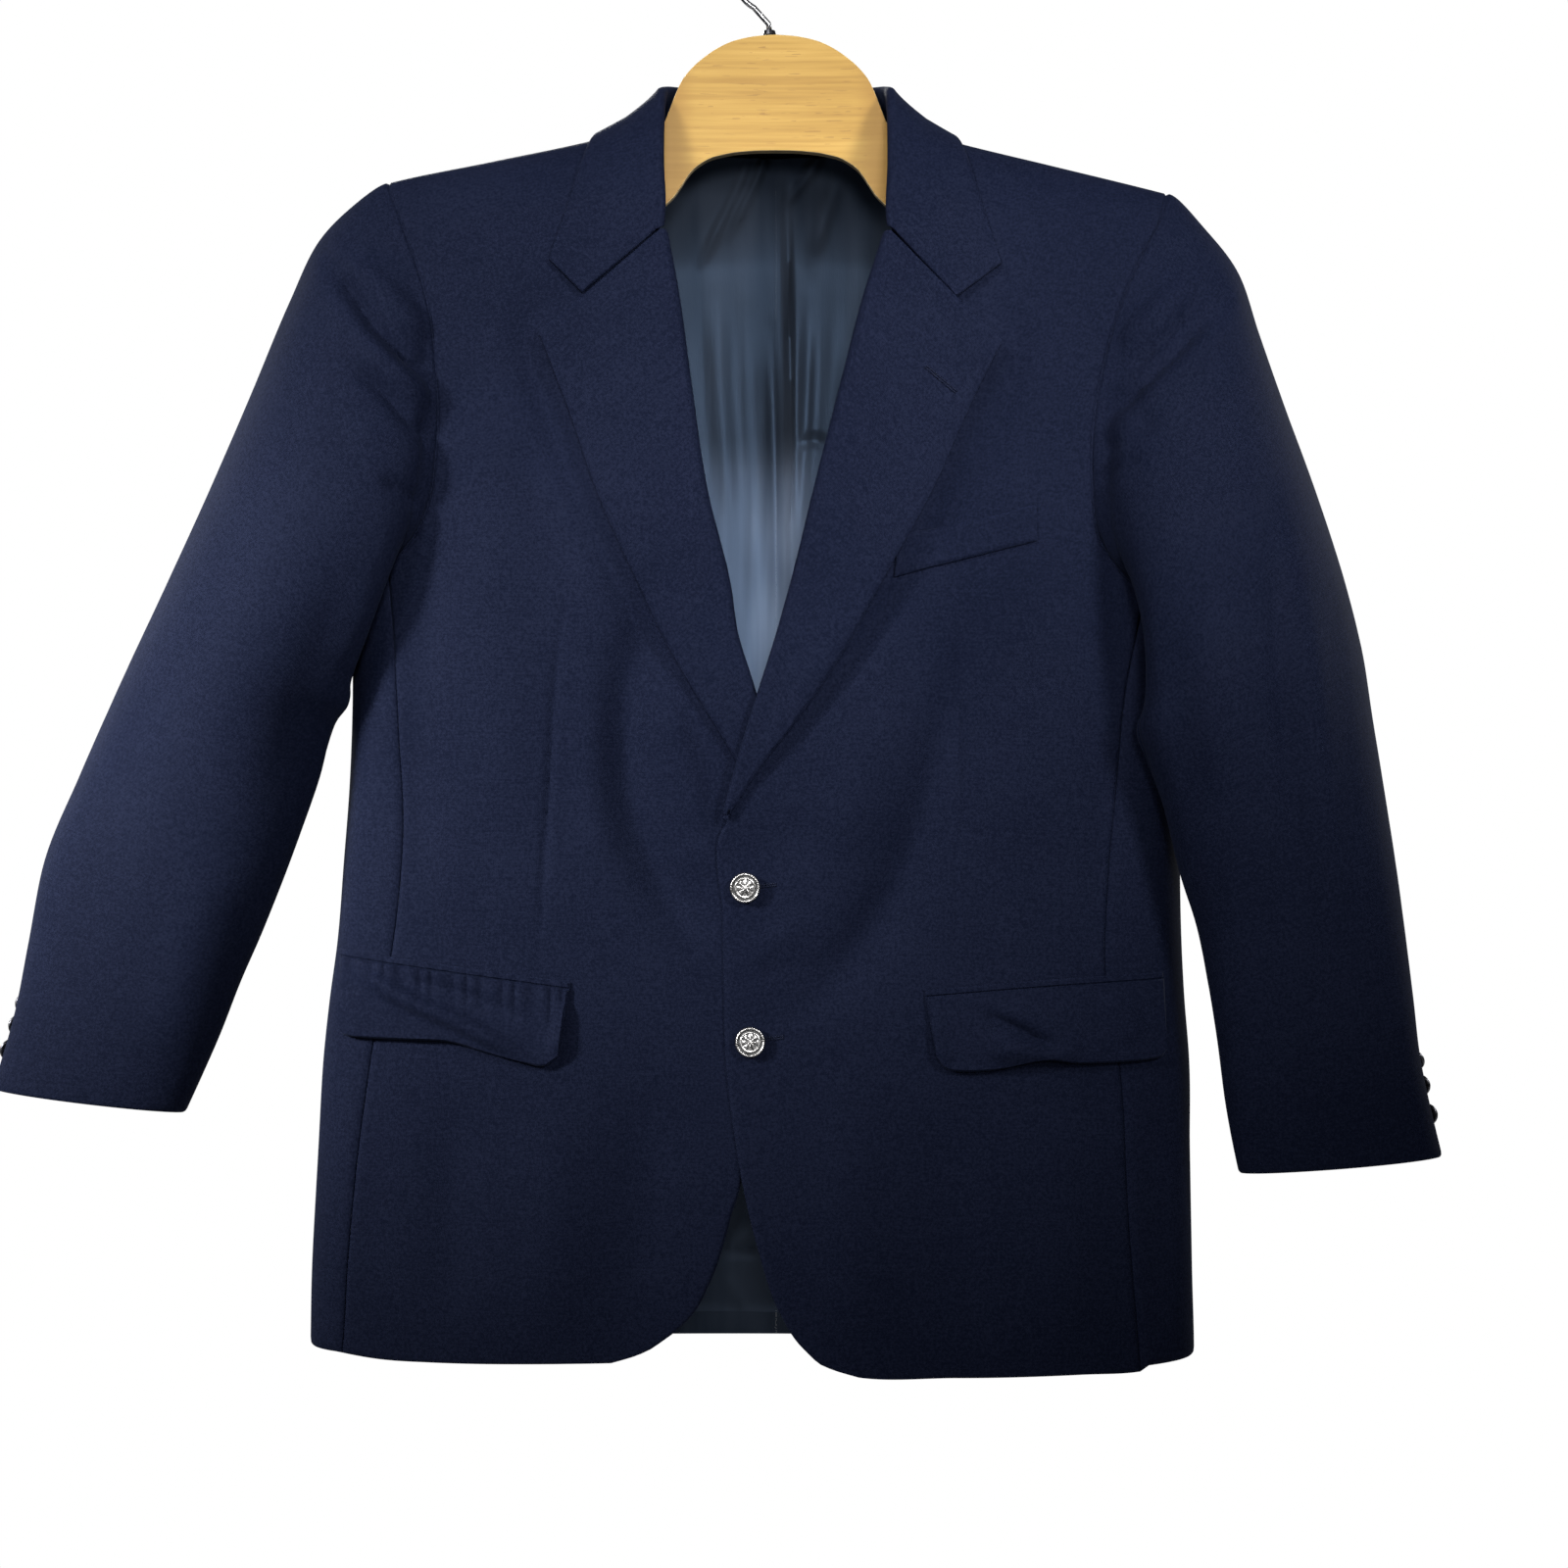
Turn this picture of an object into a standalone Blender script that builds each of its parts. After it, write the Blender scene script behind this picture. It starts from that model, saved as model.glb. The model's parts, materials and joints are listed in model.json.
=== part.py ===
"""A single-breasted wool blazer on a broad bent-wood hanger.

The cloth is made of the pieces that a tailor cuts: fronts, underarm panels, backs, two-piece sleeves, lapels,
collar and pockets. Each is a wall about 2 mm thick on one shared form, 0.3 mm from its neighbour at a seam.
X runs to the viewer's right, Y away from the viewer and Z up. The origin is the inside top of the hook.
Sizes below are in millimetres unless a name ends in _M, and the objects are in metres.
"left" and "right" in the names of pieces are the wearer's. The wearer's right is at -X.
"""

import math

import bmesh
import bpy
import numpy as np
from mathutils import Vector

# ---------------------------------------------------------------- driving sizes, in millimetres

MM = 0.001
CLOTH = 2.0  # wall of a shell piece
THIN_CLOTH = 1.2  # wall of the lining and of the pocket jets
LINING_ROOM = 1.8  # between the lining and the inside of the back
LINING_HEM_ROOM = 0.5  # where it is sewn down
LINING_TOP_ROOM = 2.4  # more at its top, where the neckline curves
LINING_BELOW_NECK = 3.0
LINING_BELOW_SHOULDER = 28.0  # clear of the hanger
SEAM = 0.3  # room between two pieces at a seam
NECK_MIDDLE = 4.3  # the middle of the neck, across
SHOULDER_ROUND = 90.0  # how far down the cloth takes to round over from the shoulder line
ROUNDNESS = 2.3  # 2 is an ellipse, more is a boxier section
RIDGE_SWEEP = 30.0  # how far forward the shoulder tips lie of the neck
RIDGE_REACH = 250.0
RIDGE_BACK = 10.0

# The inside of the cloth at each height: sides across, and depths before and behind the ridge.
BODY = (  # height, left side, right side, front depth, back depth
    (-940, -295, 274, 60, 49),
    (-880, -294, 273, 60, 48),
    (-780, -289, 271, 58, 46),
    (-726, -286, 270, 58, 45),
    (-688, -282, 267, 58, 44),
    (-650, -277, 265, 58, 44),
    (-600, -273, 264, 60, 45),
    (-550, -269, 265, 64, 49),
    (-500, -267, 267, 68, 54),
    (-440, -267, 269, 71, 59),
    (-400, -268, 272, 72, 61),
    (-340, -276, 280, 70, 62),
    (-260, -285, 288, 65, 60),
    (-180, -289, 292, 56, 53),
    (-100, -290, 294, 50, 49),
)
SHOULDER = (  # across, height of the inside of the shoulder line
    (-300, -183),
    (-245, -163),
    (-180, -146.5),
    (-111, -129.7),
    (-80, -121),
    (-40, -111),
    (4, -106),
    (48, -111),
    (88, -122),
    (118, -131),
    (180, -148),
    (256, -170),
    (300, -184),
)

HEM_RIGHT = ((-300, -908), (-274, -912), (-250, -915), (-215, -916.5), (-127, -916.5), (-90, -916),
             (-40, -914))
HEM_LEFT = ((0, -917), (37, -921), (47, -923.5), (119, -926), (198, -924.8), (243, -923.5), (280, -914))
HEM_BACK = ((-300, -905), (-200, -914), (4, -918), (200, -916), (280, -909))

# Edges of the fronts, from the hem up to where the lapel starts to turn.
FRONT_EDGE_RIGHT = (  # height, across: the lower layer
    (-916.3, -100),
    (-911, -82),
    (-903, -68),
    (-891, -53),
    (-865, -37),
    (-846, -30),
    (-824, -24),
    (-810, -19.5),
    (-766, -12.5),
    (-700, -5),
    (-640, 0),
    (-600, 4),
    (-570, 6),
)
FRONT_EDGE_LEFT = (  # height, across: the upper layer, which laps over
    (-922.8, 57),
    (-917, 37.5),
    (-907, 24),
    (-883, 7),
    (-848, -5.5),
    (-811, -15),
    (-771, -22),
    (-730, -27),
    (-673, -29),
    (-631, -29.5),
    (-589, -33),
    (-573, -31),
)
ROLL_RIGHT = (  # height, across, turn: where the lapel folds, seen from the front, and its inner radius
    (-562, 7, 0.9),
    (-530, 3.5, 0.9),
    (-484, -10, 1.2),
    (-455, -19, 1.8),
    (-425, -23.5, 2.4),
    (-363, -38.5, 3.2),
    (-300, -48, 3.4),
    (-234, -57.3, 3.2),
    (-197, -64.3, 2.4),
)
ROLL_LEFT = (
    (-568, -29.5, 1.2),
    (-549, -24.5, 1.4),
    (-494, -8, 2.0),
    (-466, 1, 2.4),
    (-425, 12.7, 3.2),
    (-357, 29.5, 3.8),
    (-289, 46.8, 4.0),
    (-240, 59.5, 3.4),
    (-198, 72.9, 2.4),
)
LAPEL_EDGE_RIGHT = (  # height, across, lift: the free edge, and how far it stands off the front
    (-566, -1, 1.0),
    (-552, -12, 1.0),
    (-533.5, -21, 1.0),
    (-473, -56, 1.4),
    (-425, -79.7, 2.0),
    (-363, -107.5, 2.4),
    (-307, -127.4, 2.4),
    (-264, -144, 2.2),
)
LAPEL_EDGE_LEFT = (
    (-571, -28, 1.8),
    (-546.5, -12, 1.9),
    (-501, 22, 3.6),
    (-462, 47.4, 5.2),
    (-425, 68.5, 6.0),
    (-363, 103.2, 6.0),
    (-310, 127, 5.0),
    (-270, 146.5, 3.4),
)
NOTCH_RIGHT = (-117.8, -240.1)
NOTCH_LEFT = (118.4, -242.6)
COLLAR_POINT_RIGHT = (-139.0, -217.0)
COLLAR_POINT_LEFT = (146.9, -219.6)

# Seams between front and underarm panel, and between that and the back, from the hem up.
SIDE_SEAM_RIGHT = ((-912, -272), (-786, -261), (-715, -252), (-656, -240), (-568, -233), (-524, -235),
                   (-458, -238))
SIDE_SEAM_LEFT = ((-921, 237), (-827, 229), (-736, 224), (-665, 214), (-611, 216), (-543, 222), (-496, 226))
BACK_SEAM_RIGHT = ((-907, -228), (-780, -214), (-650, -203), (-560, -205), (-450, -214))
BACK_SEAM_LEFT = ((-911, 212), (-780, 202), (-650, 196), (-560, 199), (-450, 210))

# The armhole, from the shoulder tip down to the armpit. The last row is the side of the body.
ARMHOLE_FRONT_RIGHT = ((-245, -163), (-235, -190), (-223, -221), (-214, -254), (-209, -306), (-210, -339),
                       (-215, -372), (-229, -398), (-250, -412), (-267.6, -418))
ARMHOLE_BACK_RIGHT = ((-245, -163), (-238, -200), (-229, -250), (-224, -300), (-225, -345), (-235, -385),
                      (-252, -408), (-267.6, -418))
ARMHOLE_FRONT_LEFT = ((256, -170), (247, -195), (236, -215), (223, -245), (213, -278), (205, -320), (204, -360),
                      (210, -397), (230, -421), (252, -430), (269.4, -433))
ARMHOLE_BACK_LEFT = ((256, -170), (247, -210), (236, -260), (229, -310), (229, -355), (238, -398),
                     (254, -423), (269.4, -433))

# Rings of the sleeves, from the armhole down: the two ends of each ring as seen from the front, its middle
# in depth, its depth before and behind, how far its inner end lies forward, and how much of the armhole's
# own shape it keeps.
# Columns: outer across, outer height, inner across, inner height, middle, before, behind, forward, armhole.
SLEEVE_RIGHT = (
    (-245, -161, -267.6, -418, -14, 46, 46, 0, 1.0),
    (-264, -173.5, -257, -440, -17, 52, 50, 12, 0.80),
    (-288, -198, -252, -456, -19, 56, 50, 18, 0.58),
    (-307, -237, -251, -469, -20, 58, 49, 21, 0.36),
    (-333.5, -299.5, -254, -481, -21, 57, 47, 21, 0.18),
    (-364, -368.5, -260, -491, -22, 53, 45, 19, 0.06),
    (-389.5, -423.5, -268, -500, -23, 50, 42, 15, 0.0),
    (-406.5, -460, -278, -511, -24, 47, 40, 12, 0.0),
    (-426, -503.5, -288.5, -547, -26, 43, 37, 10, 0.0),
    (-444, -546, -305, -594.5, -29, 39, 34, 9, 0.0),
    (-464.7, -599, -323.5, -642.7, -33, 35, 31, 8, 0.0),
    (-474, -650, -337.4, -675.7, -36, 31, 28, 8, 0.0),
    (-482, -694.7, -350, -709, -39, 28, 25, 8, 0.0),
    (-489.4, -723, -361.5, -736, -41, 25, 23, 8, 0.0),
    (-495.7, -743.4, -371, -757.3, -42, 23, 21, 8, 0.0),
)
SLEEVE_LEFT = (
    (256, -168, 269.4, -433, -14, 46, 46, 0, 1.0),
    (278.7, -190, 258, -450, -18, 53, 49, 18, 0.80),
    (300, -219, 247, -464, -22, 58, 48, 28, 0.58),
    (313, -257.7, 239, -477, -25, 60, 47, 34, 0.36),
    (329, -303, 233, -490, -27, 58, 45, 38, 0.18),
    (349.7, -359, 229, -503, -29, 54, 43, 40, 0.06),
    (369, -418.5, 232, -518, -31, 50, 41, 39, 0.0),
    (379.4, -460, 239, -536, -32, 47, 39, 35, 0.0),
    (386.4, -506, 249.5, -565, -34, 43, 36, 28, 0.0),
    (393.4, -552, 260.5, -606, -37, 39, 33, 20, 0.0),
    (400.3, -599.7, 272.5, -642, -40, 35, 30, 14, 0.0),
    (405.4, -641, 279, -677, -43, 32, 28, 12, 0.0),
    (410, -682, 284.3, -712, -46, 29, 25, 10, 0.0),
    (415, -726.3, 289, -750, -48, 26, 23, 9, 0.0),
    (422.5, -762, 294, -778, -49, 24, 21, 8, 0.0),
    (428, -785.5, 297.5, -795, -50, 23, 21, 8, 0.0),
)
SLEEVE_CLEAR = 6.6  # from the inside of the body's cloth to the inside of the sleeve's
SLEEVE_EASE = 3.0  # and more than that below the armpit
ELBOW_SEAM = (-97.0, -42.0)  # turn round the sleeve from its outer edge, at the armhole and at the cuff
FOREARM_SEAM = (166.0, 202.0)

# Places along half the armhole, from tip to armpit, that panels and sleeves share.
ARMHOLE_STEPS = (0, 0.02, 0.08, 0.16, 0.25, 0.34, 0.43, 0.52, 0.61, 0.70, 0.78, 0.86, 0.93, 1.0)
FRONT_JUNCTION = 11  # the step where the front's seam meets the armhole
BACK_JUNCTION = 9
SEAM_ROWS = (0, 0.012, 0.03, 0.06, 0.10, 0.16, 0.23, 0.30, 0.38, 0.46, 0.54, 0.62, 0.70, 0.79, 0.89, 1.0)

# The collar's three lines: the neck seam, the fold and the free edge, from the front round to the back.
COLLAR_NECK = (  # from the middle, round the shoulder: before it below zero, behind it above
    (74.5, -127),
    (78.5, -90),
    (82, -53),
    (84, 0),
    (76, 30),
    (60, 45),
    (36, 57),
    (0, 64),
)
COLLAR_FOLD = (  # from the middle, depth, height
    (72.6, -54.5, -194.5),
    (73.5, -42, -152),
    (73.8, -23, -119),
    (73.2, -6, -102),
    (71, 10, -95.5),
    (60, 27, -92),
    (36, 38, -90.5),
    (0, 43, -90),
)
COLLAR_EDGE = (  # from the middle, round the shoulder
    (143.5, -131),
    (131.5, -97),
    (121.5, -47),
    (114, 0),
    (102, 45),
    (77, 66),
    (42, 80),
    (0, 86),
)
COLLAR_TURN = 2.0  # inner radius of its fold
COLLAR_SEAT = 3.3  # from the inside of the body's cloth to the foot of its stand
COLLAR_LIFT = 4.0  # from the inside of the body's cloth to the underside of the fall

# Pocket flaps: the corners of each outline, as across and height.
FLAP_RIGHT_TOP = ((-273, -659), (-200, -669), (-126, -679))
FLAP_RIGHT_BOTTOM = ((-272, -705), (-265, -710), (-229, -711.5), (-203, -712.5), (-182, -718), (-154.5, -725.5),
                     (-142, -727.5), (-133, -721))
FLAP_LEFT_TOP = ((99, -684), (175, -678), (251, -673.5))
FLAP_LEFT_BOTTOM = ((106, -722), (115, -730.5), (141, -730.5), (173, -724), (200, -726.5), (243, -724.5),
                    (252, -719))
FLAP_LIFT_TOP = 1.15  # between the outside of the front and the underside of the flap
FLAP_LIFT_BOTTOM = 3.5
JET_HEIGHT = 4.5

WELT_TOP = ((82, -391.5), (125, -384), (168.5, -372.8))
WELT_BOTTOM = ((79, -418), (125, -406.5), (168.5, -395.7))
WELT_LIFT = 0.7

FRONT_BUTTONS = ((-15.1, -614.5), (-12.0, -712.8))  # across, height
FRONT_BUTTON_RADIUS = 9.7
FRONT_BUTTON_THREAD = 0.9  # under its foot
CUFF_BUTTON_RADIUS = 7.2
CUFF_BUTTONS_RIGHT = (-690.5, -704.5, -720.0)  # height of each on the sleeve's outer edge
CUFF_BUTTONS_LEFT = (-726.0, -742.0, -760.5)

# The hanger: one bent plate, its upper and lower edge from the middle outward.
WOOD = 9.5
WOOD_MIDDLE = 4.0
WOOD_EDGES = (  # from the middle, upper edge, lower edge, both as heights
    (0, -58, -134),
    (16, -59.5, -134.5),
    (32, -64, -136.5),
    (46, -72.5, -141),
    (56, -81.5, -149),
    (62, -89.5, -158),
    (66, -98.5, -164),
    (70, -109, -168),
    (74, -118.5, -172),
    (80, -123.5, -177),
)
WOOD_TIP = 206.0  # half its length
WOOD_TIP_DEPTH = 30.0  # of the arm at its end
WOOD_ROUND = 3.0  # along all its edges
WOOD_SEAT = 0.7  # between the arm and the cloth that it carries
HOOK_WIRE = 3.6
HOOK_RADIUS = 20.0  # inside the bend
HOOK_FOOT = -60.0
FERRULE_RADIUS = 4.6
FERRULE_HEIGHT = 3.0

NAVY = (0.014, 0.018, 0.034, 1.0)
NAVY_LINING = (0.055, 0.072, 0.10, 1.0)
METAL = (0.52, 0.52, 0.50, 1.0)
HONEY_WOOD = (0.62, 0.40, 0.18, 1.0)
BRIGHT_WIRE = (0.62, 0.62, 0.62, 1.0)
DARK_METAL = (0.12, 0.11, 0.10, 1.0)

# ---------------------------------------------------------------- curves through tables


def spline(keys, values):
    """A smooth curve through the values at rising keys, which stays at its ends past them."""
    keys = np.array(keys, float)
    values = np.array(values, float)
    slopes = np.gradient(values, keys, axis=0)

    def at(key):
        key = min(max(key, keys[0]), keys[-1])
        i = min(int(np.searchsorted(keys, key, side="right")) - 1, len(keys) - 2)
        step = keys[i + 1] - keys[i]
        t = (key - keys[i]) / step
        start = (1 + 2 * t) * (1 - t) ** 2 * values[i] + t * (1 - t) ** 2 * step * slopes[i]
        end = t * t * (3 - 2 * t) * values[i + 1] + t * t * (t - 1) * step * slopes[i + 1]
        return start + end

    return at


def by_first(table):
    """A curve of a table's other columns over its first one."""
    rows = np.array(table, float)
    rows = rows[np.argsort(rows[:, 0])]
    values = rows[:, 1:] if rows.shape[1] > 2 else rows[:, 1]
    return spline(rows[:, 0], values)


def by_row(table):
    """A curve through a table's rows, at 0 for the first and 1 for the last."""
    return spline(np.linspace(0, 1, len(table)), table)


def fade(value, start, end):
    """0 at start, 1 at end, with a soft change between them."""
    t = min(max((value - start) / (end - start), 0.0), 1.0)
    return t * t * (3 - 2 * t)


def along(points, shares):
    """Points at the given shares of a fine polyline's length."""
    points = np.array(points, float)
    steps = np.linalg.norm(np.diff(points, axis=0), axis=1)
    length = np.concatenate(([0.0], np.cumsum(steps)))
    wanted = np.array(shares, float) * length[-1]
    return np.stack([np.interp(wanted, length, points[:, k]) for k in range(points.shape[1])], axis=1)


def unit(vector):
    return vector / max(np.linalg.norm(vector), 1e-9)


# ---------------------------------------------------------------- the form that the body panels share

body_row = by_first(BODY)
shoulder = by_first(SHOULDER)
sweep_share = by_first(((-940, 0.45), (-600, 0.65), (-250, 1.0), (-100, 1.0)))


def middle_depth(x, z):
    """The depth of the plane between front and back, which comes forward towards the shoulder tips."""
    return (RIDGE_BACK - RIDGE_SWEEP * ((x - NECK_MIDDLE) / RIDGE_REACH) ** 2) * float(sweep_share(z))


def rounding(x, z):
    t = min(max((float(shoulder(x)) - z) / SHOULDER_ROUND, 0.0), 1.0)
    return math.sqrt(1 - (1 - t) ** 2)


def body_point(theta, z):
    """The inside of the cloth: theta is 0 in front, a quarter turn at +X and half a turn behind."""
    left, right, front, back = body_row(z)
    power = 2 / ROUNDNESS
    sine, cosine = math.sin(theta), math.cos(theta)
    x = (left + right) / 2 + (right - left) / 2 * math.copysign(abs(sine) ** power, sine)
    depth = -front if cosine > 0 else back
    y = middle_depth(x, z) + depth * abs(cosine) ** power * rounding(x, z)
    return np.array([x, y, z])


def theta_at(x, z, behind):
    left, right, _, _ = body_row(z)
    share = min(max((x - (left + right) / 2) / ((right - left) / 2), -1.0), 1.0)
    theta = math.copysign(math.asin(abs(share) ** (ROUNDNESS / 2)), share)
    return math.copysign(math.pi, share) - theta if behind else theta


def drop_of(round_way):
    """How far below the shoulder line a point lies, from its way round over the shoulder."""
    way = abs(round_way)
    quarter = SHOULDER_ROUND * math.pi / 2
    if way > quarter:
        return way - quarter + SHOULDER_ROUND
    return SHOULDER_ROUND * (1 - math.cos(way / SHOULDER_ROUND))


def way_of(drop):
    if drop > SHOULDER_ROUND:
        return drop - SHOULDER_ROUND + SHOULDER_ROUND * math.pi / 2
    return SHOULDER_ROUND * math.acos(1 - max(drop, 0.0) / SHOULDER_ROUND)


def over_shoulder(x, way):
    """A point on the body by its place across and its way over the shoulder, forward below zero."""
    z = float(shoulder(x)) - drop_of(way)
    return body_point(theta_at(x, z, way > 0), z)


def outward(x, way):
    """The direction straight out of the body there."""
    step = 0.5
    across = over_shoulder(x + step, way) - over_shoulder(x - step, way)
    around = over_shoulder(x, way + step) - over_shoulder(x, way - step)
    return unit(np.cross(across, around))


def front_way(x, z):
    return -way_of(float(shoulder(x)) - z)


def clear_of_body(point, room):
    """Moves a point that is nearer than room to the inside of the body's cloth straight out of it."""
    x, y, z = point
    left, right, front, back = body_row(z)
    behind = y > middle_depth(x, z)
    half = (right - left) / 2 + room
    depth = ((back if behind else front) + room) * max(rounding(x, z), 0.05)
    across = (x - (left + right) / 2) / half
    deep = (y - middle_depth(x, z)) / depth
    size = (abs(across) ** ROUNDNESS + abs(deep) ** ROUNDNESS) ** (1 / ROUNDNESS)
    if size >= 1 or size < 1e-6:
        return np.array(point)
    new_x = (left + right) / 2 + across / size * half
    return np.array([new_x, middle_depth(x, z) + deep / size * depth, z])


# ---------------------------------------------------------------- how the two fronts lie on each other

ROLL_ROOM = 0.7  # between a front and its lapel, inside the roll
OVERLAP_MIDDLE = -10.0
OVERLAP_REACH = (35.0, 120.0)  # from the middle: fully lapped, and no longer lapped
LOWER_LAYER = -3.0
UPPER_LAYER = -0.2
UPPER_LAYER_OVER_LAPEL = 4.2


def layer(x, z, upper):
    """How far a front lies outside the shared form, where it laps over or under the other."""
    near = 1 - fade(abs(x - OVERLAP_MIDDLE), *OVERLAP_REACH)
    if not upper:
        return LOWER_LAYER * near * (1 - fade(z, -450, -330))
    over_lapel = fade(z, -600, -556) * (1 - fade(z, -480, -420))
    return (UPPER_LAYER + UPPER_LAYER_OVER_LAPEL * over_lapel) * near


# ---------------------------------------------------------------- Blender helpers


def clear_scene():
    for old in list(bpy.data.objects):
        bpy.data.objects.remove(old, do_unlink=True)


def finish(name, colour, roughness, metallic=0.0):
    material = bpy.data.materials.new(name)
    material.use_nodes = True
    shader = material.node_tree.nodes["Principled BSDF"]
    shader.inputs["Base Color"].default_value = colour
    shader.inputs["Roughness"].default_value = roughness
    shader.inputs["Metallic"].default_value = metallic
    return material


def add_object(name, data, material, collection):
    piece = bpy.data.objects.new(name, data)
    collection.objects.link(piece)
    data.materials.append(material)
    return piece


def trimmed(points, rows=(True, True), columns=(True, True), rooms=None):
    """Draws the chosen borders of a grid of points in by half a seam, or by half a room for each row."""
    points = np.array(points, float)
    moves = np.zeros_like(points)
    for chosen, edge, inner in ((rows[0], 0, 1), (rows[1], -1, -2)):
        if chosen:
            way = points[inner] - points[edge]
            moves[edge] += way / np.linalg.norm(way, axis=1, keepdims=True) * SEAM / 2
    for chosen, edge, inner in ((columns[0], 0, 1), (columns[1], -1, -2)):
        if chosen:
            way = points[:, inner] - points[:, edge]
            room = SEAM if rooms is None else np.array(rooms)[:, None]
            moves[:, edge] += way / np.linalg.norm(way, axis=1, keepdims=True) * room / 2
    return points + moves


def grid_place(vertex, shape):
    """The row and column of a vertex of Blender's flat grid."""
    rows, columns = shape[:2]
    return round((vertex.co.y + 1) / 2 * (rows - 1)), round((vertex.co.x + 1) / 2 * (columns - 1))


def sheet(name, points, facing, material, collection, thickness=CLOTH):
    """A wall on a grid of points in millimetres: a flat grid bent to them, then thickened outward.

    facing is the way out at its middle.
    """
    points = np.array(points, float) * MM
    rows, columns = points.shape[:2]
    bm = bmesh.new()
    bmesh.ops.create_grid(bm, x_segments=columns - 1, y_segments=rows - 1, size=1.0)
    for vertex in bm.verts:
        vertex.co = Vector(points[grid_place(vertex, points.shape)])
    bm.normal_update()
    middle = points[rows // 2, columns // 2]
    face = min(bm.faces, key=lambda f: (f.calc_center_median() - Vector(middle)).length)
    if face.normal.dot(Vector(facing)) < 0:
        bmesh.ops.reverse_faces(bm, faces=bm.faces)
    piece = mesh_object(name, bm, material, collection)
    wall = piece.modifiers.new("wall", "SOLIDIFY")
    wall.thickness = thickness * MM
    wall.offset = 1.0
    wall.use_quality_normals = True
    return piece


def wall_between(name, inner, outer, material, collection):
    """A wall between two grids of points in millimetres: a flat grid extruded, then bent to both."""
    rows, columns = inner.shape[:2]
    bm = bmesh.new()
    bmesh.ops.create_grid(bm, x_segments=columns - 1, y_segments=rows - 1, size=1.0)
    extruded = bmesh.ops.extrude_face_region(bm, geom=bm.faces[:], use_keep_orig=True)["geom"]
    outside = {item for item in extruded if isinstance(item, bmesh.types.BMVert)}
    for vertex in bm.verts:
        points = outer if vertex in outside else inner
        vertex.co = Vector(points[grid_place(vertex, inner.shape)] * MM)
    bmesh.ops.recalc_face_normals(bm, faces=bm.faces)
    bmesh.ops.triangulate(bm, faces=bm.faces, quad_method="SHORT_EDGE")
    return mesh_object(name, bm, material, collection)


def mesh_object(name, bm, material, collection):
    mesh = bpy.data.meshes.new(name)
    bm.to_mesh(mesh)
    bm.free()
    mesh.shade_smooth()
    return add_object(name, mesh, material, collection)


def turned(name, profile, material, collection, steps, place, axis):
    """A closed turned piece. profile runs from its front middle round its rim to its back middle."""
    mesh = bpy.data.meshes.new(name)
    points = [Vector((radius * MM, 0, height * MM)) for radius, height in profile]
    mesh.from_pydata(points, [(i, i + 1) for i in range(len(points) - 1)], [])
    piece = add_object(name, mesh, material, collection)
    screw = piece.modifiers.new("turn", "SCREW")
    screw.steps = steps
    screw.render_steps = steps
    screw.use_merge_vertices = True
    screw.merge_threshold = 0.00001
    screw.use_smooth_shade = True
    piece.location = Vector(place) * MM
    piece.rotation_mode = "QUATERNION"
    piece.rotation_quaternion = Vector((0, 0, 1)).rotation_difference(Vector(axis))
    return piece


# ---------------------------------------------------------------- armholes


def armhole_line(table, behind):
    """A fine line over the body through an armhole's rows."""
    keys = [(theta_at(x, z, behind), z) for x, z in table]
    first_z = float(shoulder(table[0][0]))
    keys[0] = (theta_at(table[0][0], first_z, behind), first_z)
    curve = by_row(keys)
    shares = np.linspace(0, 1, 301) ** 2
    return [body_point(*curve(share)) for share in shares]


def armhole(front_table, back_table):
    """The shared points of an armhole: front and back, each from the tip to the armpit."""
    front = along(armhole_line(front_table, False), ARMHOLE_STEPS)
    back = along(armhole_line(back_table, True), ARMHOLE_STEPS)
    back[0] = front[0]
    back[-1] = front[-1]
    return front, back


# ---------------------------------------------------------------- body panels


def panel_rows(low, high, side):
    """Interpolates a panel across, row by row, in place across and way over the shoulder."""
    rows = []
    for (x0, way0), (x1, way1) in zip(low, high):
        rows.append([(x0 + (x1 - x0) * u, way0 + (way1 - way0) * u) for u in side])
    return np.array(rows)


def seam_line(table, top):
    """Points up a seam as (across, height), from the hem to where it meets the armhole."""
    rows = sorted([tuple(row) for row in table] + [(top[2], top[0])])
    curve = by_first(rows)
    heights = [rows[0][0] + (top[2] - rows[0][0]) * share for share in SEAM_ROWS]
    return [(float(curve(z)), z) for z in heights]


def neck_line(side):
    """Points up the front's neckline, from the roll line to the shoulder, as (across, way)."""
    curve = spline([row[1] for row in COLLAR_NECK], [row[0] for row in COLLAR_NECK])
    ways = np.linspace(COLLAR_NECK[0][1] + 2, 0, 20)
    return [(NECK_MIDDLE + side * float(curve(way)), way) for way in ways]


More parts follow.
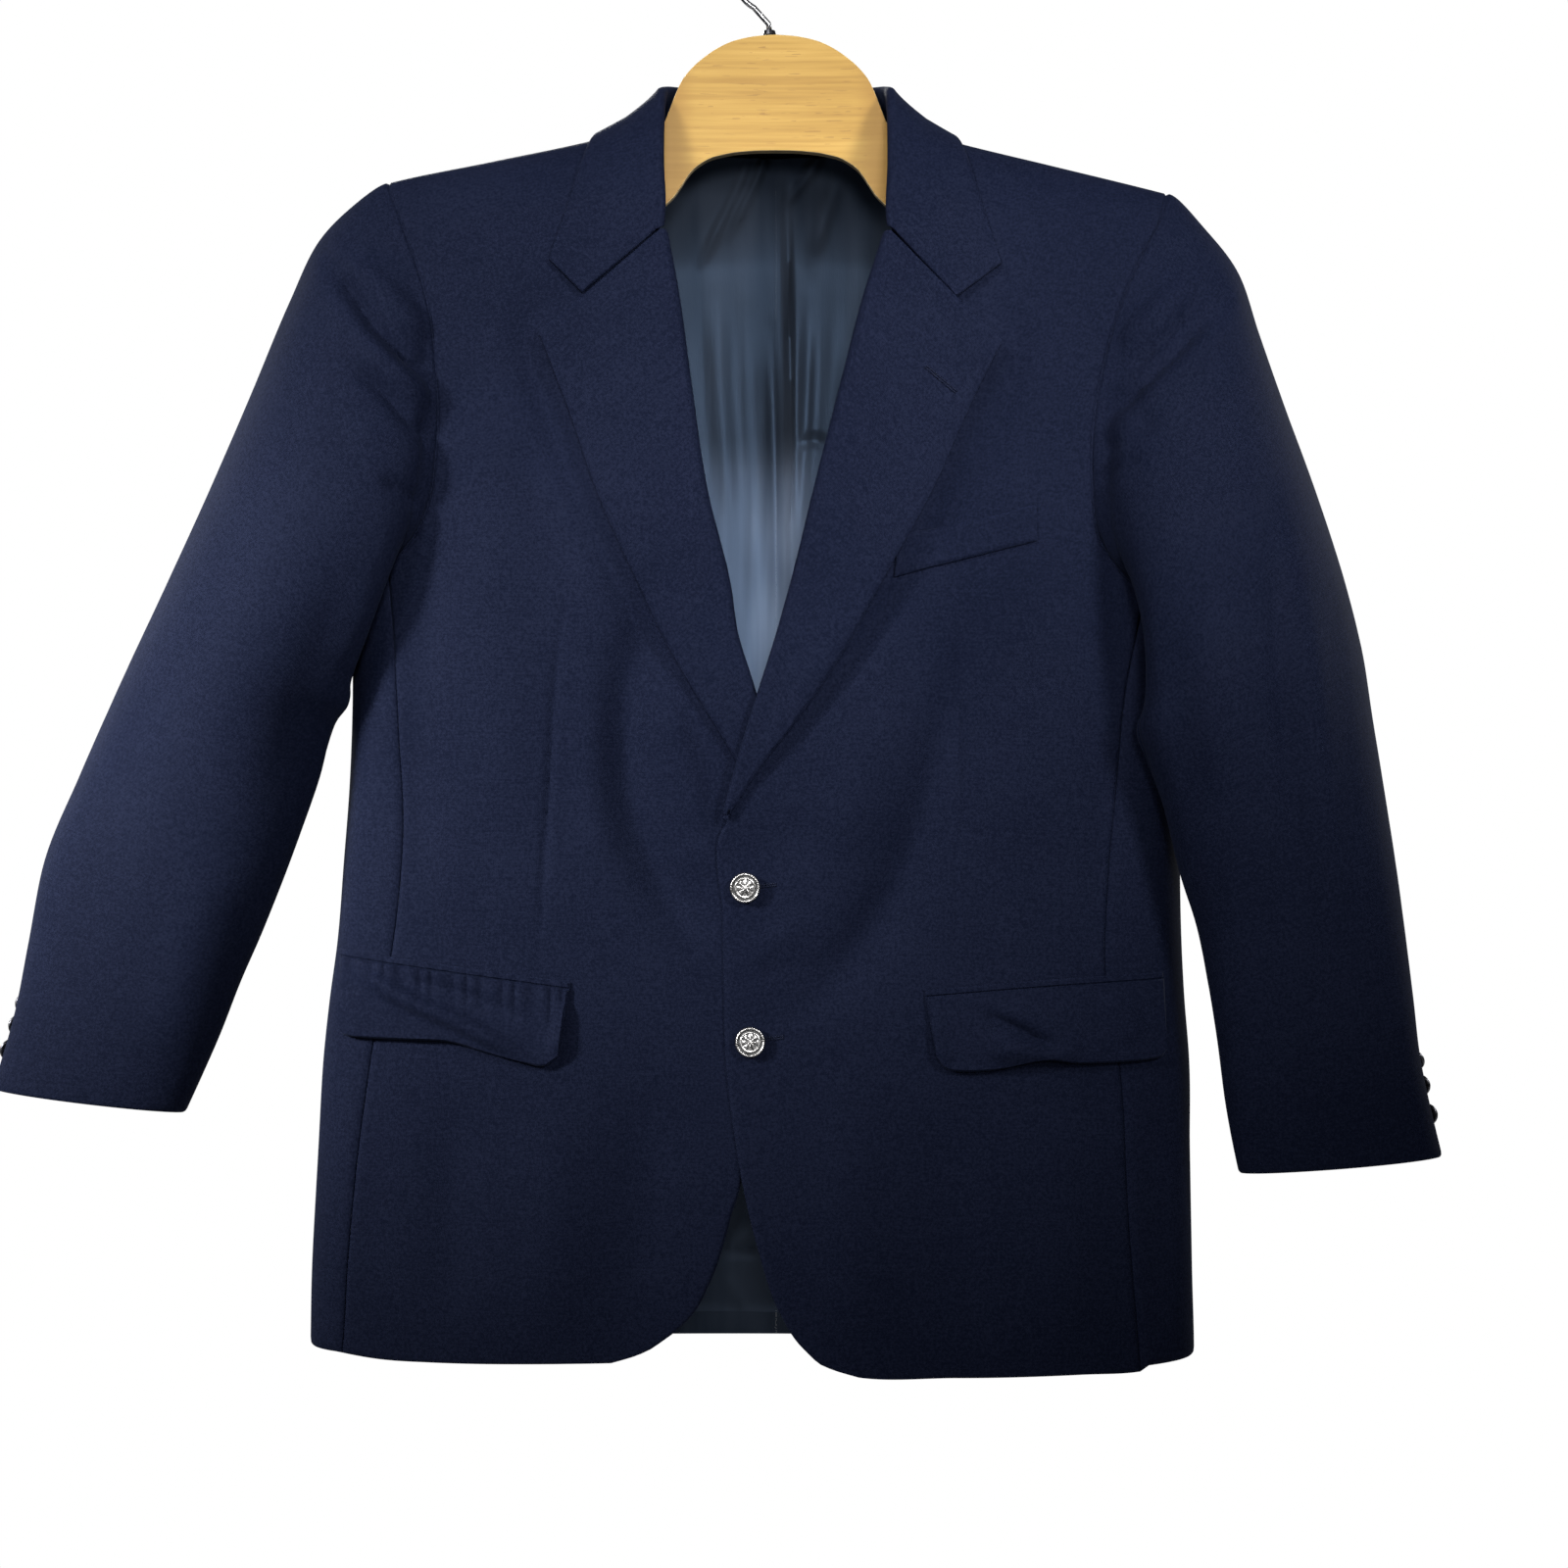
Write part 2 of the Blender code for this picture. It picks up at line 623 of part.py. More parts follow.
def front_inner_line(edge_table, roll_table, side, junction_z):
    """The front's inner border: its edge, the roll line and the neckline, as (across, way)."""
    edge = by_first(edge_table)
    roll = by_first(roll_table)
    roll_start, roll_end = roll_table[0][0], roll_table[-1][0]

    def across(z):
        x, turn = roll(z)
        turned_x = float(x) + side * (CLOTH + float(turn) + ROLL_ROOM)
        blend = fade(z, edge_table[-1][0] - 12, roll_start)
        return float(edge(z)) * (1 - blend) + turned_x * blend

    low = edge_table[0][0]
    lower = [low + (junction_z - low) * share for share in SEAM_ROWS]
    lower = [(across(z), front_way(across(z), z)) for z in lower]
    heights = np.linspace(junction_z, roll_end, 40)
    upper = [(across(z), front_way(across(z), z)) for z in heights]
    upper += neck_line(side)[1:]
    solid = [over_shoulder(x, way) for x, way in upper]
    shares = 1 - np.array(ARMHOLE_STEPS[FRONT_JUNCTION::-1]) / ARMHOLE_STEPS[FRONT_JUNCTION]
    steps = np.linalg.norm(np.diff(solid, axis=0), axis=1)
    length = np.concatenate(([0.0], np.cumsum(steps)))
    xs = np.interp(shares * length[-1], length, [x for x, _ in upper])
    ways = np.interp(shares * length[-1], length, [way for _, way in upper])
    return lower + list(zip(xs[1:], ways[1:]))


FRONT_COLUMNS = (0, 0.07, 0.16, 0.26, 0.37, 0.48, 0.60, 0.71, 0.81, 0.91, 1.0)
BACK_COLUMNS = (0, 0.12, 0.24, 0.35, 0.46, 0.58, 0.70, 0.81, 0.91, 1.0)
LINING_COLUMNS = [0, 2, 3, 4, 6, 8, 9]  # the columns of the back that its lining has


def front_grid(side, upper, edge_table, roll_table, hem_table, seam, hole_front):
    """Grid of a front: rows from the hem up, columns from its inner border to the side."""
    inner = front_inner_line(edge_table, roll_table, side, seam[-1][1])
    outer = [(x, front_way(x, z)) for x, z in seam]
    outer += [(p[0], front_way(p[0], p[2])) for p in hole_front[FRONT_JUNCTION - 1 :: -1]]
    grid = panel_rows(inner, outer, FRONT_COLUMNS)
    hem = by_first(hem_table)
    for r in range(len(SEAM_ROWS)):
        weight = (1 - SEAM_ROWS[r]) ** 4
        for c in range(len(FRONT_COLUMNS)):
            x = grid[0, c, 0]
            wanted = front_way(x, float(hem(x)))
            grid[r, c, 1] += (wanted - grid[0, c, 1]) * weight if r else 0.0
    for c in range(len(FRONT_COLUMNS)):
        x = grid[0, c, 0]
        grid[0, c, 1] = front_way(x, float(hem(x)))
    points = np.zeros(grid.shape[:2] + (3,))
    for r in range(grid.shape[0]):
        for c in range(grid.shape[1]):
            x, way = grid[r, c]
            point = over_shoulder(x, min(way, 0.0))
            point[1] -= layer(x, point[2], upper)
            points[r, c] = point
    return points


def back_grid(side, seam, hole_back):
    """Grid of a back half: rows from the hem up, columns from the centre seam to the side."""
    centre_top = COLLAR_NECK[-1][1]
    junction = len(SEAM_ROWS)
    hem = by_first(HEM_BACK)
    x_centre = NECK_MIDDLE
    low = way_of(float(shoulder(x_centre)) - float(hem(x_centre)))
    steps = len(hole_back[:BACK_JUNCTION])
    outer = [(x, way_of(float(shoulder(x)) - z)) for x, z in seam]
    outer += [(p[0], way_of(float(shoulder(p[0])) - p[2])) for p in hole_back[BACK_JUNCTION - 1 :: -1]]
    shares = [share * 0.72 for share in SEAM_ROWS]
    upper_steps = 1 - np.array(ARMHOLE_STEPS[BACK_JUNCTION - 1 :: -1]) / ARMHOLE_STEPS[BACK_JUNCTION]
    shares += [0.72 + 0.28 * share for share in upper_steps]
    inner = [(x_centre, low + (centre_top - low) * share) for share in shares]
    grid = panel_rows(inner, outer, BACK_COLUMNS)
    neck = spline([row[0] for row in COLLAR_NECK[:2:-1]], [row[1] for row in COLLAR_NECK[:2:-1]])
    neck_width = COLLAR_NECK[3][0]
    for c, u in enumerate(BACK_COLUMNS):
        x = grid[-1, c, 0]
        away = abs(x - NECK_MIDDLE)
        wanted = float(neck(away)) if away < neck_width else 0.0
        change = wanted - grid[-1, c, 1]
        for r in range(steps + 1):
            row = junction - 1 + r
            grid[row, c, 1] += change * (r / steps) ** 1.5
    for r, share in enumerate(SEAM_ROWS):
        for c in range(len(BACK_COLUMNS)):
            x = grid[0, c, 0]
            wanted = way_of(float(shoulder(x)) - float(hem(x)))
            grid[r, c, 1] += (wanted - grid[0, c, 1]) * (1 - share) ** 4 if r else 0.0
    for c in range(len(BACK_COLUMNS)):
        x = grid[0, c, 0]
        grid[0, c, 1] = way_of(float(shoulder(x)) - float(hem(x)))
    return grid


def back_points(grid, inside=None):
    """The points of a back's map, or those that lie inside it by a distance for each row."""
    points = np.zeros(grid.shape[:2] + (3,))
    for r in range(grid.shape[0]):
        for c in range(grid.shape[1]):
            x, way = grid[r, c]
            way = max(way, 0.0)
            points[r, c] = over_shoulder(x, way)
            if inside is not None:
                points[r, c] -= outward(x, max(way, 2.0)) * inside[r]
    return points


def lining_map(back_map):
    """The back's map for its lining, which starts above the hem and ends below the shoulder line."""
    top = back_map[-1].copy()
    top[:, 1] = np.maximum(top[:, 1] + LINING_BELOW_NECK, LINING_BELOW_SHOULDER)
    rows = np.concatenate((back_map[2:-4], [top]))
    for r in range(len(rows) - 2, -1, -1):
        rows[r, :, 1] = np.maximum(rows[r, :, 1], rows[r + 1, :, 1] + 10)
    return rows[:, LINING_COLUMNS]


def side_grid(front_seam, back_seam, hole_front, hole_back):
    """Grid of an underarm panel: rows from the hem up, columns from the front seam round to the back one."""
    top = list(hole_front[FRONT_JUNCTION:]) + list(hole_back[-2 : BACK_JUNCTION - 1 : -1])
    armpit = len(ARMHOLE_STEPS) - 1 - FRONT_JUNCTION
    behind = [c > armpit for c in range(len(top))]
    top = np.array([(theta_at(p[0], p[2], flag), p[2]) for p, flag in zip(top, behind)])
    top[armpit, 0] = math.copysign(math.pi / 2, top[armpit, 0])
    shares = np.linspace(0, 1, len(top))
    points = np.zeros((len(SEAM_ROWS), len(top), 3))
    for r, up in enumerate(SEAM_ROWS):
        x0, z0 = front_seam[r]
        x1, z1 = back_seam[r]
        ends = np.array([(theta_at(x0, z0, False), z0), (theta_at(x1, z1, True), z1)])
        top_ends = np.array([top[0], top[-1]])
        for c, u in enumerate(shares):
            flat = ends[0] * (1 - u) + ends[1] * u
            change = top[c] - (top_ends[0] * (1 - u) + top_ends[1] * u)
            weight = np.array([up, up**3])
            theta, z = flat + change * weight
            points[r, c] = body_point(theta, z)
    return points


def fit_edges(panel, front_edge, back_edge):
    """Gives a panel's two side borders the very points of its neighbours' borders."""
    panel[:, 0] = front_edge
    panel[:, -1] = back_edge
    return panel


# ---------------------------------------------------------------- sleeves

TOPSLEEVE_TO = 12  # the ring point where the forearm seam starts, in front of the armpit
TOPSLEEVE_FROM = -7  # and the elbow seam, behind the shoulder
STRIP = 2.6  # the first turn of the sleeve's cloth beside the armhole seam
SLEEVE_SOFT_RINGS = 8  # the rings that are smoothed at the armpit
SMOOTHINGS = 8
SLEEVE_SEAM_ROOM = 1.0  # between the two halves of a sleeve in those rings
CLEAR_BELOW = -640.0  # below this height the sleeves hang well away from the body
SLEEVE_FADE = 12.0  # over which a sleeve is let go of the body, past the armhole's edge
EASE_START = 10.0  # below the armpit, where the sleeve starts to stand farther off
EASE_FULL = 70.0  # and where it has all of its ease
SMOOTH_WEIGHT = 0.6
SMOOTH_FROM = (0.5, 0.8)  # how low round the armhole the smoothing starts, and is full
UNDERARM_LEAN = (0.25, 1.0)  # where the seam's cloth starts to turn down, and lies along the body
UNDERARM_STRIP = 2.2  # how much wider the first turn is there, in thicknesses of cloth


def loop_points(hole_front, hole_back):
    """The closed armhole: from the tip down the front to the armpit and up the back."""
    return np.array(list(hole_front) + list(hole_back[-2:0:-1]))


def ring_point(row, turn):
    """A point on the inside of a sleeve's cloth, from a row of its table."""
    outer = np.array([row[0], 0, row[1]])
    inner = np.array([row[2], 0, row[3]])
    half = (outer - inner) / 2
    half -= unit(half) * CLOTH
    point = (outer + inner) / 2 + half * math.cos(turn)
    reach = (row[5] if math.sin(turn) > 0 else row[6]) - CLOTH
    point[1] = row[4] - reach * math.sin(turn) - row[7] * (1 - math.cos(turn)) / 2
    return point


def ring_turns(kept, down):
    """Where a ring's points lie round the sleeve: evenly between its two seams, or as on the armhole."""
    half = len(ARMHOLE_STEPS) - 1
    elbow = ELBOW_SEAM[0] + (ELBOW_SEAM[1] - ELBOW_SEAM[0]) * down
    forearm = FOREARM_SEAM[0] + (FOREARM_SEAM[1] - FOREARM_SEAM[0]) * down
    keys = (TOPSLEEVE_FROM, TOPSLEEVE_TO, TOPSLEEVE_FROM + 2 * half)
    turns = []
    for i in range(2 * half):
        place = i if i <= TOPSLEEVE_FROM + 2 * half else i - 2 * half
        even = float(np.interp(place, keys, (elbow, forearm, elbow + 360)))
        signed = i if i <= half else i - 2 * half
        on_hole = math.copysign(180 * ARMHOLE_STEPS[abs(signed)], signed)
        if even > 180 and signed < 0:
            on_hole += 360
        turns.append(math.radians(on_hole * kept + even * (1 - kept)))
    return turns


def armhole_frame(loop, i):
    """At a point of the armhole: the direction out of the body, and the one across the seam to the sleeve."""
    half = len(ARMHOLE_STEPS) - 1
    signed = i if i <= half else i - 2 * half
    tangent = unit(loop[(i + 1) % len(loop)] - loop[i - 1])
    x, _, z = loop[i]
    if abs(signed) < half - 2:
        away = outward(x, math.copysign(way_of(float(shoulder(x)) - z), -signed))
    else:
        away = loop[i] - np.array([NECK_MIDDLE, middle_depth(x, z), z])
    normal = unit(away - tangent * np.dot(away, tangent))
    ahead = unit(np.cross(normal, tangent))
    if np.dot(ahead, loop.mean(axis=0) - loop[i]) < 0:
        ahead = -ahead
    return normal, ahead, abs(signed) / half


def beside_body(point, hole_front, hole_back, side):
    """Keeps a point of a sleeve clear of the body's panels, but not of the armhole's open space."""
    x, y, z = point
    if z < CLEAR_BELOW:
        return point
    hole = hole_back if y > middle_depth(x, z) else hole_front
    line = hole[::-1]
    edge = np.interp(z, line[:, 2], line[:, 0])
    armpit = line[0, 2]
    beyond = fade(side * (x - edge), 0.0, SLEEVE_FADE) * fade(z, armpit, armpit + SLEEVE_FADE)
    room = SLEEVE_CLEAR + SLEEVE_EASE * (1 - fade(z, armpit - EASE_FULL, armpit - EASE_START))
    return clear_of_body(point, room) * (1 - beyond) + point * beyond


def sleeve_rings(table, hole_front, hole_back):
    """Rings of points on the inside of a sleeve's cloth, from the armhole to the cuff."""
    loop = loop_points(hole_front, hole_back)
    count = len(loop)
    side = math.copysign(1, table[0][0])
    seam_ring = []
    strip_ring = []
    for i in range(count):
        normal, ahead, low = armhole_frame(loop, i)
        lean = fade(low, *UNDERARM_LEAN) * math.pi / 2
        start = loop[i] + ahead * (SEAM + CLOTH * math.sin(lean))
        seam_ring.append(start)
        reach = STRIP + UNDERARM_STRIP * CLOTH * math.sin(lean)
        strip_ring.append(start + (ahead * math.cos(lean) + normal * math.sin(lean)) * reach)
    turns = ring_turns(1.0, 0.0)
    deviation = [loop[i] - ring_point(table[0], turns[i]) for i in range(count)]
    rings = [seam_ring, strip_ring]
    for number, row in enumerate(table[1:], 1):
        kept = row[8]
        down = fade(number / (len(table) - 1), 0.1, 1.0)
        turns = ring_turns(kept, down)
        ring = [ring_point(row, turns[i]) + deviation[i] * kept for i in range(count)]
        rings.append([beside_body(point, hole_front, hole_back, side) for point in ring])
    rings = np.array(rings)
    low = np.array([min(i, count - i) for i in range(count)]) / (count / 2)
    weights = np.array([SMOOTH_WEIGHT * fade(place, *SMOOTH_FROM) for place in low])[:, None]
    last = SLEEVE_SOFT_RINGS - 1
    for _ in range(SMOOTHINGS):
        soft = rings[2:last]
        lengthwise = rings[1 : last - 1] + rings[3 : last + 1]
        round_it = np.roll(soft, 1, axis=1) + np.roll(soft, -1, axis=1)
        rings[2:last] += ((lengthwise + round_it) / 4 - soft) * weights
        for r in range(2, last):
            rings[r] = [beside_body(point, hole_front, hole_back, side) for point in rings[r]]
    return rings


def outside_of(rings):
    """The points one wall's thickness outside a sleeve's rings."""
    around = np.roll(rings, -1, axis=1) - np.roll(rings, 1, axis=1)
    down = np.zeros_like(rings)
    down[1:-1] = rings[2:] - rings[:-2]
    down[0] = rings[1] - rings[0]
    down[-1] = rings[-1] - rings[-2]
    normals = np.cross(around, down)
    normals /= np.linalg.norm(normals, axis=2, keepdims=True)
    middle = rings.mean(axis=1, keepdims=True)
    if np.sum(normals[-1] * (rings - middle)[-1]) < 0:
        normals = -normals
    return rings + normals * CLOTH


def sleeve_half(rings, start, end):
    """The ring points from start to end, which may run past the first point."""
    count = rings.shape[1]
    columns = [i % count for i in range(start, end + 1)]
    return rings[:, columns]


# ---------------------------------------------------------------- lapels

ROLL_ANGLES = (0, 60, 120, 180)
LAPEL_ACROSS = (0.10, 0.28, 0.46, 0.64, 0.82, 1.0)
LAPEL_ROWS = 16
GORGE_ROOM = 0.4  # between the lapel's top and the collar


def lapel_grid(side, upper, roll_table, edge_table):
    """Grid of a lapel's underside: rows from its foot up to the gorge, columns from the roll outward."""
    roll = by_first(roll_table)
    roll_line = along([(z, *roll(z)) for z in np.linspace(roll_table[0][0], roll_table[-1][0], 120)],
                      np.linspace(0, 1, LAPEL_ROWS))
    edge = by_first(edge_table)
    edge_line = along([(z, *edge(z)) for z in np.linspace(edge_table[0][0], edge_table[-1][0], 120)],
                      np.linspace(0, 1, LAPEL_ROWS))
    points = []
    for (z_roll, x_roll, turn), (z_edge, x_edge, lift) in zip(roll_line, edge_line):
        row = []
        for angle in ROLL_ANGLES:
            a = math.radians(angle)
            x = x_roll + side * (CLOTH + turn * (1 - math.sin(a)))
            out = CLOTH + turn * (1 - math.cos(a))
            row.append((x, z_roll, out))
        x_start = x_roll + side * (CLOTH + turn)
        for share in LAPEL_ACROSS:
            x = x_start + (x_edge - x_start) * share
            z = z_roll + (z_edge - z_roll) * share
            out = CLOTH + 2 * turn + (lift - 2 * turn) * share**1.5
            row.append((x, z, out))
        solid = []
        for x, z, out in row:
            point = over_shoulder(x, front_way(x, z))
            point[1] -= out + layer(x, z, upper)
            solid.append(point)
        points.append(solid)
    points = np.array(points)
    points[-1, :, 2] -= GORGE_ROOM
    return points


# ---------------------------------------------------------------- collar

COLLAR_STATIONS = 25
COLLAR_FALL = (0.3, 0.62, 1.0)
COLLAR_TURN_ANGLES = (0, 60, 120, 180)
COLLAR_CORNER = 0.55  # how far out the fall starts to follow the shoulder, as a share
COLLAR_END = 0.16  # the share of its half length over which its end takes the notch's shape
NOTCH_ROOM = 1.5  # between the collar's end and the lapel, in height and in depth
POINT_ROOM = 0.5  # more than the lift, under the collar's point


def collar_grid():
    """Grid of the collar's underside, from the wearer's right end round the neck to the left end."""
    neck = by_row(COLLAR_NECK)
    fold = by_row(COLLAR_FOLD)
    edge = by_row(COLLAR_EDGE)
    shares = np.linspace(-1, 1, COLLAR_STATIONS)
    rows = []
    for share in shares:
        side = -1.0 if share < 0 else 1.0
        place = 1 - abs(share)
        n_across, n_way = neck(place)
        k_across, k_depth, k_height = fold(place)
        e_across, e_way = edge(place)
        x = NECK_MIDDLE + side * n_across
        neck_point = over_shoulder(x, n_way) + outward(x, n_way) * COLLAR_SEAT
        fold_point = np.array([NECK_MIDDLE + side * k_across, k_depth, k_height])
        x = NECK_MIDDLE + side * e_across
        edge_point = over_shoulder(x, e_way) + outward(x, e_way) * COLLAR_LIFT
        corner = fold_point * (1 - COLLAR_CORNER) + edge_point * COLLAR_CORNER
        end_share = 1 - fade(place, 0.0, COLLAR_END)
        notch = NOTCH_RIGHT if side < 0 else NOTCH_LEFT
        tip = COLLAR_POINT_RIGHT if side < 0 else COLLAR_POINT_LEFT
        if end_share > 0:
            notch_point = over_shoulder(notch[0], front_way(notch[0], notch[1] + NOTCH_ROOM))
            notch_point[1] -= COLLAR_LIFT + NOTCH_ROOM
            tip_point = over_shoulder(tip[0], front_way(*tip))
            tip_point[1] -= COLLAR_LIFT + POINT_ROOM
            corner = corner * (1 - end_share) + notch_point * end_share
            edge_point = edge_point * (1 - end_share) + tip_point * end_share
        rise = unit(fold_point - neck_point)
        out = corner - fold_point
        out = unit(out - rise * np.dot(out, rise))
        row = [neck_point, (neck_point + fold_point) / 2]
        for angle in COLLAR_TURN_ANGLES:
            a = math.radians(angle)
            row.append(fold_point + out * COLLAR_TURN * (1 - math.cos(a)) + rise * COLLAR_TURN * math.sin(a))
        start = row[-1]
        for part in COLLAR_FALL:
            row.append(start + (corner - start) * part)
        for part in (0.5, 1.0):
            row.append(corner + (edge_point - corner) * part)
        rows.append(row)
    points = np.array(rows)
    for r in range(points.shape[0]):
        for c in range(2 + len(COLLAR_TURN_ANGLES), points.shape[1]):
            points[r, c] = lifted(points[r, c], COLLAR_LIFT)
    return points


def lifted(point, room):
    """Raises a point that is too near the cloth of the shoulders, away from the middle of their round."""
    x, y, z = point
    left, right, front, back = body_row(z)
    middle = middle_depth(x, z)
    behind = y > middle
    share = min(abs(x - (left + right) / 2) / ((right - left) / 2), 0.999)
    depth = (back if behind else front) * (1 - share**ROUNDNESS) ** (1 / ROUNDNESS)
    drop = float(shoulder(x)) - z
    deep = (y - middle) / (depth + room)
    high = (SHOULDER_ROUND - drop) / (SHOULDER_ROUND + room)
    size = math.hypot(deep, max(high, 0.0))
    if size >= 1 or size < 1e-6:
        return np.array(point)
    new_y = middle + deep / size * (depth + room)
    new_z = z if high < 0 else float(shoulder(x)) - SHOULDER_ROUND + high / size * (SHOULDER_ROUND + room)
    return np.array([x, new_y, new_z])


# ---------------------------------------------------------------- pockets


def laid_on_front(x, z, out, upper=None):
    """A point lifted off the outside of a front or an underarm panel."""
    if upper is None:
        upper = x > OVERLAP_MIDDLE
    theta = theta_at(x, z, False)
    step = 0.004
    around = body_point(theta + step, z) - body_point(theta - step, z)
    up = body_point(theta, z + 1) - body_point(theta, z - 1)
    normal = unit(np.cross(around, up))
    return body_point(theta, z) + normal * (CLOTH + out + layer(x, z, upper))


def patch(top_table, bottom_table, columns, rows, lift_top, lift_bottom):
    """Grid of a patch on the front between two lines, from the bottom one up."""
    top = by_row(top_table)
    bottom = by_row(bottom_table)
    points = []
    for r in range(rows):
        up = r / (rows - 1)
        row = []
        for c in range(columns):
            share = c / (columns - 1)
            x, z = bottom(share) * (1 - up) + top(share) * up
            row.append(laid_on_front(x, z, lift_bottom + (lift_top - lift_bottom) * up))
        points.append(row)
    return np.array(points)


def jet_lines(flap_top):
    low = [(x, z + SEAM) for x, z in flap_top]
    high = [(x, z + SEAM + JET_HEIGHT) for x, z in flap_top]
    return low, high


# ---------------------------------------------------------------- buttons


BUTTON_FOOT = 0.26  # the depth of a button's foot, as a share of its radius


def button_profile(radius):
    """Half the section of a domed metal button with a raised rim: radius and height."""
    return (
        (0, 0.27 * radius),
        (0.40 * radius, 0.25 * radius),
        (0.74 * radius, 0.19 * radius),
        (0.84 * radius, 0.27 * radius),
        (0.96 * radius, 0.22 * radius),
        (radius, 0.08 * radius),
        (0.88 * radius, -0.06 * radius),
        (0.30 * radius, -0.12 * radius),
        (0.28 * radius, -BUTTON_FOOT * radius),
        (0, -BUTTON_FOOT * radius),
    )


def front_button(name, place, material, collection):
    x, z = place
    cloth = laid_on_front(x, z, 0, True)
    normal = unit(laid_on_front(x, z, 5, True) - cloth)
    centre = cloth + normal * (BUTTON_FOOT * FRONT_BUTTON_RADIUS + FRONT_BUTTON_THREAD)
    turned(name, button_profile(FRONT_BUTTON_RADIUS), material, collection, 20, centre, normal)


CUFF_BUTTON_COLUMN = -5  # the ring point on whose line the buttons sit, just behind the outer edge
CUFF_BUTTON_THREAD = 0.5
CUFF_PROFILE = (0, 2, 3, 5, 7, 8, 9)  # the points of the large button's section that a small one keeps


def cuff_button(name, outer_rings, height, material, collection):
    """A button on the outside of a sleeve, beside its elbow seam."""
    lines = [outer_rings[:3:-1, CUFF_BUTTON_COLUMN + step] for step in (-1, 0, 1)]
    behind, place, ahead = [
        np.array([np.interp(height, line[:, 2], line[:, k]) for k in range(3)]) for line in lines
    ]
    normal = unit(np.cross(ahead - behind, lines[1][3] - lines[1][0]))
    normal *= math.copysign(1, np.dot(normal, (math.copysign(1, place[0]), 0, 0)))
    centre = place + normal * (BUTTON_FOOT * CUFF_BUTTON_RADIUS + CUFF_BUTTON_THREAD)
    section = button_profile(CUFF_BUTTON_RADIUS)
    turned(name, [section[i] for i in CUFF_PROFILE], material, collection, 12, centre, normal)


# ---------------------------------------------------------------- the hanger


def hanger_grid():
    """Grid of the hanger's middle surface: rows from its lower edge up, columns across."""
    last = WOOD_EDGES[-1][0]
    crown = [row[0] for row in WOOD_EDGES]
    arm = list(np.linspace(last, WOOD_TIP, 9)[1:])
    halves = crown + arm
    across = [-value for value in halves[:0:-1]] + halves
    upper = by_first([row[:2] for row in WOOD_EDGES])
    lower = by_first([(row[0], row[2]) for row in WOOD_EDGES])
    rows = 3
    points = np.zeros((rows, len(across), 3))
    for c, value in enumerate(across):
        away = abs(value)
        x = WOOD_MIDDLE + value
        if away > last:
            top = float(shoulder(x)) - WOOD_SEAT
            share = (away - last) / (WOOD_TIP - last)
            root = float(upper(last)) - float(lower(last))
            depth = root + (WOOD_TIP_DEPTH - root) * share
            depth = min(depth, root)
            tip_round = math.sqrt(max(1 - fade(share, 0.86, 1.06) ** 2, 0.1))
            bottom = top - depth
            middle = (top + bottom) / 2
            bottom = middle - (middle - bottom) * tip_round
        else:
            top = float(upper(away))
            bottom = float(lower(away))
        for r in range(rows):
            z = bottom + (top - bottom) * r / (rows - 1)
            points[r, c] = (x, middle_depth(x, -150), z)
    return points


def hook_route():
    """The wire's middle line, from its foot in the wood round the hook to its free end."""
    radius = HOOK_RADIUS + HOOK_WIRE / 2
    centre_z = -HOOK_RADIUS
    points = [(0, HOOK_FOOT - 12), (0, HOOK_FOOT - 4), (0, HOOK_FOOT + 5), (-0.6, HOOK_FOOT + 10)]
    for angle in range(-118, -361, -15):
        a = math.radians(angle)
        points.append((radius * math.cos(a), centre_z + radius * math.sin(a)))
    points.append((radius + 1.2, centre_z - 7))
    return [Vector((x * MM, RIDGE_BACK * MM, z * MM)) for x, z in points]


def wire(name, route, diameter, material, collection):
    curve = bpy.data.curves.new(name, "CURVE")
    curve.dimensions = "3D"
    curve.bevel_depth = diameter * MM / 2
    curve.bevel_resolution = 2
    curve.use_fill_caps = True
    line = curve.splines.new("POLY")
    line.points.add(len(route) - 1)
    for point, place in zip(line.points, route):
        point.co = (*place, 1.0)
    return add_object(name, curve, material, collection)


def build_hanger(collection):
    wood = finish("bent_wood", HONEY_WOOD, 0.35)
    bright = finish("bright_wire", BRIGHT_WIRE, 0.25, 1.0)
    dark = finish("dark_metal", DARK_METAL, 0.4, 1.0)
    plate = sheet("hanger", hanger_grid(), (0, -1, 0), wood, collection, WOOD)
    plate.modifiers["wall"].offset = 0.0
    edge = plate.modifiers.new("eased_edges", "BEVEL")
    edge.width = WOOD_ROUND * MM
    edge.segments = 2
    edge.limit_method = "ANGLE"
    edge.angle_limit = math.radians(50)
    top = WOOD_EDGES[0][1]
    ferrule = ((0, FERRULE_HEIGHT), (FERRULE_RADIUS * 0.8, FERRULE_HEIGHT), (FERRULE_RADIUS, 0), (0, 0))
    place = (0, RIDGE_BACK, top + 0.4)
    turned("hook_ferrule", ferrule, dark, collection, 16, place, (0, 0, 1))
    route = [p for p in hook_route() if p.z > (top + 0.4 + FERRULE_HEIGHT) * MM]
    foot = Vector((0, RIDGE_BACK * MM, (top + 0.7 + FERRULE_HEIGHT) * MM))
    wire("hanger_hook", [foot] + route, HOOK_WIRE, bright, collection)


# ---------------------------------------------------------------- the blazer


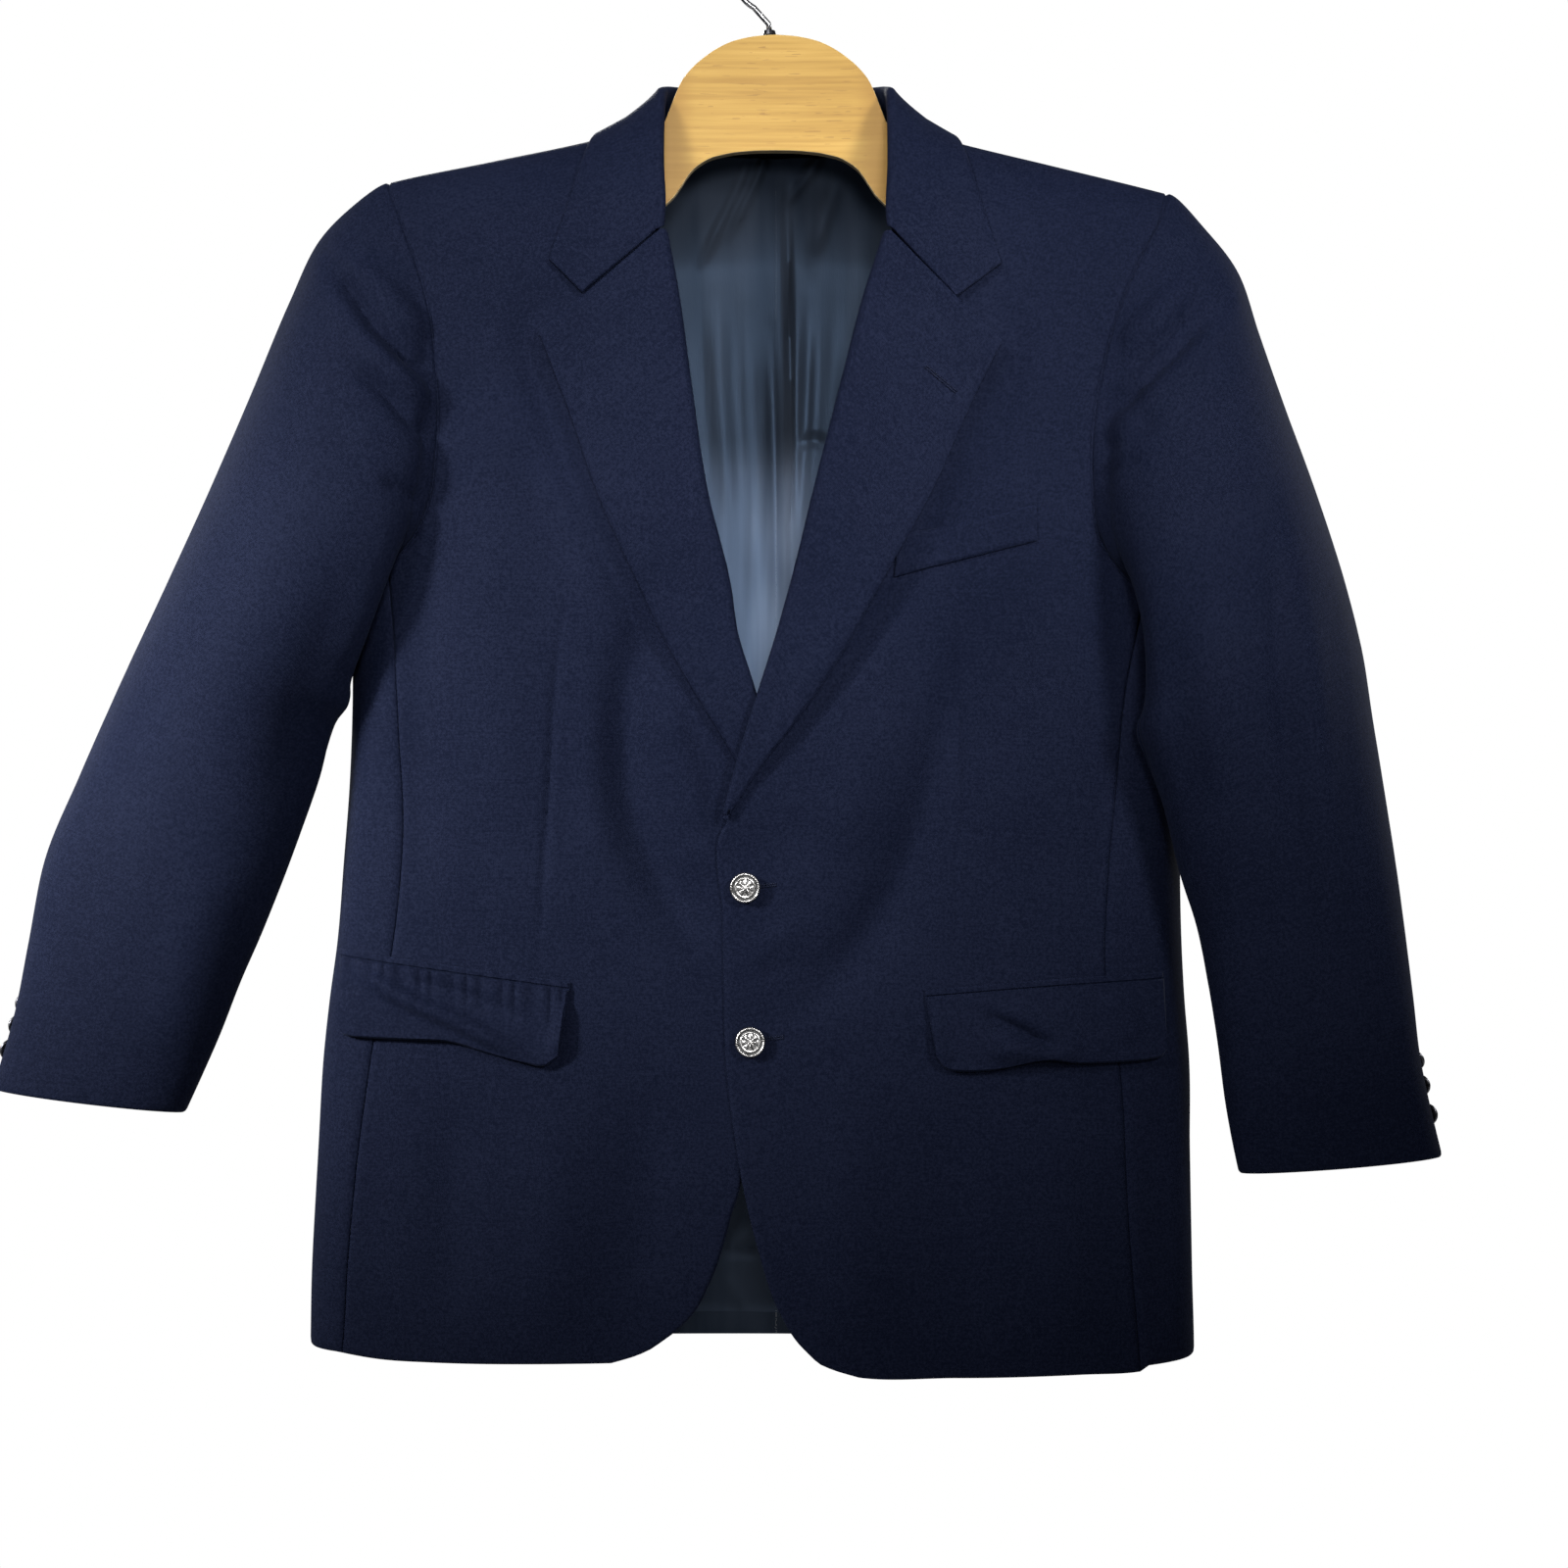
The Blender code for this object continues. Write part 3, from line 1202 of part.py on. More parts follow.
def build_half(wearer, collection, wool, lining, metal):
    """All the pieces on one side. The wearer's right is at -X, and lies underneath."""
    is_left = wearer == "left"
    side = 1 if is_left else -1
    hole_front, hole_back = armhole(
        ARMHOLE_FRONT_LEFT if is_left else ARMHOLE_FRONT_RIGHT,
        ARMHOLE_BACK_LEFT if is_left else ARMHOLE_BACK_RIGHT,
    )
    front_seam = seam_line(SIDE_SEAM_LEFT if is_left else SIDE_SEAM_RIGHT, hole_front[FRONT_JUNCTION])
    back_seam = seam_line(BACK_SEAM_LEFT if is_left else BACK_SEAM_RIGHT, hole_back[BACK_JUNCTION])
    edge_table = FRONT_EDGE_LEFT if is_left else FRONT_EDGE_RIGHT
    roll_table = ROLL_LEFT if is_left else ROLL_RIGHT
    hem_table = HEM_LEFT if is_left else HEM_RIGHT

    front = front_grid(side, is_left, edge_table, roll_table, hem_table, front_seam, hole_front)
    sheet(f"front_{wearer}", trimmed(front), (0, -1, 0), wool, collection)
    back_map = back_grid(side, back_seam, hole_back)
    back = back_points(back_map)
    sheet(f"back_{wearer}", trimmed(back), (0, 1, 0), wool, collection)
    under = side_grid(front_seam, back_seam, hole_front, hole_back)
    rows = len(SEAM_ROWS)
    under = fit_edges(under, front[:rows, -1], back[:rows, -1])
    sheet(f"side_{wearer}", trimmed(under), (side, 0, 0), wool, collection)

    map_of_lining = lining_map(back_map)
    inside = np.full(len(map_of_lining), THIN_CLOTH + LINING_ROOM)
    inside[0] = THIN_CLOTH + LINING_HEM_ROOM
    inside[-1] += LINING_TOP_ROOM
    lining_points = back_points(map_of_lining, inside)
    sheet(f"lining_{wearer}", trimmed(lining_points), (0, 1, 0), lining, collection, THIN_CLOTH)

    rings = sleeve_rings(SLEEVE_LEFT if is_left else SLEEVE_RIGHT, hole_front, hole_back)
    count = rings.shape[1]
    halves = (("topsleeve", TOPSLEEVE_FROM, TOPSLEEVE_TO), ("undersleeve", TOPSLEEVE_TO, TOPSLEEVE_FROM + count))
    outer_rings = outside_of(rings)
    for name, start, end in halves:
        rooms = [SLEEVE_SEAM_ROOM if r < SLEEVE_SOFT_RINGS else SEAM for r in range(len(rings))]
        inner = trimmed(sleeve_half(rings, start, end), rows=(False, False), rooms=rooms)
        outer = trimmed(sleeve_half(outer_rings, start, end), rows=(False, False), rooms=rooms)
        wall_between(f"{name}_{wearer}", inner, outer, wool, collection)
    heights = CUFF_BUTTONS_LEFT if is_left else CUFF_BUTTONS_RIGHT
    for number, height in enumerate(heights, 1):
        cuff_button(f"cuff_button_{wearer}_{number}", outer_rings, height, metal, collection)

    edges = LAPEL_EDGE_LEFT if is_left else LAPEL_EDGE_RIGHT
    lapel = lapel_grid(side, is_left, roll_table, edges)
    sheet(f"lapel_{wearer}", trimmed(lapel), (0, -1, 0), wool, collection)

    flap_top = FLAP_LEFT_TOP if is_left else FLAP_RIGHT_TOP
    flap_bottom = FLAP_LEFT_BOTTOM if is_left else FLAP_RIGHT_BOTTOM
    flap = patch(flap_top, flap_bottom, 13, 4, FLAP_LIFT_TOP, FLAP_LIFT_BOTTOM)
    sheet(f"pocket_flap_{wearer}", flap, (0, -1, 0), wool, collection)
    low, high = jet_lines(flap_top)
    jet = patch(high, low, 13, 2, FLAP_LIFT_TOP, FLAP_LIFT_TOP)
    sheet(f"pocket_jet_{wearer}", jet, (0, -1, 0), wool, collection, THIN_CLOTH)


def build():
    clear_scene()
    collection = bpy.data.collections.new("blazer_on_hanger")
    bpy.context.scene.collection.children.link(collection)
    wool = finish("navy_wool", NAVY, 0.9)
    lining = finish("navy_lining", NAVY_LINING, 0.45)
    metal = finish("button_metal", METAL, 0.3, 1.0)
    for wearer in ("right", "left"):
        build_half(wearer, collection, wool, lining, metal)
    sheet("collar", trimmed(collar_grid()), (0, 1, 0), wool, collection)
    welt = patch(WELT_TOP, WELT_BOTTOM, 6, 3, WELT_LIFT, WELT_LIFT)
    sheet("breast_welt", welt, (0, -1, 0), wool, collection)
    front_button("front_button_upper", FRONT_BUTTONS[0], metal, collection)
    front_button("front_button_lower", FRONT_BUTTONS[1], metal, collection)
    build_hanger(collection)


build()
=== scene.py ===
"""The fine look of a navy wool blazer on a bent-wood hanger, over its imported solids.

The cloth is laid on the same form as the solids, from the same tables, on grids 2 to 6 millimetres apart,
with the folds, seams and sewing that the solids leave out. Sizes are in millimetres, apart from those of
the lights, the floor, the cuts and the material nodes, which are in metres. X runs to the viewer's right,
Y away from the viewer and Z up. The origin is the inside top of the hook.
"left" and "right" in the names of pieces are the wearer's. The wearer's right is at -X.
"""

import json
import math

import bmesh
import bpy
import numpy as np
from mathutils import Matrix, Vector

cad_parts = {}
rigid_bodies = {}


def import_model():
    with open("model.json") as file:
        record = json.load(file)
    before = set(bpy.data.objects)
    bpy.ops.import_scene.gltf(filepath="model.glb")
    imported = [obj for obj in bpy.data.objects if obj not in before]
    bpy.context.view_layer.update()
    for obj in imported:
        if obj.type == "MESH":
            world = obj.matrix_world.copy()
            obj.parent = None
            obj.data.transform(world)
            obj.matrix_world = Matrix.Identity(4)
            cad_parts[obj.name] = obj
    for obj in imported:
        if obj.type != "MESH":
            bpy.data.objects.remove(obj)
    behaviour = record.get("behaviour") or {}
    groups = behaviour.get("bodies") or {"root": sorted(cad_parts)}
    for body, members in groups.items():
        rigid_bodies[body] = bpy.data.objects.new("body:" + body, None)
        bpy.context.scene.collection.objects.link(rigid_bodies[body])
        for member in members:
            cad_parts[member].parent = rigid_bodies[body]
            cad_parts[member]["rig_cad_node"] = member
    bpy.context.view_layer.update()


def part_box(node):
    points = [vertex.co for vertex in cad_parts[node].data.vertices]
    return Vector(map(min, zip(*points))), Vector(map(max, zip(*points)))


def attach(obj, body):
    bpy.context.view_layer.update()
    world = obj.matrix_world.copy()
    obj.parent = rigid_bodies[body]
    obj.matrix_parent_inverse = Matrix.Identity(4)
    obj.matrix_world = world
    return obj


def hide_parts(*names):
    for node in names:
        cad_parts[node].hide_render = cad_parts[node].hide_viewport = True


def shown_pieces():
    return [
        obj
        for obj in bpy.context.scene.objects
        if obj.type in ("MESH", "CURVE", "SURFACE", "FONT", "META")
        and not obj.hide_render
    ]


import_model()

# ---------------------------------------------------------------- driving sizes, in millimetres

MM = 0.001
CLOTH = 2.0  # wall of a shell piece
THIN_CLOTH = 1.2  # wall of the lining and of the pocket jets
LINING_ROOM = 1.8  # between the lining and the inside of the back
LINING_HEM_ROOM = 0.5  # where it is sewn down
LINING_TOP_ROOM = 2.4  # more at its top, where the neckline curves
LINING_BELOW_NECK = 3.0
LINING_BELOW_SHOULDER = 28.0  # clear of the hanger
SEAM = 0.02  # room between two pieces at a seam, whose rolled edges make its groove
NECK_MIDDLE = 4.3  # the middle of the neck, across
SHOULDER_ROUND = 90.0  # how far down the cloth takes to round over from the shoulder line
ROUNDNESS = 2.3  # 2 is an ellipse, more is a boxier section
RIDGE_SWEEP = 30.0  # how far forward the shoulder tips lie of the neck
RIDGE_REACH = 250.0
RIDGE_BACK = 10.0

# The inside of the cloth at each height: sides across, and depths before and behind the ridge.
BODY = (  # height, left side, right side, front depth, back depth
    (-940, -295, 274, 60, 49),
    (-880, -294, 273, 60, 48),
    (-780, -289, 271, 58, 46),
    (-726, -286, 270, 58, 45),
    (-688, -282, 267, 58, 44),
    (-650, -277, 265, 58, 44),
    (-600, -273, 264, 60, 45),
    (-550, -269, 265, 64, 49),
    (-500, -267, 267, 68, 54),
    (-440, -267, 269, 71, 59),
    (-400, -268, 272, 72, 61),
    (-340, -276, 280, 70, 62),
    (-260, -285, 288, 65, 60),
    (-180, -289, 292, 56, 53),
    (-100, -290, 294, 50, 49),
)
SHOULDER = (  # across, height of the inside of the shoulder line
    (-300, -183),
    (-245, -163),
    (-180, -146.5),
    (-111, -129.7),
    (-80, -121),
    (-40, -111),
    (4, -106),
    (48, -111),
    (88, -122),
    (118, -131),
    (180, -148),
    (256, -170),
    (300, -184),
)

HEM_RIGHT = ((-300, -908), (-274, -912), (-250, -915), (-215, -916.5), (-127, -916.5), (-90, -916),
             (-40, -914))
HEM_LEFT = ((0, -917), (37, -921), (47, -923.5), (119, -926), (198, -924.8), (243, -923.5), (280, -914))
HEM_BACK = ((-300, -905), (-200, -914), (4, -918), (200, -916), (280, -909))

# Edges of the fronts, from the hem up to where the lapel starts to turn.
FRONT_EDGE_RIGHT = (  # height, across: the lower layer
    (-916.3, -100),
    (-911, -82),
    (-903, -68),
    (-891, -53),
    (-865, -37),
    (-846, -30),
    (-824, -24),
    (-810, -19.5),
    (-766, -12.5),
    (-700, -5),
    (-640, 0),
    (-600, 4),
    (-570, 6),
)
FRONT_EDGE_LEFT = (  # height, across: the upper layer, which laps over
    (-922.8, 57),
    (-917, 37.5),
    (-907, 24),
    (-883, 7),
    (-848, -5.5),
    (-811, -15),
    (-771, -22),
    (-730, -27),
    (-673, -29),
    (-631, -29.5),
    (-589, -33),
    (-573, -31),
)
ROLL_RIGHT = (  # height, across, turn: where the lapel folds, seen from the front, and its inner radius
    (-562, 7, 0.9),
    (-530, 3.5, 0.9),
    (-484, -10, 1.2),
    (-455, -19, 1.8),
    (-425, -23.5, 2.4),
    (-363, -38.5, 3.2),
    (-300, -48, 3.4),
    (-234, -57.3, 3.2),
    (-197, -64.3, 2.4),
)
ROLL_LEFT = (
    (-568, -29.5, 1.2),
    (-549, -24.5, 1.4),
    (-494, -8, 2.0),
    (-466, 1, 2.4),
    (-425, 12.7, 3.2),
    (-357, 29.5, 3.8),
    (-289, 46.8, 4.0),
    (-240, 59.5, 3.4),
    (-198, 72.9, 2.4),
)
LAPEL_EDGE_RIGHT = (  # height, across, lift: the free edge, and how far it stands off the front
    (-566, -1, 1.0),
    (-552, -12, 1.0),
    (-533.5, -21, 1.0),
    (-473, -56, 1.4),
    (-425, -79.7, 2.0),
    (-363, -107.5, 2.4),
    (-307, -127.4, 2.4),
    (-264, -144, 2.2),
)
LAPEL_EDGE_LEFT = (
    (-571, -28, 1.8),
    (-546.5, -12, 1.9),
    (-501, 22, 3.6),
    (-462, 47.4, 5.2),
    (-425, 68.5, 6.0),
    (-363, 103.2, 6.0),
    (-310, 127, 5.0),
    (-270, 146.5, 3.4),
)
NOTCH_RIGHT = (-117.8, -240.1)
NOTCH_LEFT = (118.4, -242.6)
COLLAR_POINT_RIGHT = (-139.0, -217.0)
COLLAR_POINT_LEFT = (146.9, -219.6)

# Seams between front and underarm panel, and between that and the back, from the hem up.
SIDE_SEAM_RIGHT = ((-912, -272), (-786, -261), (-715, -252), (-656, -240), (-568, -233), (-524, -235),
                   (-458, -238))
SIDE_SEAM_LEFT = ((-921, 237), (-827, 229), (-736, 224), (-665, 214), (-611, 216), (-543, 222), (-496, 226))
BACK_SEAM_RIGHT = ((-907, -228), (-780, -214), (-650, -203), (-560, -205), (-450, -214))
BACK_SEAM_LEFT = ((-911, 212), (-780, 202), (-650, 196), (-560, 199), (-450, 210))

# The armhole, from the shoulder tip down to the armpit. The last row is the side of the body.
ARMHOLE_FRONT_RIGHT = ((-245, -163), (-235, -190), (-223, -221), (-214, -254), (-209, -306), (-210, -339),
                       (-215, -372), (-229, -398), (-250, -412), (-267.6, -418))
ARMHOLE_BACK_RIGHT = ((-245, -163), (-238, -200), (-229, -250), (-224, -300), (-225, -345), (-235, -385),
                      (-252, -408), (-267.6, -418))
ARMHOLE_FRONT_LEFT = ((256, -170), (247, -195), (236, -215), (223, -245), (213, -278), (205, -320),
                      (204, -360),
                      (210, -397), (230, -421), (252, -430), (269.4, -433))
ARMHOLE_BACK_LEFT = ((256, -170), (247, -210), (236, -260), (229, -310), (229, -355), (238, -398),
                     (254, -423), (269.4, -433))

# Rings of the sleeves, from the armhole down: the two ends of each ring as seen from the front, its middle
# in depth, its depth before and behind, how far its inner end lies forward, and how much of the armhole's
# own shape it keeps.
# Columns: outer across, outer height, inner across, inner height, middle, before, behind, forward, armhole.
SLEEVE_RIGHT = (
    (-245, -161, -267.6, -418, -14, 46, 46, 0, 1.0),
    (-264, -173.5, -257, -440, -17, 52, 50, 12, 0.80),
    (-288, -198, -252, -456, -19, 56, 50, 18, 0.58),
    (-307, -237, -251, -469, -20, 58, 49, 21, 0.36),
    (-333.5, -299.5, -254, -481, -21, 57, 47, 21, 0.18),
    (-364, -368.5, -260, -491, -22, 53, 45, 19, 0.06),
    (-389.5, -423.5, -268, -500, -23, 50, 42, 15, 0.0),
    (-406.5, -460, -278, -511, -24, 47, 40, 12, 0.0),
    (-426, -503.5, -288.5, -547, -26, 43, 37, 10, 0.0),
    (-444, -546, -305, -594.5, -29, 39, 34, 9, 0.0),
    (-464.7, -599, -323.5, -642.7, -33, 35, 31, 8, 0.0),
    (-474, -650, -337.4, -675.7, -36, 31, 28, 8, 0.0),
    (-482, -694.7, -350, -709, -39, 28, 25, 8, 0.0),
    (-489.4, -723, -361.5, -736, -41, 25, 23, 8, 0.0),
    (-495.7, -743.4, -371, -757.3, -42, 23, 21, 8, 0.0),
)
SLEEVE_LEFT = (
    (256, -168, 269.4, -433, -14, 46, 46, 0, 1.0),
    (278.7, -190, 258, -450, -18, 53, 49, 18, 0.80),
    (300, -219, 247, -464, -22, 58, 48, 28, 0.58),
    (313, -257.7, 239, -477, -25, 60, 47, 34, 0.36),
    (329, -303, 233, -490, -27, 58, 45, 38, 0.18),
    (349.7, -359, 229, -503, -29, 54, 43, 40, 0.06),
    (369, -418.5, 232, -518, -31, 50, 41, 39, 0.0),
    (379.4, -460, 239, -536, -32, 47, 39, 35, 0.0),
    (386.4, -506, 249.5, -565, -34, 43, 36, 28, 0.0),
    (393.4, -552, 260.5, -606, -37, 39, 33, 20, 0.0),
    (400.3, -599.7, 272.5, -642, -40, 35, 30, 14, 0.0),
    (405.4, -641, 279, -677, -43, 32, 28, 12, 0.0),
    (410, -682, 284.3, -712, -46, 29, 25, 10, 0.0),
    (415, -726.3, 289, -750, -48, 26, 23, 9, 0.0),
    (422.5, -762, 294, -778, -49, 24, 21, 8, 0.0),
    (428, -785.5, 297.5, -795, -50, 23, 21, 8, 0.0),
)
SLEEVE_CLEAR = 6.6  # from the inside of the body's cloth to the inside of the sleeve's
SLEEVE_EASE = 3.0  # and more than that below the armpit
ELBOW_SEAM = (-97.0, -42.0)  # turn round the sleeve from its outer edge, at the armhole and at the cuff
FOREARM_SEAM = (166.0, 202.0)

# Places along half the armhole, from tip to armpit: those of the sleeves' rings, and those of the panels.
SLEEVE_STEPS = (0, 0.02, 0.08, 0.16, 0.25, 0.34, 0.43, 0.52, 0.61, 0.70, 0.78, 0.86, 0.93, 1.0)
BACK_JUNCTION = 45  # the step where the back's seam meets the armhole
FRONT_JUNCTION = 55
ARMHOLE_STEPS = np.concatenate((np.linspace(0, 0.70, BACK_JUNCTION + 1)[:-1],
                                np.linspace(0.70, 0.86, 11)[:-1],
                                np.linspace(0.86, 1.0, 10)))
SEAM_ROWS = np.linspace(0, 1, 118)
STEP = 2.8  # between the points of the sleeves' grids

# The collar's three lines: the neck seam, the fold and the free edge, from the front round to the back.
COLLAR_NECK = (  # from the middle, round the shoulder: before it below zero, behind it above
    (74.5, -127),
    (78.5, -90),
    (82, -53),
    (84, 0),
    (76, 30),
    (60, 45),
    (36, 57),
    (0, 64),
)
COLLAR_FOLD = (  # from the middle, depth, height
    (72.6, -54.5, -194.5),
    (73.5, -42, -152),
    (73.8, -23, -119),
    (73.2, -6, -102),
    (71, 10, -95.5),
    (60, 27, -92),
    (36, 38, -90.5),
    (0, 43, -90),
)
COLLAR_EDGE = (  # from the middle, round the shoulder
    (143.5, -131),
    (131.5, -97),
    (121.5, -47),
    (114, 0),
    (102, 45),
    (77, 66),
    (42, 80),
    (0, 86),
)
COLLAR_TURN = 2.0  # inner radius of its fold
COLLAR_SEAT = 3.3  # from the inside of the body's cloth to the foot of its stand
COLLAR_LIFT = 4.0  # from the inside of the body's cloth to the underside of the fall

# Pocket flaps: the corners of each outline, as across and height.
FLAP_RIGHT_TOP = ((-273, -659), (-200, -669), (-126, -679))
FLAP_RIGHT_BOTTOM = ((-272, -705), (-265, -710), (-229, -711.5), (-203, -712.5), (-182, -718),
                     (-154.5, -725.5),
                     (-142, -727.5), (-133, -721))
FLAP_LEFT_TOP = ((99, -684), (175, -678), (251, -673.5))
FLAP_LEFT_BOTTOM = ((106, -722), (115, -730.5), (141, -730.5), (173, -724), (200, -726.5), (243, -724.5),
                    (252, -719))
FLAP_LIFT_TOP = 1.15  # between the outside of the front and the underside of the flap
FLAP_LIFT_BOTTOM = 3.5
JET_HEIGHT = 4.5

WELT_TOP = ((82, -391.5), (125, -384), (168.5, -372.8))
WELT_BOTTOM = ((79, -418), (125, -406.5), (168.5, -395.7))
WELT_LIFT = 0.7

FRONT_BUTTONS = ((-15.1, -614.5), (-12.0, -712.8))  # across, height
FRONT_BUTTON = (9.7, 0.9, 0.3, 96)  # radius, thread under its foot and into it, points round it
CUFF_BUTTON = (7.2, 0.5, 0.2, 48)

# The hanger: one bent plate, its upper and lower edge from the middle outward.
WOOD = 9.5
WOOD_MIDDLE = 4.0
WOOD_EDGES = (  # from the middle, upper edge, lower edge, both as heights
    (0, -58, -134),
    (16, -59.5, -134.5),
    (32, -64, -136.5),
    (46, -72.5, -141),
    (56, -81.5, -149),
    (62, -89.5, -158),
    (66, -98.5, -164),
    (70, -109, -168),
    (74, -118.5, -172),
    (80, -123.5, -177),
)
WOOD_TIP = 206.0  # half its length
WOOD_TIP_DEPTH = 30.0  # of the arm at its end
WOOD_ROUND = 3.0  # along all its edges
WOOD_SEAT = 0.7  # between the arm and the cloth that it carries
HOOK_WIRE = 3.6
HOOK_RADIUS = 20.0  # inside the bend
HOOK_FOOT = -60.0
FERRULE_HEIGHT = 3.0


# ---------------------------------------------------------------- curves through tables


def spline(keys, values):
    """A smooth curve through the values at rising keys, which stays at its ends past them."""
    keys = np.array(keys, float)
    values = np.array(values, float)
    slopes = np.gradient(values, keys, axis=0)

    def at(key):
        key = min(max(key, keys[0]), keys[-1])
        i = min(int(np.searchsorted(keys, key, side="right")) - 1, len(keys) - 2)
        step = keys[i + 1] - keys[i]
        t = (key - keys[i]) / step
        start = (1 + 2 * t) * (1 - t) ** 2 * values[i] + t * (1 - t) ** 2 * step * slopes[i]
        end = t * t * (3 - 2 * t) * values[i + 1] + t * t * (t - 1) * step * slopes[i + 1]
        return start + end

    return at


def by_first(table):
    """A curve of a table's other columns over its first one."""
    rows = np.array(table, float)
    rows = rows[np.argsort(rows[:, 0])]
    values = rows[:, 1:] if rows.shape[1] > 2 else rows[:, 1]
    return spline(rows[:, 0], values)


def by_row(table):
    """A curve through a table's rows, at 0 for the first and 1 for the last."""
    return spline(np.linspace(0, 1, len(table)), table)


def fade(value, start, end):
    """0 at start, 1 at end, with a soft change between them."""
    t = min(max((value - start) / (end - start), 0.0), 1.0)
    return t * t * (3 - 2 * t)


def along(points, shares):
    """Points at the given shares of a fine polyline's length."""
    points = np.array(points, float)
    steps = np.linalg.norm(np.diff(points, axis=0), axis=1)
    length = np.concatenate(([0.0], np.cumsum(steps)))
    wanted = np.array(shares, float) * length[-1]
    return np.stack([np.interp(wanted, length, points[:, k]) for k in range(points.shape[1])], axis=1)


def unit(vector):
    return vector / max(np.linalg.norm(vector), 1e-9)


# ---------------------------------------------------------------- the form that the body panels share

body_row = by_first(BODY)
shoulder = by_first(SHOULDER)
SWEEP_SHARES = ((-940, 0.45), (-600, 0.65), (-250, 1.0), (-100, 1.0))  # height, share of the sweep there
sweep_share = by_first(SWEEP_SHARES)


def middle_depth(x, z):
    """The depth of the plane between front and back, which comes forward towards the shoulder tips."""
    return (RIDGE_BACK - RIDGE_SWEEP * ((x - NECK_MIDDLE) / RIDGE_REACH) ** 2) * float(sweep_share(z))


def rounding(x, z):
    t = min(max((float(shoulder(x)) - z) / SHOULDER_ROUND, 0.0), 1.0)
    return math.sqrt(1 - (1 - t) ** 2)


def body_point(theta, z):
    """The inside of the cloth: theta is 0 in front, a quarter turn at +X and half a turn behind."""
    left, right, front, back = body_row(z)
    power = 2 / ROUNDNESS
    sine, cosine = math.sin(theta), math.cos(theta)
    x = (left + right) / 2 + (right - left) / 2 * math.copysign(abs(sine) ** power, sine)
    depth = -front if cosine > 0 else back
    y = middle_depth(x, z) + depth * abs(cosine) ** power * rounding(x, z)
    return np.array([x, y, z])


def theta_at(x, z, behind):
    left, right, _, _ = body_row(z)
    share = min(max((x - (left + right) / 2) / ((right - left) / 2), -1.0), 1.0)
    theta = math.copysign(math.asin(abs(share) ** (ROUNDNESS / 2)), share)
    return math.copysign(math.pi, share) - theta if behind else theta


def drop_of(round_way):
    """How far below the shoulder line a point lies, from its way round over the shoulder."""
    way = abs(round_way)
    quarter = SHOULDER_ROUND * math.pi / 2
    if way > quarter:
        return way - quarter + SHOULDER_ROUND
    return SHOULDER_ROUND * (1 - math.cos(way / SHOULDER_ROUND))


def way_of(drop):
    if drop > SHOULDER_ROUND:
        return drop - SHOULDER_ROUND + SHOULDER_ROUND * math.pi / 2
    return SHOULDER_ROUND * math.acos(1 - max(drop, 0.0) / SHOULDER_ROUND)


def over_shoulder(x, way):
    """A point on the body by its place across and its way over the shoulder, forward below zero."""
    z = float(shoulder(x)) - drop_of(way)
    return body_point(theta_at(x, z, way > 0), z)


def outward(x, way):
    """The direction straight out of the body there."""
    step = 0.5
    across = over_shoulder(x + step, way) - over_shoulder(x - step, way)
    around = over_shoulder(x, way + step) - over_shoulder(x, way - step)
    return unit(np.cross(across, around))


def front_way(x, z):
    return -way_of(float(shoulder(x)) - z)


def clear_of_body(point, room):
    """Moves a point that is nearer than room to the inside of the body's cloth straight out of it."""
    x, y, z = point
    left, right, front, back = body_row(z)
    behind = y > middle_depth(x, z)
    half = (right - left) / 2 + room
    depth = ((back if behind else front) + room) * max(rounding(x, z), 0.05)
    across = (x - (left + right) / 2) / half
    deep = (y - middle_depth(x, z)) / depth
    size = (abs(across) ** ROUNDNESS + abs(deep) ** ROUNDNESS) ** (1 / ROUNDNESS)
    if size >= 1 or size < 1e-6:
        return np.array(point)
    new_x = (left + right) / 2 + across / size * half
    return np.array([new_x, middle_depth(x, z) + deep / size * depth, z])


# ---------------------------------------------------------------- how the two fronts lie on each other

ROLL_ROOM = 0.7  # between a front and its lapel, inside the roll
OVERLAP_MIDDLE = -10.0
OVERLAP_REACH = (35.0, 120.0)  # from the middle: fully lapped, and no longer lapped
LOWER_LAYER = -3.0
UPPER_LAYER = -0.2
UPPER_LAYER_OVER_LAPEL = 4.2
LOWER_FRONT_RISES = (-450, -330)  # heights between which the lower front comes back to the form
OVER_LAPEL_FROM = (-600, -556)  # heights between which the upper front starts to pass over the lapel
OVER_LAPEL_TO = (-480, -420)  # and ends


def layer(x, z, upper):
    """How far a front lies outside the shared form, where it laps over or under the other."""
    near = 1 - fade(abs(x - OVERLAP_MIDDLE), *OVERLAP_REACH)
    if not upper:
        return LOWER_LAYER * near * (1 - fade(z, *LOWER_FRONT_RISES))
    over_lapel = fade(z, *OVER_LAPEL_FROM) * (1 - fade(z, *OVER_LAPEL_TO))
    return (UPPER_LAYER + UPPER_LAYER_OVER_LAPEL * over_lapel) * near


def trimmed(points, ends=True):
    """Draws a grid's side borders in by half a seam, and its first and last row too unless ends is false."""
    points = np.array(points, float)
    moves = np.zeros_like(points)
    for edge, inner in ((0, 1), (-1, -2)):
        if ends:
            way = points[inner] - points[edge]
            moves[edge] += way / np.linalg.norm(way, axis=1, keepdims=True) * SEAM / 2
        way = points[:, inner] - points[:, edge]
        moves[:, edge] += way / np.linalg.norm(way, axis=1, keepdims=True) * SEAM / 2
    return points + moves


# ---------------------------------------------------------------- armholes

ARMHOLE_POINTS = 301  # of the fine line that an armhole's points are taken from


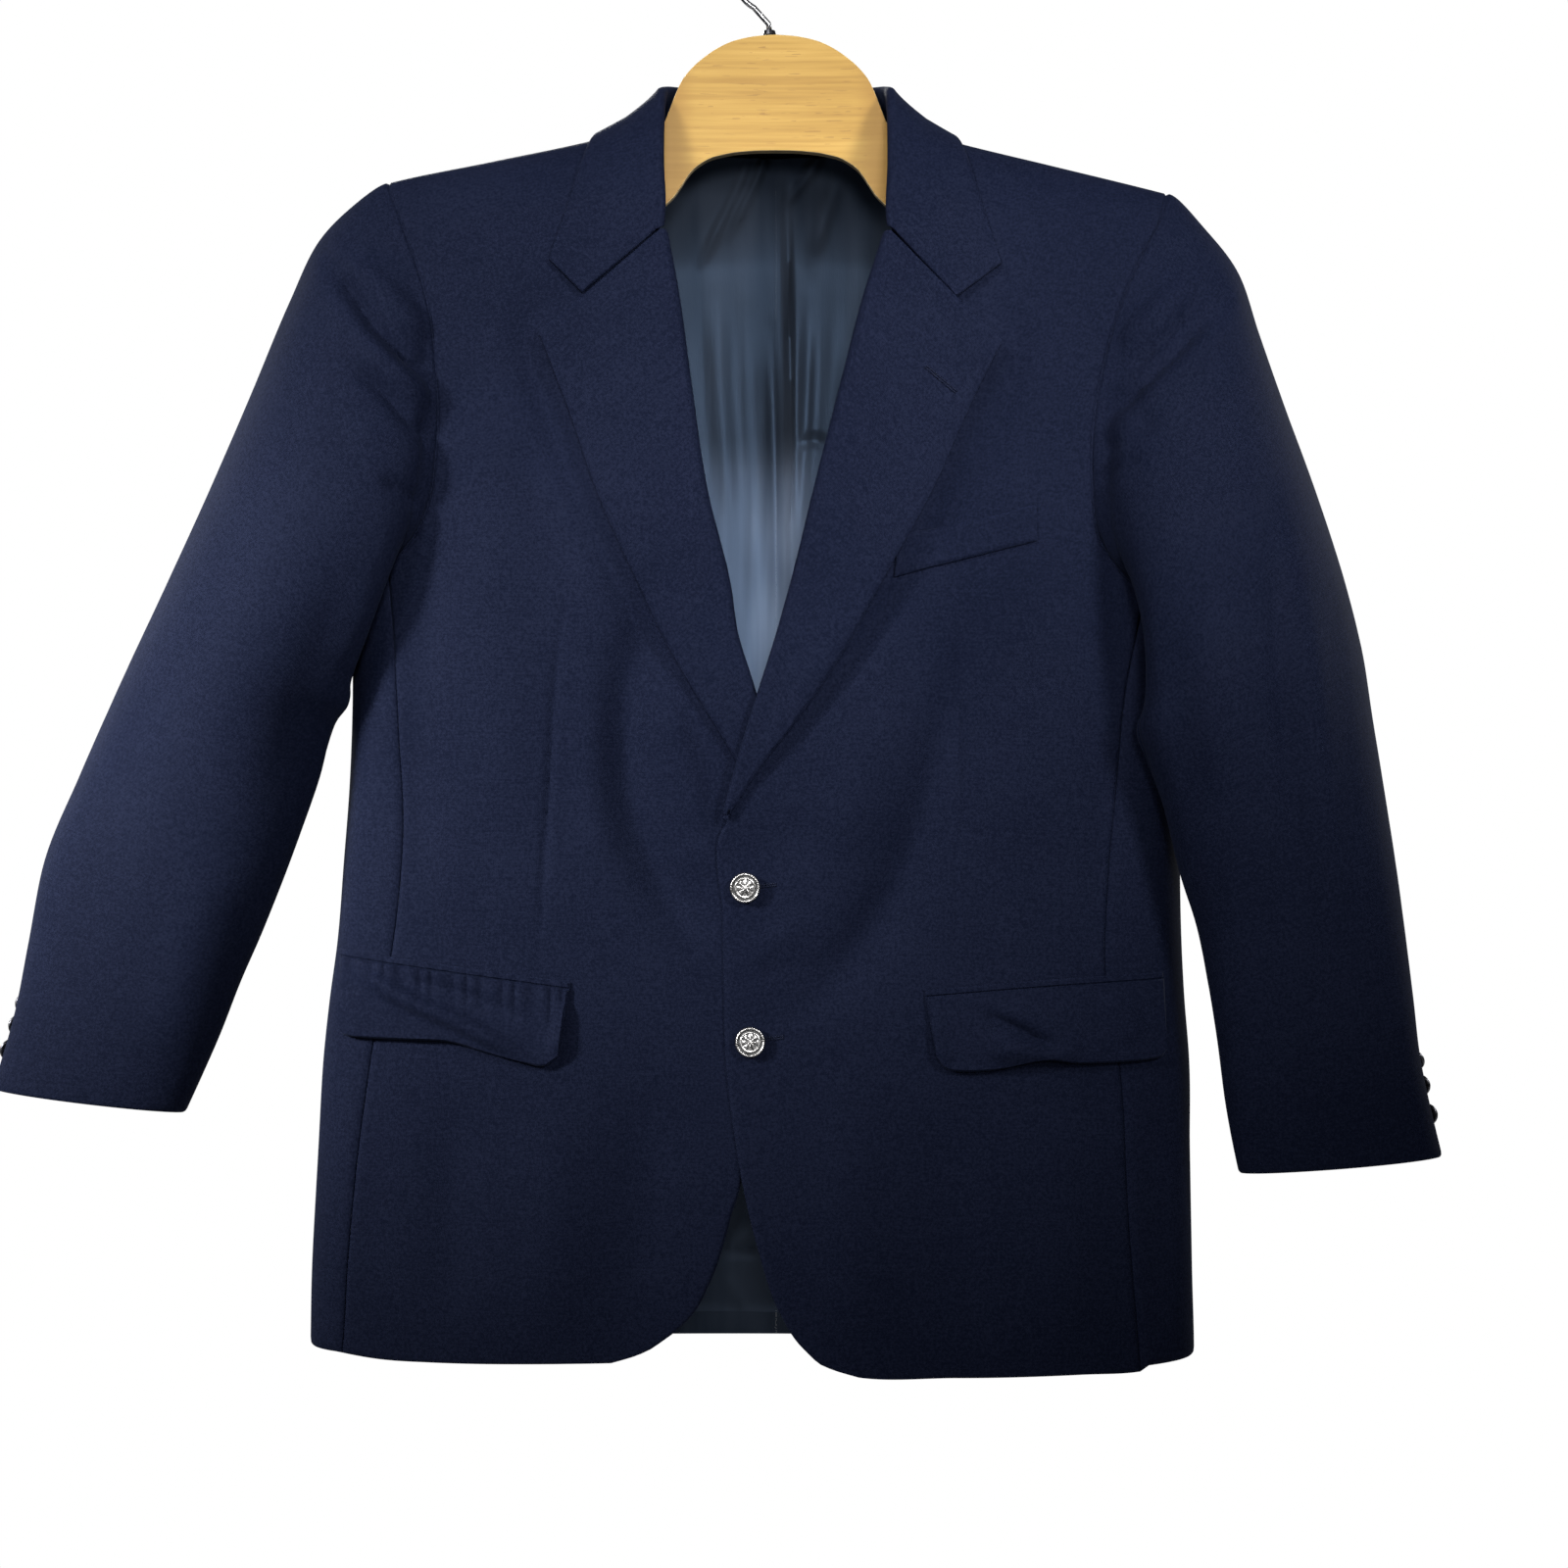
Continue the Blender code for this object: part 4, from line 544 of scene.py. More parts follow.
def armhole_line(table, behind):
    """A fine line over the body through an armhole's rows."""
    keys = [(theta_at(x, z, behind), z) for x, z in table]
    first_z = float(shoulder(table[0][0]))
    keys[0] = (theta_at(table[0][0], first_z, behind), first_z)
    curve = by_row(keys)
    shares = np.linspace(0, 1, ARMHOLE_POINTS) ** 2
    return [body_point(*curve(share)) for share in shares]


def armhole(front_table, back_table, steps):
    """The shared points of an armhole: front and back, each from the tip to the armpit."""
    front = along(armhole_line(front_table, False), steps)
    back = along(armhole_line(back_table, True), steps)
    back[0] = front[0]
    back[-1] = front[-1]
    return front, back


# ---------------------------------------------------------------- body panels

NECK_POINTS = 60
NECK_START = 2  # from the collar's front end to the first of them, round the shoulder
INNER_POINTS = 160  # of a front's inner border above the armhole seam's foot
ROLL_BLEND = 12  # height over which the front edge turns into the roll line
HEM_FADE = 4  # power with which a hem's own shape dies away up a panel
NECK_FADE = 1.5  # and the neckline's down the back
ARMHOLE_FADE = 3  # and the armhole's down the underarm panel
BACK_LOWER_SHARE = 0.72  # of a back's centre seam, beside the underarm panel
NECK_SIDE_ROW = 3  # the row of COLLAR_NECK on the shoulder line
NEAR_RIDGE = 2.0  # no nearer to the shoulder line is the way out of the body measured
LINING_FIRST_ROW = 3  # of the back's rows, above the hem
LINING_TOP_SHARE = 0.24  # of the armhole, beside which the lining runs to its own upper edge


def panel_rows(low, high, side):
    """Interpolates a panel across, row by row, in place across and way over the shoulder."""
    rows = []
    for (x0, way0), (x1, way1) in zip(low, high):
        rows.append([(x0 + (x1 - x0) * u, way0 + (way1 - way0) * u) for u in side])
    return np.array(rows)


def seam_line(table, top):
    """Points up a seam as (across, height), from the hem to where it meets the armhole."""
    rows = sorted([tuple(row) for row in table] + [(top[2], top[0])])
    curve = by_first(rows)
    heights = [rows[0][0] + (top[2] - rows[0][0]) * share for share in SEAM_ROWS]
    return [(float(curve(z)), z) for z in heights]


def neck_line(side):
    """Points up the front's neckline, from the roll line to the shoulder, as (across, way)."""
    curve = spline([row[1] for row in COLLAR_NECK], [row[0] for row in COLLAR_NECK])
    ways = np.linspace(COLLAR_NECK[0][1] + NECK_START, 0, NECK_POINTS)
    return [(NECK_MIDDLE + side * float(curve(way)), way) for way in ways]


def front_inner_line(edge_table, roll_table, side, junction_z):
    """The front's inner border: its edge, the roll line and the neckline, as (across, way)."""
    edge = by_first(edge_table)
    roll = by_first(roll_table)
    roll_start, roll_end = roll_table[0][0], roll_table[-1][0]

    def across(z):
        x, turn = roll(z)
        turned_x = float(x) + side * (CLOTH + float(turn) + ROLL_ROOM)
        blend = fade(z, edge_table[-1][0] - ROLL_BLEND, roll_start)
        return float(edge(z)) * (1 - blend) + turned_x * blend

    low = edge_table[0][0]
    lower = [low + (junction_z - low) * share for share in SEAM_ROWS]
    lower = [(across(z), front_way(across(z), z)) for z in lower]
    heights = np.linspace(junction_z, roll_end, INNER_POINTS)
    upper = [(across(z), front_way(across(z), z)) for z in heights]
    upper += neck_line(side)[1:]
    solid = [over_shoulder(x, way) for x, way in upper]
    shares = 1 - np.array(ARMHOLE_STEPS[FRONT_JUNCTION::-1]) / ARMHOLE_STEPS[FRONT_JUNCTION]
    steps = np.linalg.norm(np.diff(solid, axis=0), axis=1)
    length = np.concatenate(([0.0], np.cumsum(steps)))
    xs = np.interp(shares * length[-1], length, [x for x, _ in upper])
    ways = np.interp(shares * length[-1], length, [way for _, way in upper])
    return lower + list(zip(xs[1:], ways[1:]))


FRONT_COLUMNS = np.linspace(0, 1, 62)
BACK_COLUMNS = np.linspace(0, 1, 58)


def front_grid(side, upper, edge_table, roll_table, hem_table, seam, hole_front):
    """Grid of a front: rows from the hem up, columns from its inner border to the side."""
    inner = front_inner_line(edge_table, roll_table, side, seam[-1][1])
    outer = [(x, front_way(x, z)) for x, z in seam]
    outer += [(p[0], front_way(p[0], p[2])) for p in hole_front[FRONT_JUNCTION - 1 :: -1]]
    grid = panel_rows(inner, outer, FRONT_COLUMNS)
    hem = by_first(hem_table)
    for r in range(len(SEAM_ROWS)):
        weight = (1 - SEAM_ROWS[r]) ** HEM_FADE
        for c in range(len(FRONT_COLUMNS)):
            x = grid[0, c, 0]
            wanted = front_way(x, float(hem(x)))
            grid[r, c, 1] += (wanted - grid[0, c, 1]) * weight if r else 0.0
    for c in range(len(FRONT_COLUMNS)):
        x = grid[0, c, 0]
        grid[0, c, 1] = front_way(x, float(hem(x)))
    points = np.zeros(grid.shape[:2] + (3,))
    for r in range(grid.shape[0]):
        for c in range(grid.shape[1]):
            x, way = grid[r, c]
            point = over_shoulder(x, min(way, 0.0))
            point[1] -= layer(x, point[2], upper)
            points[r, c] = point
    return points


def back_grid(seam, hole_back):
    """Grid of a back half: rows from the hem up, columns from the centre seam to the side."""
    centre_top = COLLAR_NECK[-1][1]
    junction = len(SEAM_ROWS)
    hem = by_first(HEM_BACK)
    x_centre = NECK_MIDDLE
    low = way_of(float(shoulder(x_centre)) - float(hem(x_centre)))
    steps = len(hole_back[:BACK_JUNCTION])
    outer = [(x, way_of(float(shoulder(x)) - z)) for x, z in seam]
    outer += [(p[0], way_of(float(shoulder(p[0])) - p[2])) for p in hole_back[BACK_JUNCTION - 1 :: -1]]
    shares = [share * BACK_LOWER_SHARE for share in SEAM_ROWS]
    upper_steps = 1 - np.array(ARMHOLE_STEPS[BACK_JUNCTION - 1 :: -1]) / ARMHOLE_STEPS[BACK_JUNCTION]
    shares += [BACK_LOWER_SHARE + (1 - BACK_LOWER_SHARE) * share for share in upper_steps]
    inner = [(x_centre, low + (centre_top - low) * share) for share in shares]
    grid = panel_rows(inner, outer, BACK_COLUMNS)
    behind = COLLAR_NECK[: NECK_SIDE_ROW - 1 : -1]
    neck = spline([row[0] for row in behind], [row[1] for row in behind])
    neck_width = COLLAR_NECK[NECK_SIDE_ROW][0]
    for c in range(len(BACK_COLUMNS)):
        x = grid[-1, c, 0]
        away = abs(x - NECK_MIDDLE)
        wanted = float(neck(away)) if away < neck_width else 0.0
        change = wanted - grid[-1, c, 1]
        for r in range(steps + 1):
            row = junction - 1 + r
            grid[row, c, 1] += change * (r / steps) ** NECK_FADE
    for r, share in enumerate(SEAM_ROWS):
        for c in range(len(BACK_COLUMNS)):
            x = grid[0, c, 0]
            wanted = way_of(float(shoulder(x)) - float(hem(x)))
            grid[r, c, 1] += (wanted - grid[0, c, 1]) * (1 - share) ** HEM_FADE if r else 0.0
    for c in range(len(BACK_COLUMNS)):
        x = grid[0, c, 0]
        grid[0, c, 1] = way_of(float(shoulder(x)) - float(hem(x)))
    return grid


def back_points(grid, inside=None):
    """The points of a back's map, or those that lie inside it by a distance for each row."""
    points = np.zeros(grid.shape[:2] + (3,))
    for r in range(grid.shape[0]):
        for c in range(grid.shape[1]):
            x, way = grid[r, c]
            way = max(way, 0.0)
            points[r, c] = over_shoulder(x, way)
            if inside is not None:
                points[r, c] -= outward(x, max(way, NEAR_RIDGE)) * inside[r]
    return points


def lining_map(back_map):
    """The back's map for its lining, which starts above the hem and ends below the shoulder line."""
    top = back_map[-1].copy()
    top[:, 1] = np.maximum(top[:, 1] + LINING_BELOW_NECK, LINING_BELOW_SHOULDER)
    cut = int(np.sum(ARMHOLE_STEPS < LINING_TOP_SHARE))
    rows = back_map[LINING_FIRST_ROW:-cut].copy()
    shares = np.linspace(0, 1, cut + 1)[1:, None, None]
    rows = np.concatenate((rows, rows[-1] + (top - rows[-1]) * shares))
    near_top = np.concatenate((np.zeros(len(rows) - cut), shares[:, 0, 0]))
    return rows, near_top


def side_grid(front_seam, back_seam, hole_front, hole_back):
    """Grid of an underarm panel: rows from the hem up, columns from the front seam round to the back one."""
    top = list(hole_front[FRONT_JUNCTION:]) + list(hole_back[-2 : BACK_JUNCTION - 1 : -1])
    ahead = len(ARMHOLE_STEPS) - FRONT_JUNCTION
    behind = [False] * ahead + [True] * (len(ARMHOLE_STEPS) - 1 - BACK_JUNCTION)
    top = np.array([(theta_at(p[0], p[2], flag), p[2]) for p, flag in zip(top, behind)])
    armpit = len(ARMHOLE_STEPS) - 1 - FRONT_JUNCTION
    top[armpit, 0] = math.copysign(math.pi / 2, top[armpit, 0])
    shares = np.linspace(0, 1, len(top))
    points = np.zeros((len(SEAM_ROWS), len(top), 3))
    for r, up in enumerate(SEAM_ROWS):
        x0, z0 = front_seam[r]
        x1, z1 = back_seam[r]
        ends = np.array([(theta_at(x0, z0, False), z0), (theta_at(x1, z1, True), z1)])
        top_ends = np.array([top[0], top[-1]])
        for c, u in enumerate(shares):
            flat = ends[0] * (1 - u) + ends[1] * u
            change = top[c] - (top_ends[0] * (1 - u) + top_ends[1] * u)
            weight = np.array([up, up**ARMHOLE_FADE])
            theta, z = flat + change * weight
            points[r, c] = body_point(theta, z)
    return points


def fit_edges(panel, front_edge, back_edge):
    """Gives a panel's two side borders the very points of its neighbours' borders."""
    panel[:, 0] = front_edge
    panel[:, -1] = back_edge
    return panel


# ---------------------------------------------------------------- sleeves

TOPSLEEVE_TO = 12  # the ring point where the forearm seam starts, in front of the armpit
TOPSLEEVE_FROM = -7  # and the elbow seam, behind the shoulder
STRIP = 2.6  # the first turn of the sleeve's cloth beside the armhole seam
SLEEVE_SOFT_RINGS = 8  # the rings that are smoothed at the armpit
SMOOTHINGS = 8
SMOOTHED = 0.6  # the most that a point moves towards the mean of its neighbours
SMOOTHED_FROM = (0.5, 0.8)  # shares of the way from the tip to the armpit
TURNING_DOWN = (0.25, 1.0)  # shares between which the first strip turns to lie along the body
STRIP_LEAN = 2.2  # walls that the strip gains there
OPEN_REACH = 12.0  # over the armhole's edge, to where nothing has to be kept clear
EASE_BELOW = (70, 10)  # below the armpit: where a sleeve has its whole ease, and where that starts
CLEAR_BELOW = -640.0  # below this height the sleeves hang well away from the body


def loop_points(hole_front, hole_back):
    """The closed armhole: from the tip down the front to the armpit and up the back."""
    return np.array(list(hole_front) + list(hole_back[-2:0:-1]))


def ring_point(row, turn):
    """A point on the inside of a sleeve's cloth, from a row of its table."""
    outer = np.array([row[0], 0, row[1]])
    inner = np.array([row[2], 0, row[3]])
    half = (outer - inner) / 2
    half -= unit(half) * CLOTH
    point = (outer + inner) / 2 + half * math.cos(turn)
    reach = (row[5] if math.sin(turn) > 0 else row[6]) - CLOTH
    point[1] = row[4] - reach * math.sin(turn) - row[7] * (1 - math.cos(turn)) / 2
    return point


def ring_turns(kept, down):
    """Where a ring's points lie round the sleeve: evenly between its two seams, or as on the armhole."""
    half = len(SLEEVE_STEPS) - 1
    elbow = ELBOW_SEAM[0] + (ELBOW_SEAM[1] - ELBOW_SEAM[0]) * down
    forearm = FOREARM_SEAM[0] + (FOREARM_SEAM[1] - FOREARM_SEAM[0]) * down
    keys = (TOPSLEEVE_FROM, TOPSLEEVE_TO, TOPSLEEVE_FROM + 2 * half)
    turns = []
    for i in range(2 * half):
        place = i if i <= TOPSLEEVE_FROM + 2 * half else i - 2 * half
        even = float(np.interp(place, keys, (elbow, forearm, elbow + 360)))
        signed = i if i <= half else i - 2 * half
        on_hole = math.copysign(180 * SLEEVE_STEPS[abs(signed)], signed)
        if even > 180 and signed < 0:
            on_hole += 360
        turns.append(math.radians(on_hole * kept + even * (1 - kept)))
    return turns


def armhole_frame(loop, i):
    """At a point of the armhole: the direction out of the body, and the one across the seam to the sleeve."""
    half = len(SLEEVE_STEPS) - 1
    signed = i if i <= half else i - 2 * half
    tangent = unit(loop[(i + 1) % len(loop)] - loop[i - 1])
    x, _, z = loop[i]
    if abs(signed) < half - 2:
        away = outward(x, math.copysign(way_of(float(shoulder(x)) - z), -signed))
    else:
        away = loop[i] - np.array([NECK_MIDDLE, middle_depth(x, z), z])
    normal = unit(away - tangent * np.dot(away, tangent))
    ahead = unit(np.cross(normal, tangent))
    if np.dot(ahead, loop.mean(axis=0) - loop[i]) < 0:
        ahead = -ahead
    return normal, ahead, abs(signed) / half


def beside_body(point, hole_front, hole_back, side):
    """Keeps a point of a sleeve clear of the body's panels, but not of the armhole's open space."""
    x, y, z = point
    if z < CLEAR_BELOW:
        return point
    hole = hole_back if y > middle_depth(x, z) else hole_front
    line = hole[::-1]
    edge = np.interp(z, line[:, 2], line[:, 0])
    armpit = line[0, 2]
    beyond = fade(side * (x - edge), 0.0, OPEN_REACH) * fade(z, armpit, armpit + OPEN_REACH)
    room = SLEEVE_CLEAR + SLEEVE_EASE * (1 - fade(z, armpit - EASE_BELOW[0], armpit - EASE_BELOW[1]))
    return clear_of_body(point, room) * (1 - beyond) + point * beyond


def sleeve_rings(table, hole_front, hole_back):
    """Rings of points on the inside of a sleeve's cloth, from the armhole to the cuff."""
    loop = loop_points(hole_front, hole_back)
    count = len(loop)
    side = math.copysign(1, table[0][0])
    seam_ring = []
    strip_ring = []
    for i in range(count):
        normal, ahead, low = armhole_frame(loop, i)
        lean = fade(low, *TURNING_DOWN) * math.pi / 2
        start = loop[i] + ahead * (SEAM + CLOTH * math.sin(lean))
        seam_ring.append(start)
        reach = STRIP + STRIP_LEAN * CLOTH * math.sin(lean)
        strip_ring.append(start + (ahead * math.cos(lean) + normal * math.sin(lean)) * reach)
    turns = ring_turns(1.0, 0.0)
    deviation = [loop[i] - ring_point(table[0], turns[i]) for i in range(count)]
    rings = [seam_ring, strip_ring]
    for number, row in enumerate(table[1:], 1):
        kept = row[8]
        down = fade(number / (len(table) - 1), 0.1, 1.0)
        turns = ring_turns(kept, down)
        ring = [ring_point(row, turns[i]) + deviation[i] * kept for i in range(count)]
        rings.append([beside_body(point, hole_front, hole_back, side) for point in ring])
    rings = np.array(rings)
    low = np.array([min(i, count - i) for i in range(count)]) / (count / 2)
    weights = np.array([SMOOTHED * fade(place, *SMOOTHED_FROM) for place in low])[:, None]
    last = SLEEVE_SOFT_RINGS - 1
    for _ in range(SMOOTHINGS):
        kept_rings = rings[2:last]
        along_arm = rings[1 : last - 1] + rings[3 : last + 1]
        even = (along_arm + np.roll(kept_rings, 1, axis=1) + np.roll(kept_rings, -1, axis=1)) / 4
        rings[2:last] += (even - kept_rings) * weights
        for r in range(2, last):
            rings[r] = [beside_body(point, hole_front, hole_back, side) for point in rings[r]]
    return rings


# ---------------------------------------------------------------- lapels

ROLL_ANGLES = np.linspace(0, 180, 10)
LAPEL_ACROSS = np.linspace(0.04, 1.0, 26)
LAPEL_ROWS = 105
LINE_POINTS = 500  # of the fine lines that its rows start and end on
LAPEL_LIFT_POWER = 1.5  # with which it rises from its roll to its free edge
LAPEL_BELOW_GORGE = 0.4  # how far its last row lies below the gorge


def lapel_grid(side, upper, roll_table, edge_table):
    """Grid of a lapel's underside: rows from its foot up to the gorge, columns from the roll outward."""
    roll = by_first(roll_table)
    edge = by_first(edge_table)
    shares = np.linspace(0, 1, LAPEL_ROWS)
    roll_heights = np.linspace(roll_table[0][0], roll_table[-1][0], LINE_POINTS)
    edge_heights = np.linspace(edge_table[0][0], edge_table[-1][0], LINE_POINTS)
    roll_line = along([(z, *roll(z)) for z in roll_heights], shares)
    edge_line = along([(z, *edge(z)) for z in edge_heights], shares)
    points = []
    for (z_roll, x_roll, turn), (z_edge, x_edge, lift) in zip(roll_line, edge_line):
        row = []
        for angle in ROLL_ANGLES:
            a = math.radians(angle)
            x = x_roll + side * (CLOTH + turn * (1 - math.sin(a)))
            out = CLOTH + turn * (1 - math.cos(a))
            row.append((x, z_roll, out))
        x_start = x_roll + side * (CLOTH + turn)
        for share in LAPEL_ACROSS:
            x = x_start + (x_edge - x_start) * share
            z = z_roll + (z_edge - z_roll) * share
            out = CLOTH + 2 * turn + (lift - 2 * turn) * share**LAPEL_LIFT_POWER
            row.append((x, z, out))
        solid = []
        for x, z, out in row:
            point = over_shoulder(x, front_way(x, z))
            point[1] -= out + layer(x, z, upper)
            solid.append(point)
        points.append(solid)
    points = np.array(points)
    points[-1, :, 2] -= LAPEL_BELOW_GORGE
    return points


# ---------------------------------------------------------------- collar

COLLAR_STATIONS = 151
COLLAR_STAND = np.linspace(0, 1, 9)[:-1]
COLLAR_TURNS = np.linspace(0, 180, 9)
COLLAR_FALL = np.linspace(0, 1, 14)[1:]
COLLAR_BEND = 0.55  # where its fall bends over the shoulder, as a share from the fold to the edge
COLLAR_EDGE_PARTS = np.linspace(0, 1, 13)[1:]
COLLAR_END_SHARE = 0.16  # of each half, over which it turns into its own front end
NOTCH_RISE = 1.5  # the notch's corner is above the lapel's
NOTCH_STAND = 1.5  # and further out than the fall
POINT_STAND = 0.5


def collar_grid():
    """Grid of the collar's underside, from the wearer's right end round the neck to the left end."""
    neck = by_row(COLLAR_NECK)
    fold = by_row(COLLAR_FOLD)
    edge = by_row(COLLAR_EDGE)
    shares = np.linspace(-1, 1, COLLAR_STATIONS)
    rows = []
    for share in shares:
        side = -1.0 if share < 0 else 1.0
        place = 1 - abs(share)
        n_across, n_way = neck(place)
        k_across, k_depth, k_height = fold(place)
        e_across, e_way = edge(place)
        x = NECK_MIDDLE + side * n_across
        neck_point = over_shoulder(x, n_way) + outward(x, n_way) * COLLAR_SEAT
        fold_point = np.array([NECK_MIDDLE + side * k_across, k_depth, k_height])
        x = NECK_MIDDLE + side * e_across
        edge_point = over_shoulder(x, e_way) + outward(x, e_way) * COLLAR_LIFT
        corner = fold_point * (1 - COLLAR_BEND) + edge_point * COLLAR_BEND
        end_share = 1 - fade(place, 0.0, COLLAR_END_SHARE)
        notch = NOTCH_RIGHT if side < 0 else NOTCH_LEFT
        tip = COLLAR_POINT_RIGHT if side < 0 else COLLAR_POINT_LEFT
        if end_share > 0:
            notch_point = over_shoulder(notch[0], front_way(notch[0], notch[1] + NOTCH_RISE))
            notch_point[1] -= COLLAR_LIFT + NOTCH_STAND
            tip_point = over_shoulder(tip[0], front_way(*tip))
            tip_point[1] -= COLLAR_LIFT + POINT_STAND
            corner = corner * (1 - end_share) + notch_point * end_share
            edge_point = edge_point * (1 - end_share) + tip_point * end_share
        rise = unit(fold_point - neck_point)
        out = corner - fold_point
        out = unit(out - rise * np.dot(out, rise))
        row = [neck_point + (fold_point - neck_point) * part for part in COLLAR_STAND]
        for angle in COLLAR_TURNS:
            a = math.radians(angle)
            row.append(fold_point + out * COLLAR_TURN * (1 - math.cos(a)) + rise * COLLAR_TURN * math.sin(a))
        start = row[-1]
        for part in COLLAR_FALL:
            row.append(start + (corner - start) * part)
        for part in COLLAR_EDGE_PARTS:
            row.append(corner + (edge_point - corner) * part)
        rows.append(row)
    points = np.array(rows)
    for r in range(points.shape[0]):
        for c in range(len(COLLAR_STAND) + len(COLLAR_TURNS), points.shape[1]):
            points[r, c] = lifted(points[r, c], COLLAR_LIFT)
    return points


def lifted(point, room):
    """Raises a point that is too near the cloth of the shoulders, away from the middle of their round."""
    x, y, z = point
    left, right, front, back = body_row(z)
    middle = middle_depth(x, z)
    behind = y > middle
    share = min(abs(x - (left + right) / 2) / ((right - left) / 2), 0.999)
    depth = (back if behind else front) * (1 - share**ROUNDNESS) ** (1 / ROUNDNESS)
    drop = float(shoulder(x)) - z
    deep = (y - middle) / (depth + room)
    high = (SHOULDER_ROUND - drop) / (SHOULDER_ROUND + room)
    size = math.hypot(deep, max(high, 0.0))
    if size >= 1 or size < 1e-6:
        return np.array(point)
    new_y = middle + deep / size * (depth + room)
    new_z = z if high < 0 else float(shoulder(x)) - SHOULDER_ROUND + high / size * (SHOULDER_ROUND + room)
    return np.array([x, new_y, new_z])


# ---------------------------------------------------------------- pockets


def laid_on_front(x, z, out):
    """A point lifted off the outside of a front or an underarm panel."""
    upper = x > OVERLAP_MIDDLE
    theta = theta_at(x, z, False)
    step = 0.004
    around = body_point(theta + step, z) - body_point(theta - step, z)
    up = body_point(theta, z + 1) - body_point(theta, z - 1)
    normal = unit(np.cross(around, up))
    return body_point(theta, z) + normal * (CLOTH + out + layer(x, z, upper))


def patch(top_table, bottom_table, columns, rows, lift_top, lift_bottom):
    """Grid of a patch on the front between two lines, from the bottom one up."""
    top = by_row(top_table)
    bottom = by_row(bottom_table)
    points = []
    for r in range(rows):
        up = r / (rows - 1)
        row = []
        for c in range(columns):
            share = c / (columns - 1)
            x, z = bottom(share) * (1 - up) + top(share) * up
            row.append(laid_on_front(x, z, lift_bottom + (lift_top - lift_bottom) * up))
        points.append(row)
    return np.array(points)


def jet_lines(flap_top):
    """The lower and the upper edge of a pocket's jet."""
    low = [(x, z + SEAM) for x, z in flap_top]
    high = [(x, z + SEAM + JET_HEIGHT) for x, z in flap_top]
    return low, high


# ---------------------------------------------------------------- the hanger

WOOD_COLUMNS = 34  # across the crown on each side, and again along each arm
WOOD_ROWS = 9
WOOD_TIP_FROM = (0.86, 1.06)  # shares of an arm between which its end is rounded
WOOD_TIP_LEAST = 0.1
WOOD_HEIGHT = -150  # the height whose middle plane it follows
HOOK_STEP = 5  # degrees


def hanger_grid():
    """Grid of the hanger's middle surface: rows from its lower edge up, columns across."""
    last = WOOD_EDGES[-1][0]
    crown = list(np.linspace(0, last, WOOD_COLUMNS))
    arm = list(np.linspace(last, WOOD_TIP, WOOD_COLUMNS)[1:])
    halves = crown + arm
    across = [-value for value in halves[:0:-1]] + halves
    upper = by_first([row[:2] for row in WOOD_EDGES])
    lower = by_first([(row[0], row[2]) for row in WOOD_EDGES])
    points = np.zeros((WOOD_ROWS, len(across), 3))
    for c, value in enumerate(across):
        away = abs(value)
        x = WOOD_MIDDLE + value
        if away > last:
            top = float(shoulder(x)) - WOOD_SEAT
            share = (away - last) / (WOOD_TIP - last)
            root = float(upper(last)) - float(lower(last))
            depth = root + (WOOD_TIP_DEPTH - root) * share
            depth = min(depth, root)
            tip_round = math.sqrt(max(1 - fade(share, *WOOD_TIP_FROM) ** 2, WOOD_TIP_LEAST))
            bottom = top - depth
            middle = (top + bottom) / 2
            bottom = middle - (middle - bottom) * tip_round
        else:
            top = float(upper(away))
            bottom = float(lower(away))
        for r in range(WOOD_ROWS):
            z = bottom + (top - bottom) * r / (WOOD_ROWS - 1)
            points[r, c] = (x, middle_depth(x, WOOD_HEIGHT), z)
    return points


def hook_route():
    """The wire's middle line, from its foot in the wood round the hook to its free end."""
    radius = HOOK_RADIUS + HOOK_WIRE / 2
    centre_z = -HOOK_RADIUS
    points = [(0, HOOK_FOOT - 12), (0, HOOK_FOOT - 4), (0, HOOK_FOOT + 5), (-0.6, HOOK_FOOT + 10)]
    for angle in range(-118, -361, -HOOK_STEP):
        a = math.radians(angle)
        points.append((radius * math.cos(a), centre_z + radius * math.sin(a)))
    points.append((radius + 1.2, centre_z - 7))
    return [np.array((x, RIDGE_BACK, z), float) for x, z in points]


# ---------------------------------------------------------------- the picture that the camera takes

VIEW_DISTANCE = 1900.0  # from the camera to the plane at depth 0
VIEW_MIDDLE = (9.6, -549.0)  # across and height at the picture's middle
PICTURE_STEP = 0.64  # millimetres to a picture point, at depth 0
PICTURE = 1600
SENSOR = 36.0


def seen(points, depth=-60.0):
    """Turns picture points into places across and in height at a depth."""
    scale = PICTURE_STEP * (VIEW_DISTANCE + depth) / VIEW_DISTANCE
    return [(VIEW_MIDDLE[0] + (px - PICTURE / 2) * scale, VIEW_MIDDLE[1] - (py - PICTURE / 2) * scale)
            for px, py in points]


def linked(name, data):
    """A new object with this data, in the scene."""
    made = bpy.data.objects.new(name, data)
    bpy.context.scene.collection.objects.link(made)
    return made


def add_camera():
    camera = linked("camera", bpy.data.cameras.new("camera"))
    camera.location = Vector((VIEW_MIDDLE[0], -VIEW_DISTANCE, VIEW_MIDDLE[1])) * MM
    camera.rotation_euler = (math.pi / 2, 0, 0)
    camera.data.sensor_width = SENSOR
    camera.data.lens = SENSOR * VIEW_DISTANCE / (PICTURE * PICTURE_STEP)
    camera.data.clip_start = 0.05
    bpy.context.scene.camera = camera


def add_light(name, place, aim, size, power, spread):
    light = bpy.data.lights.new(name, "AREA")
    light.size = size
    light.energy = power
    light.spread = spread
    lamp = linked(name, light)
    lamp.location = place
    lamp.rotation_euler = (Vector(aim) - Vector(place)).to_track_quat("-Z", "Y").to_euler()


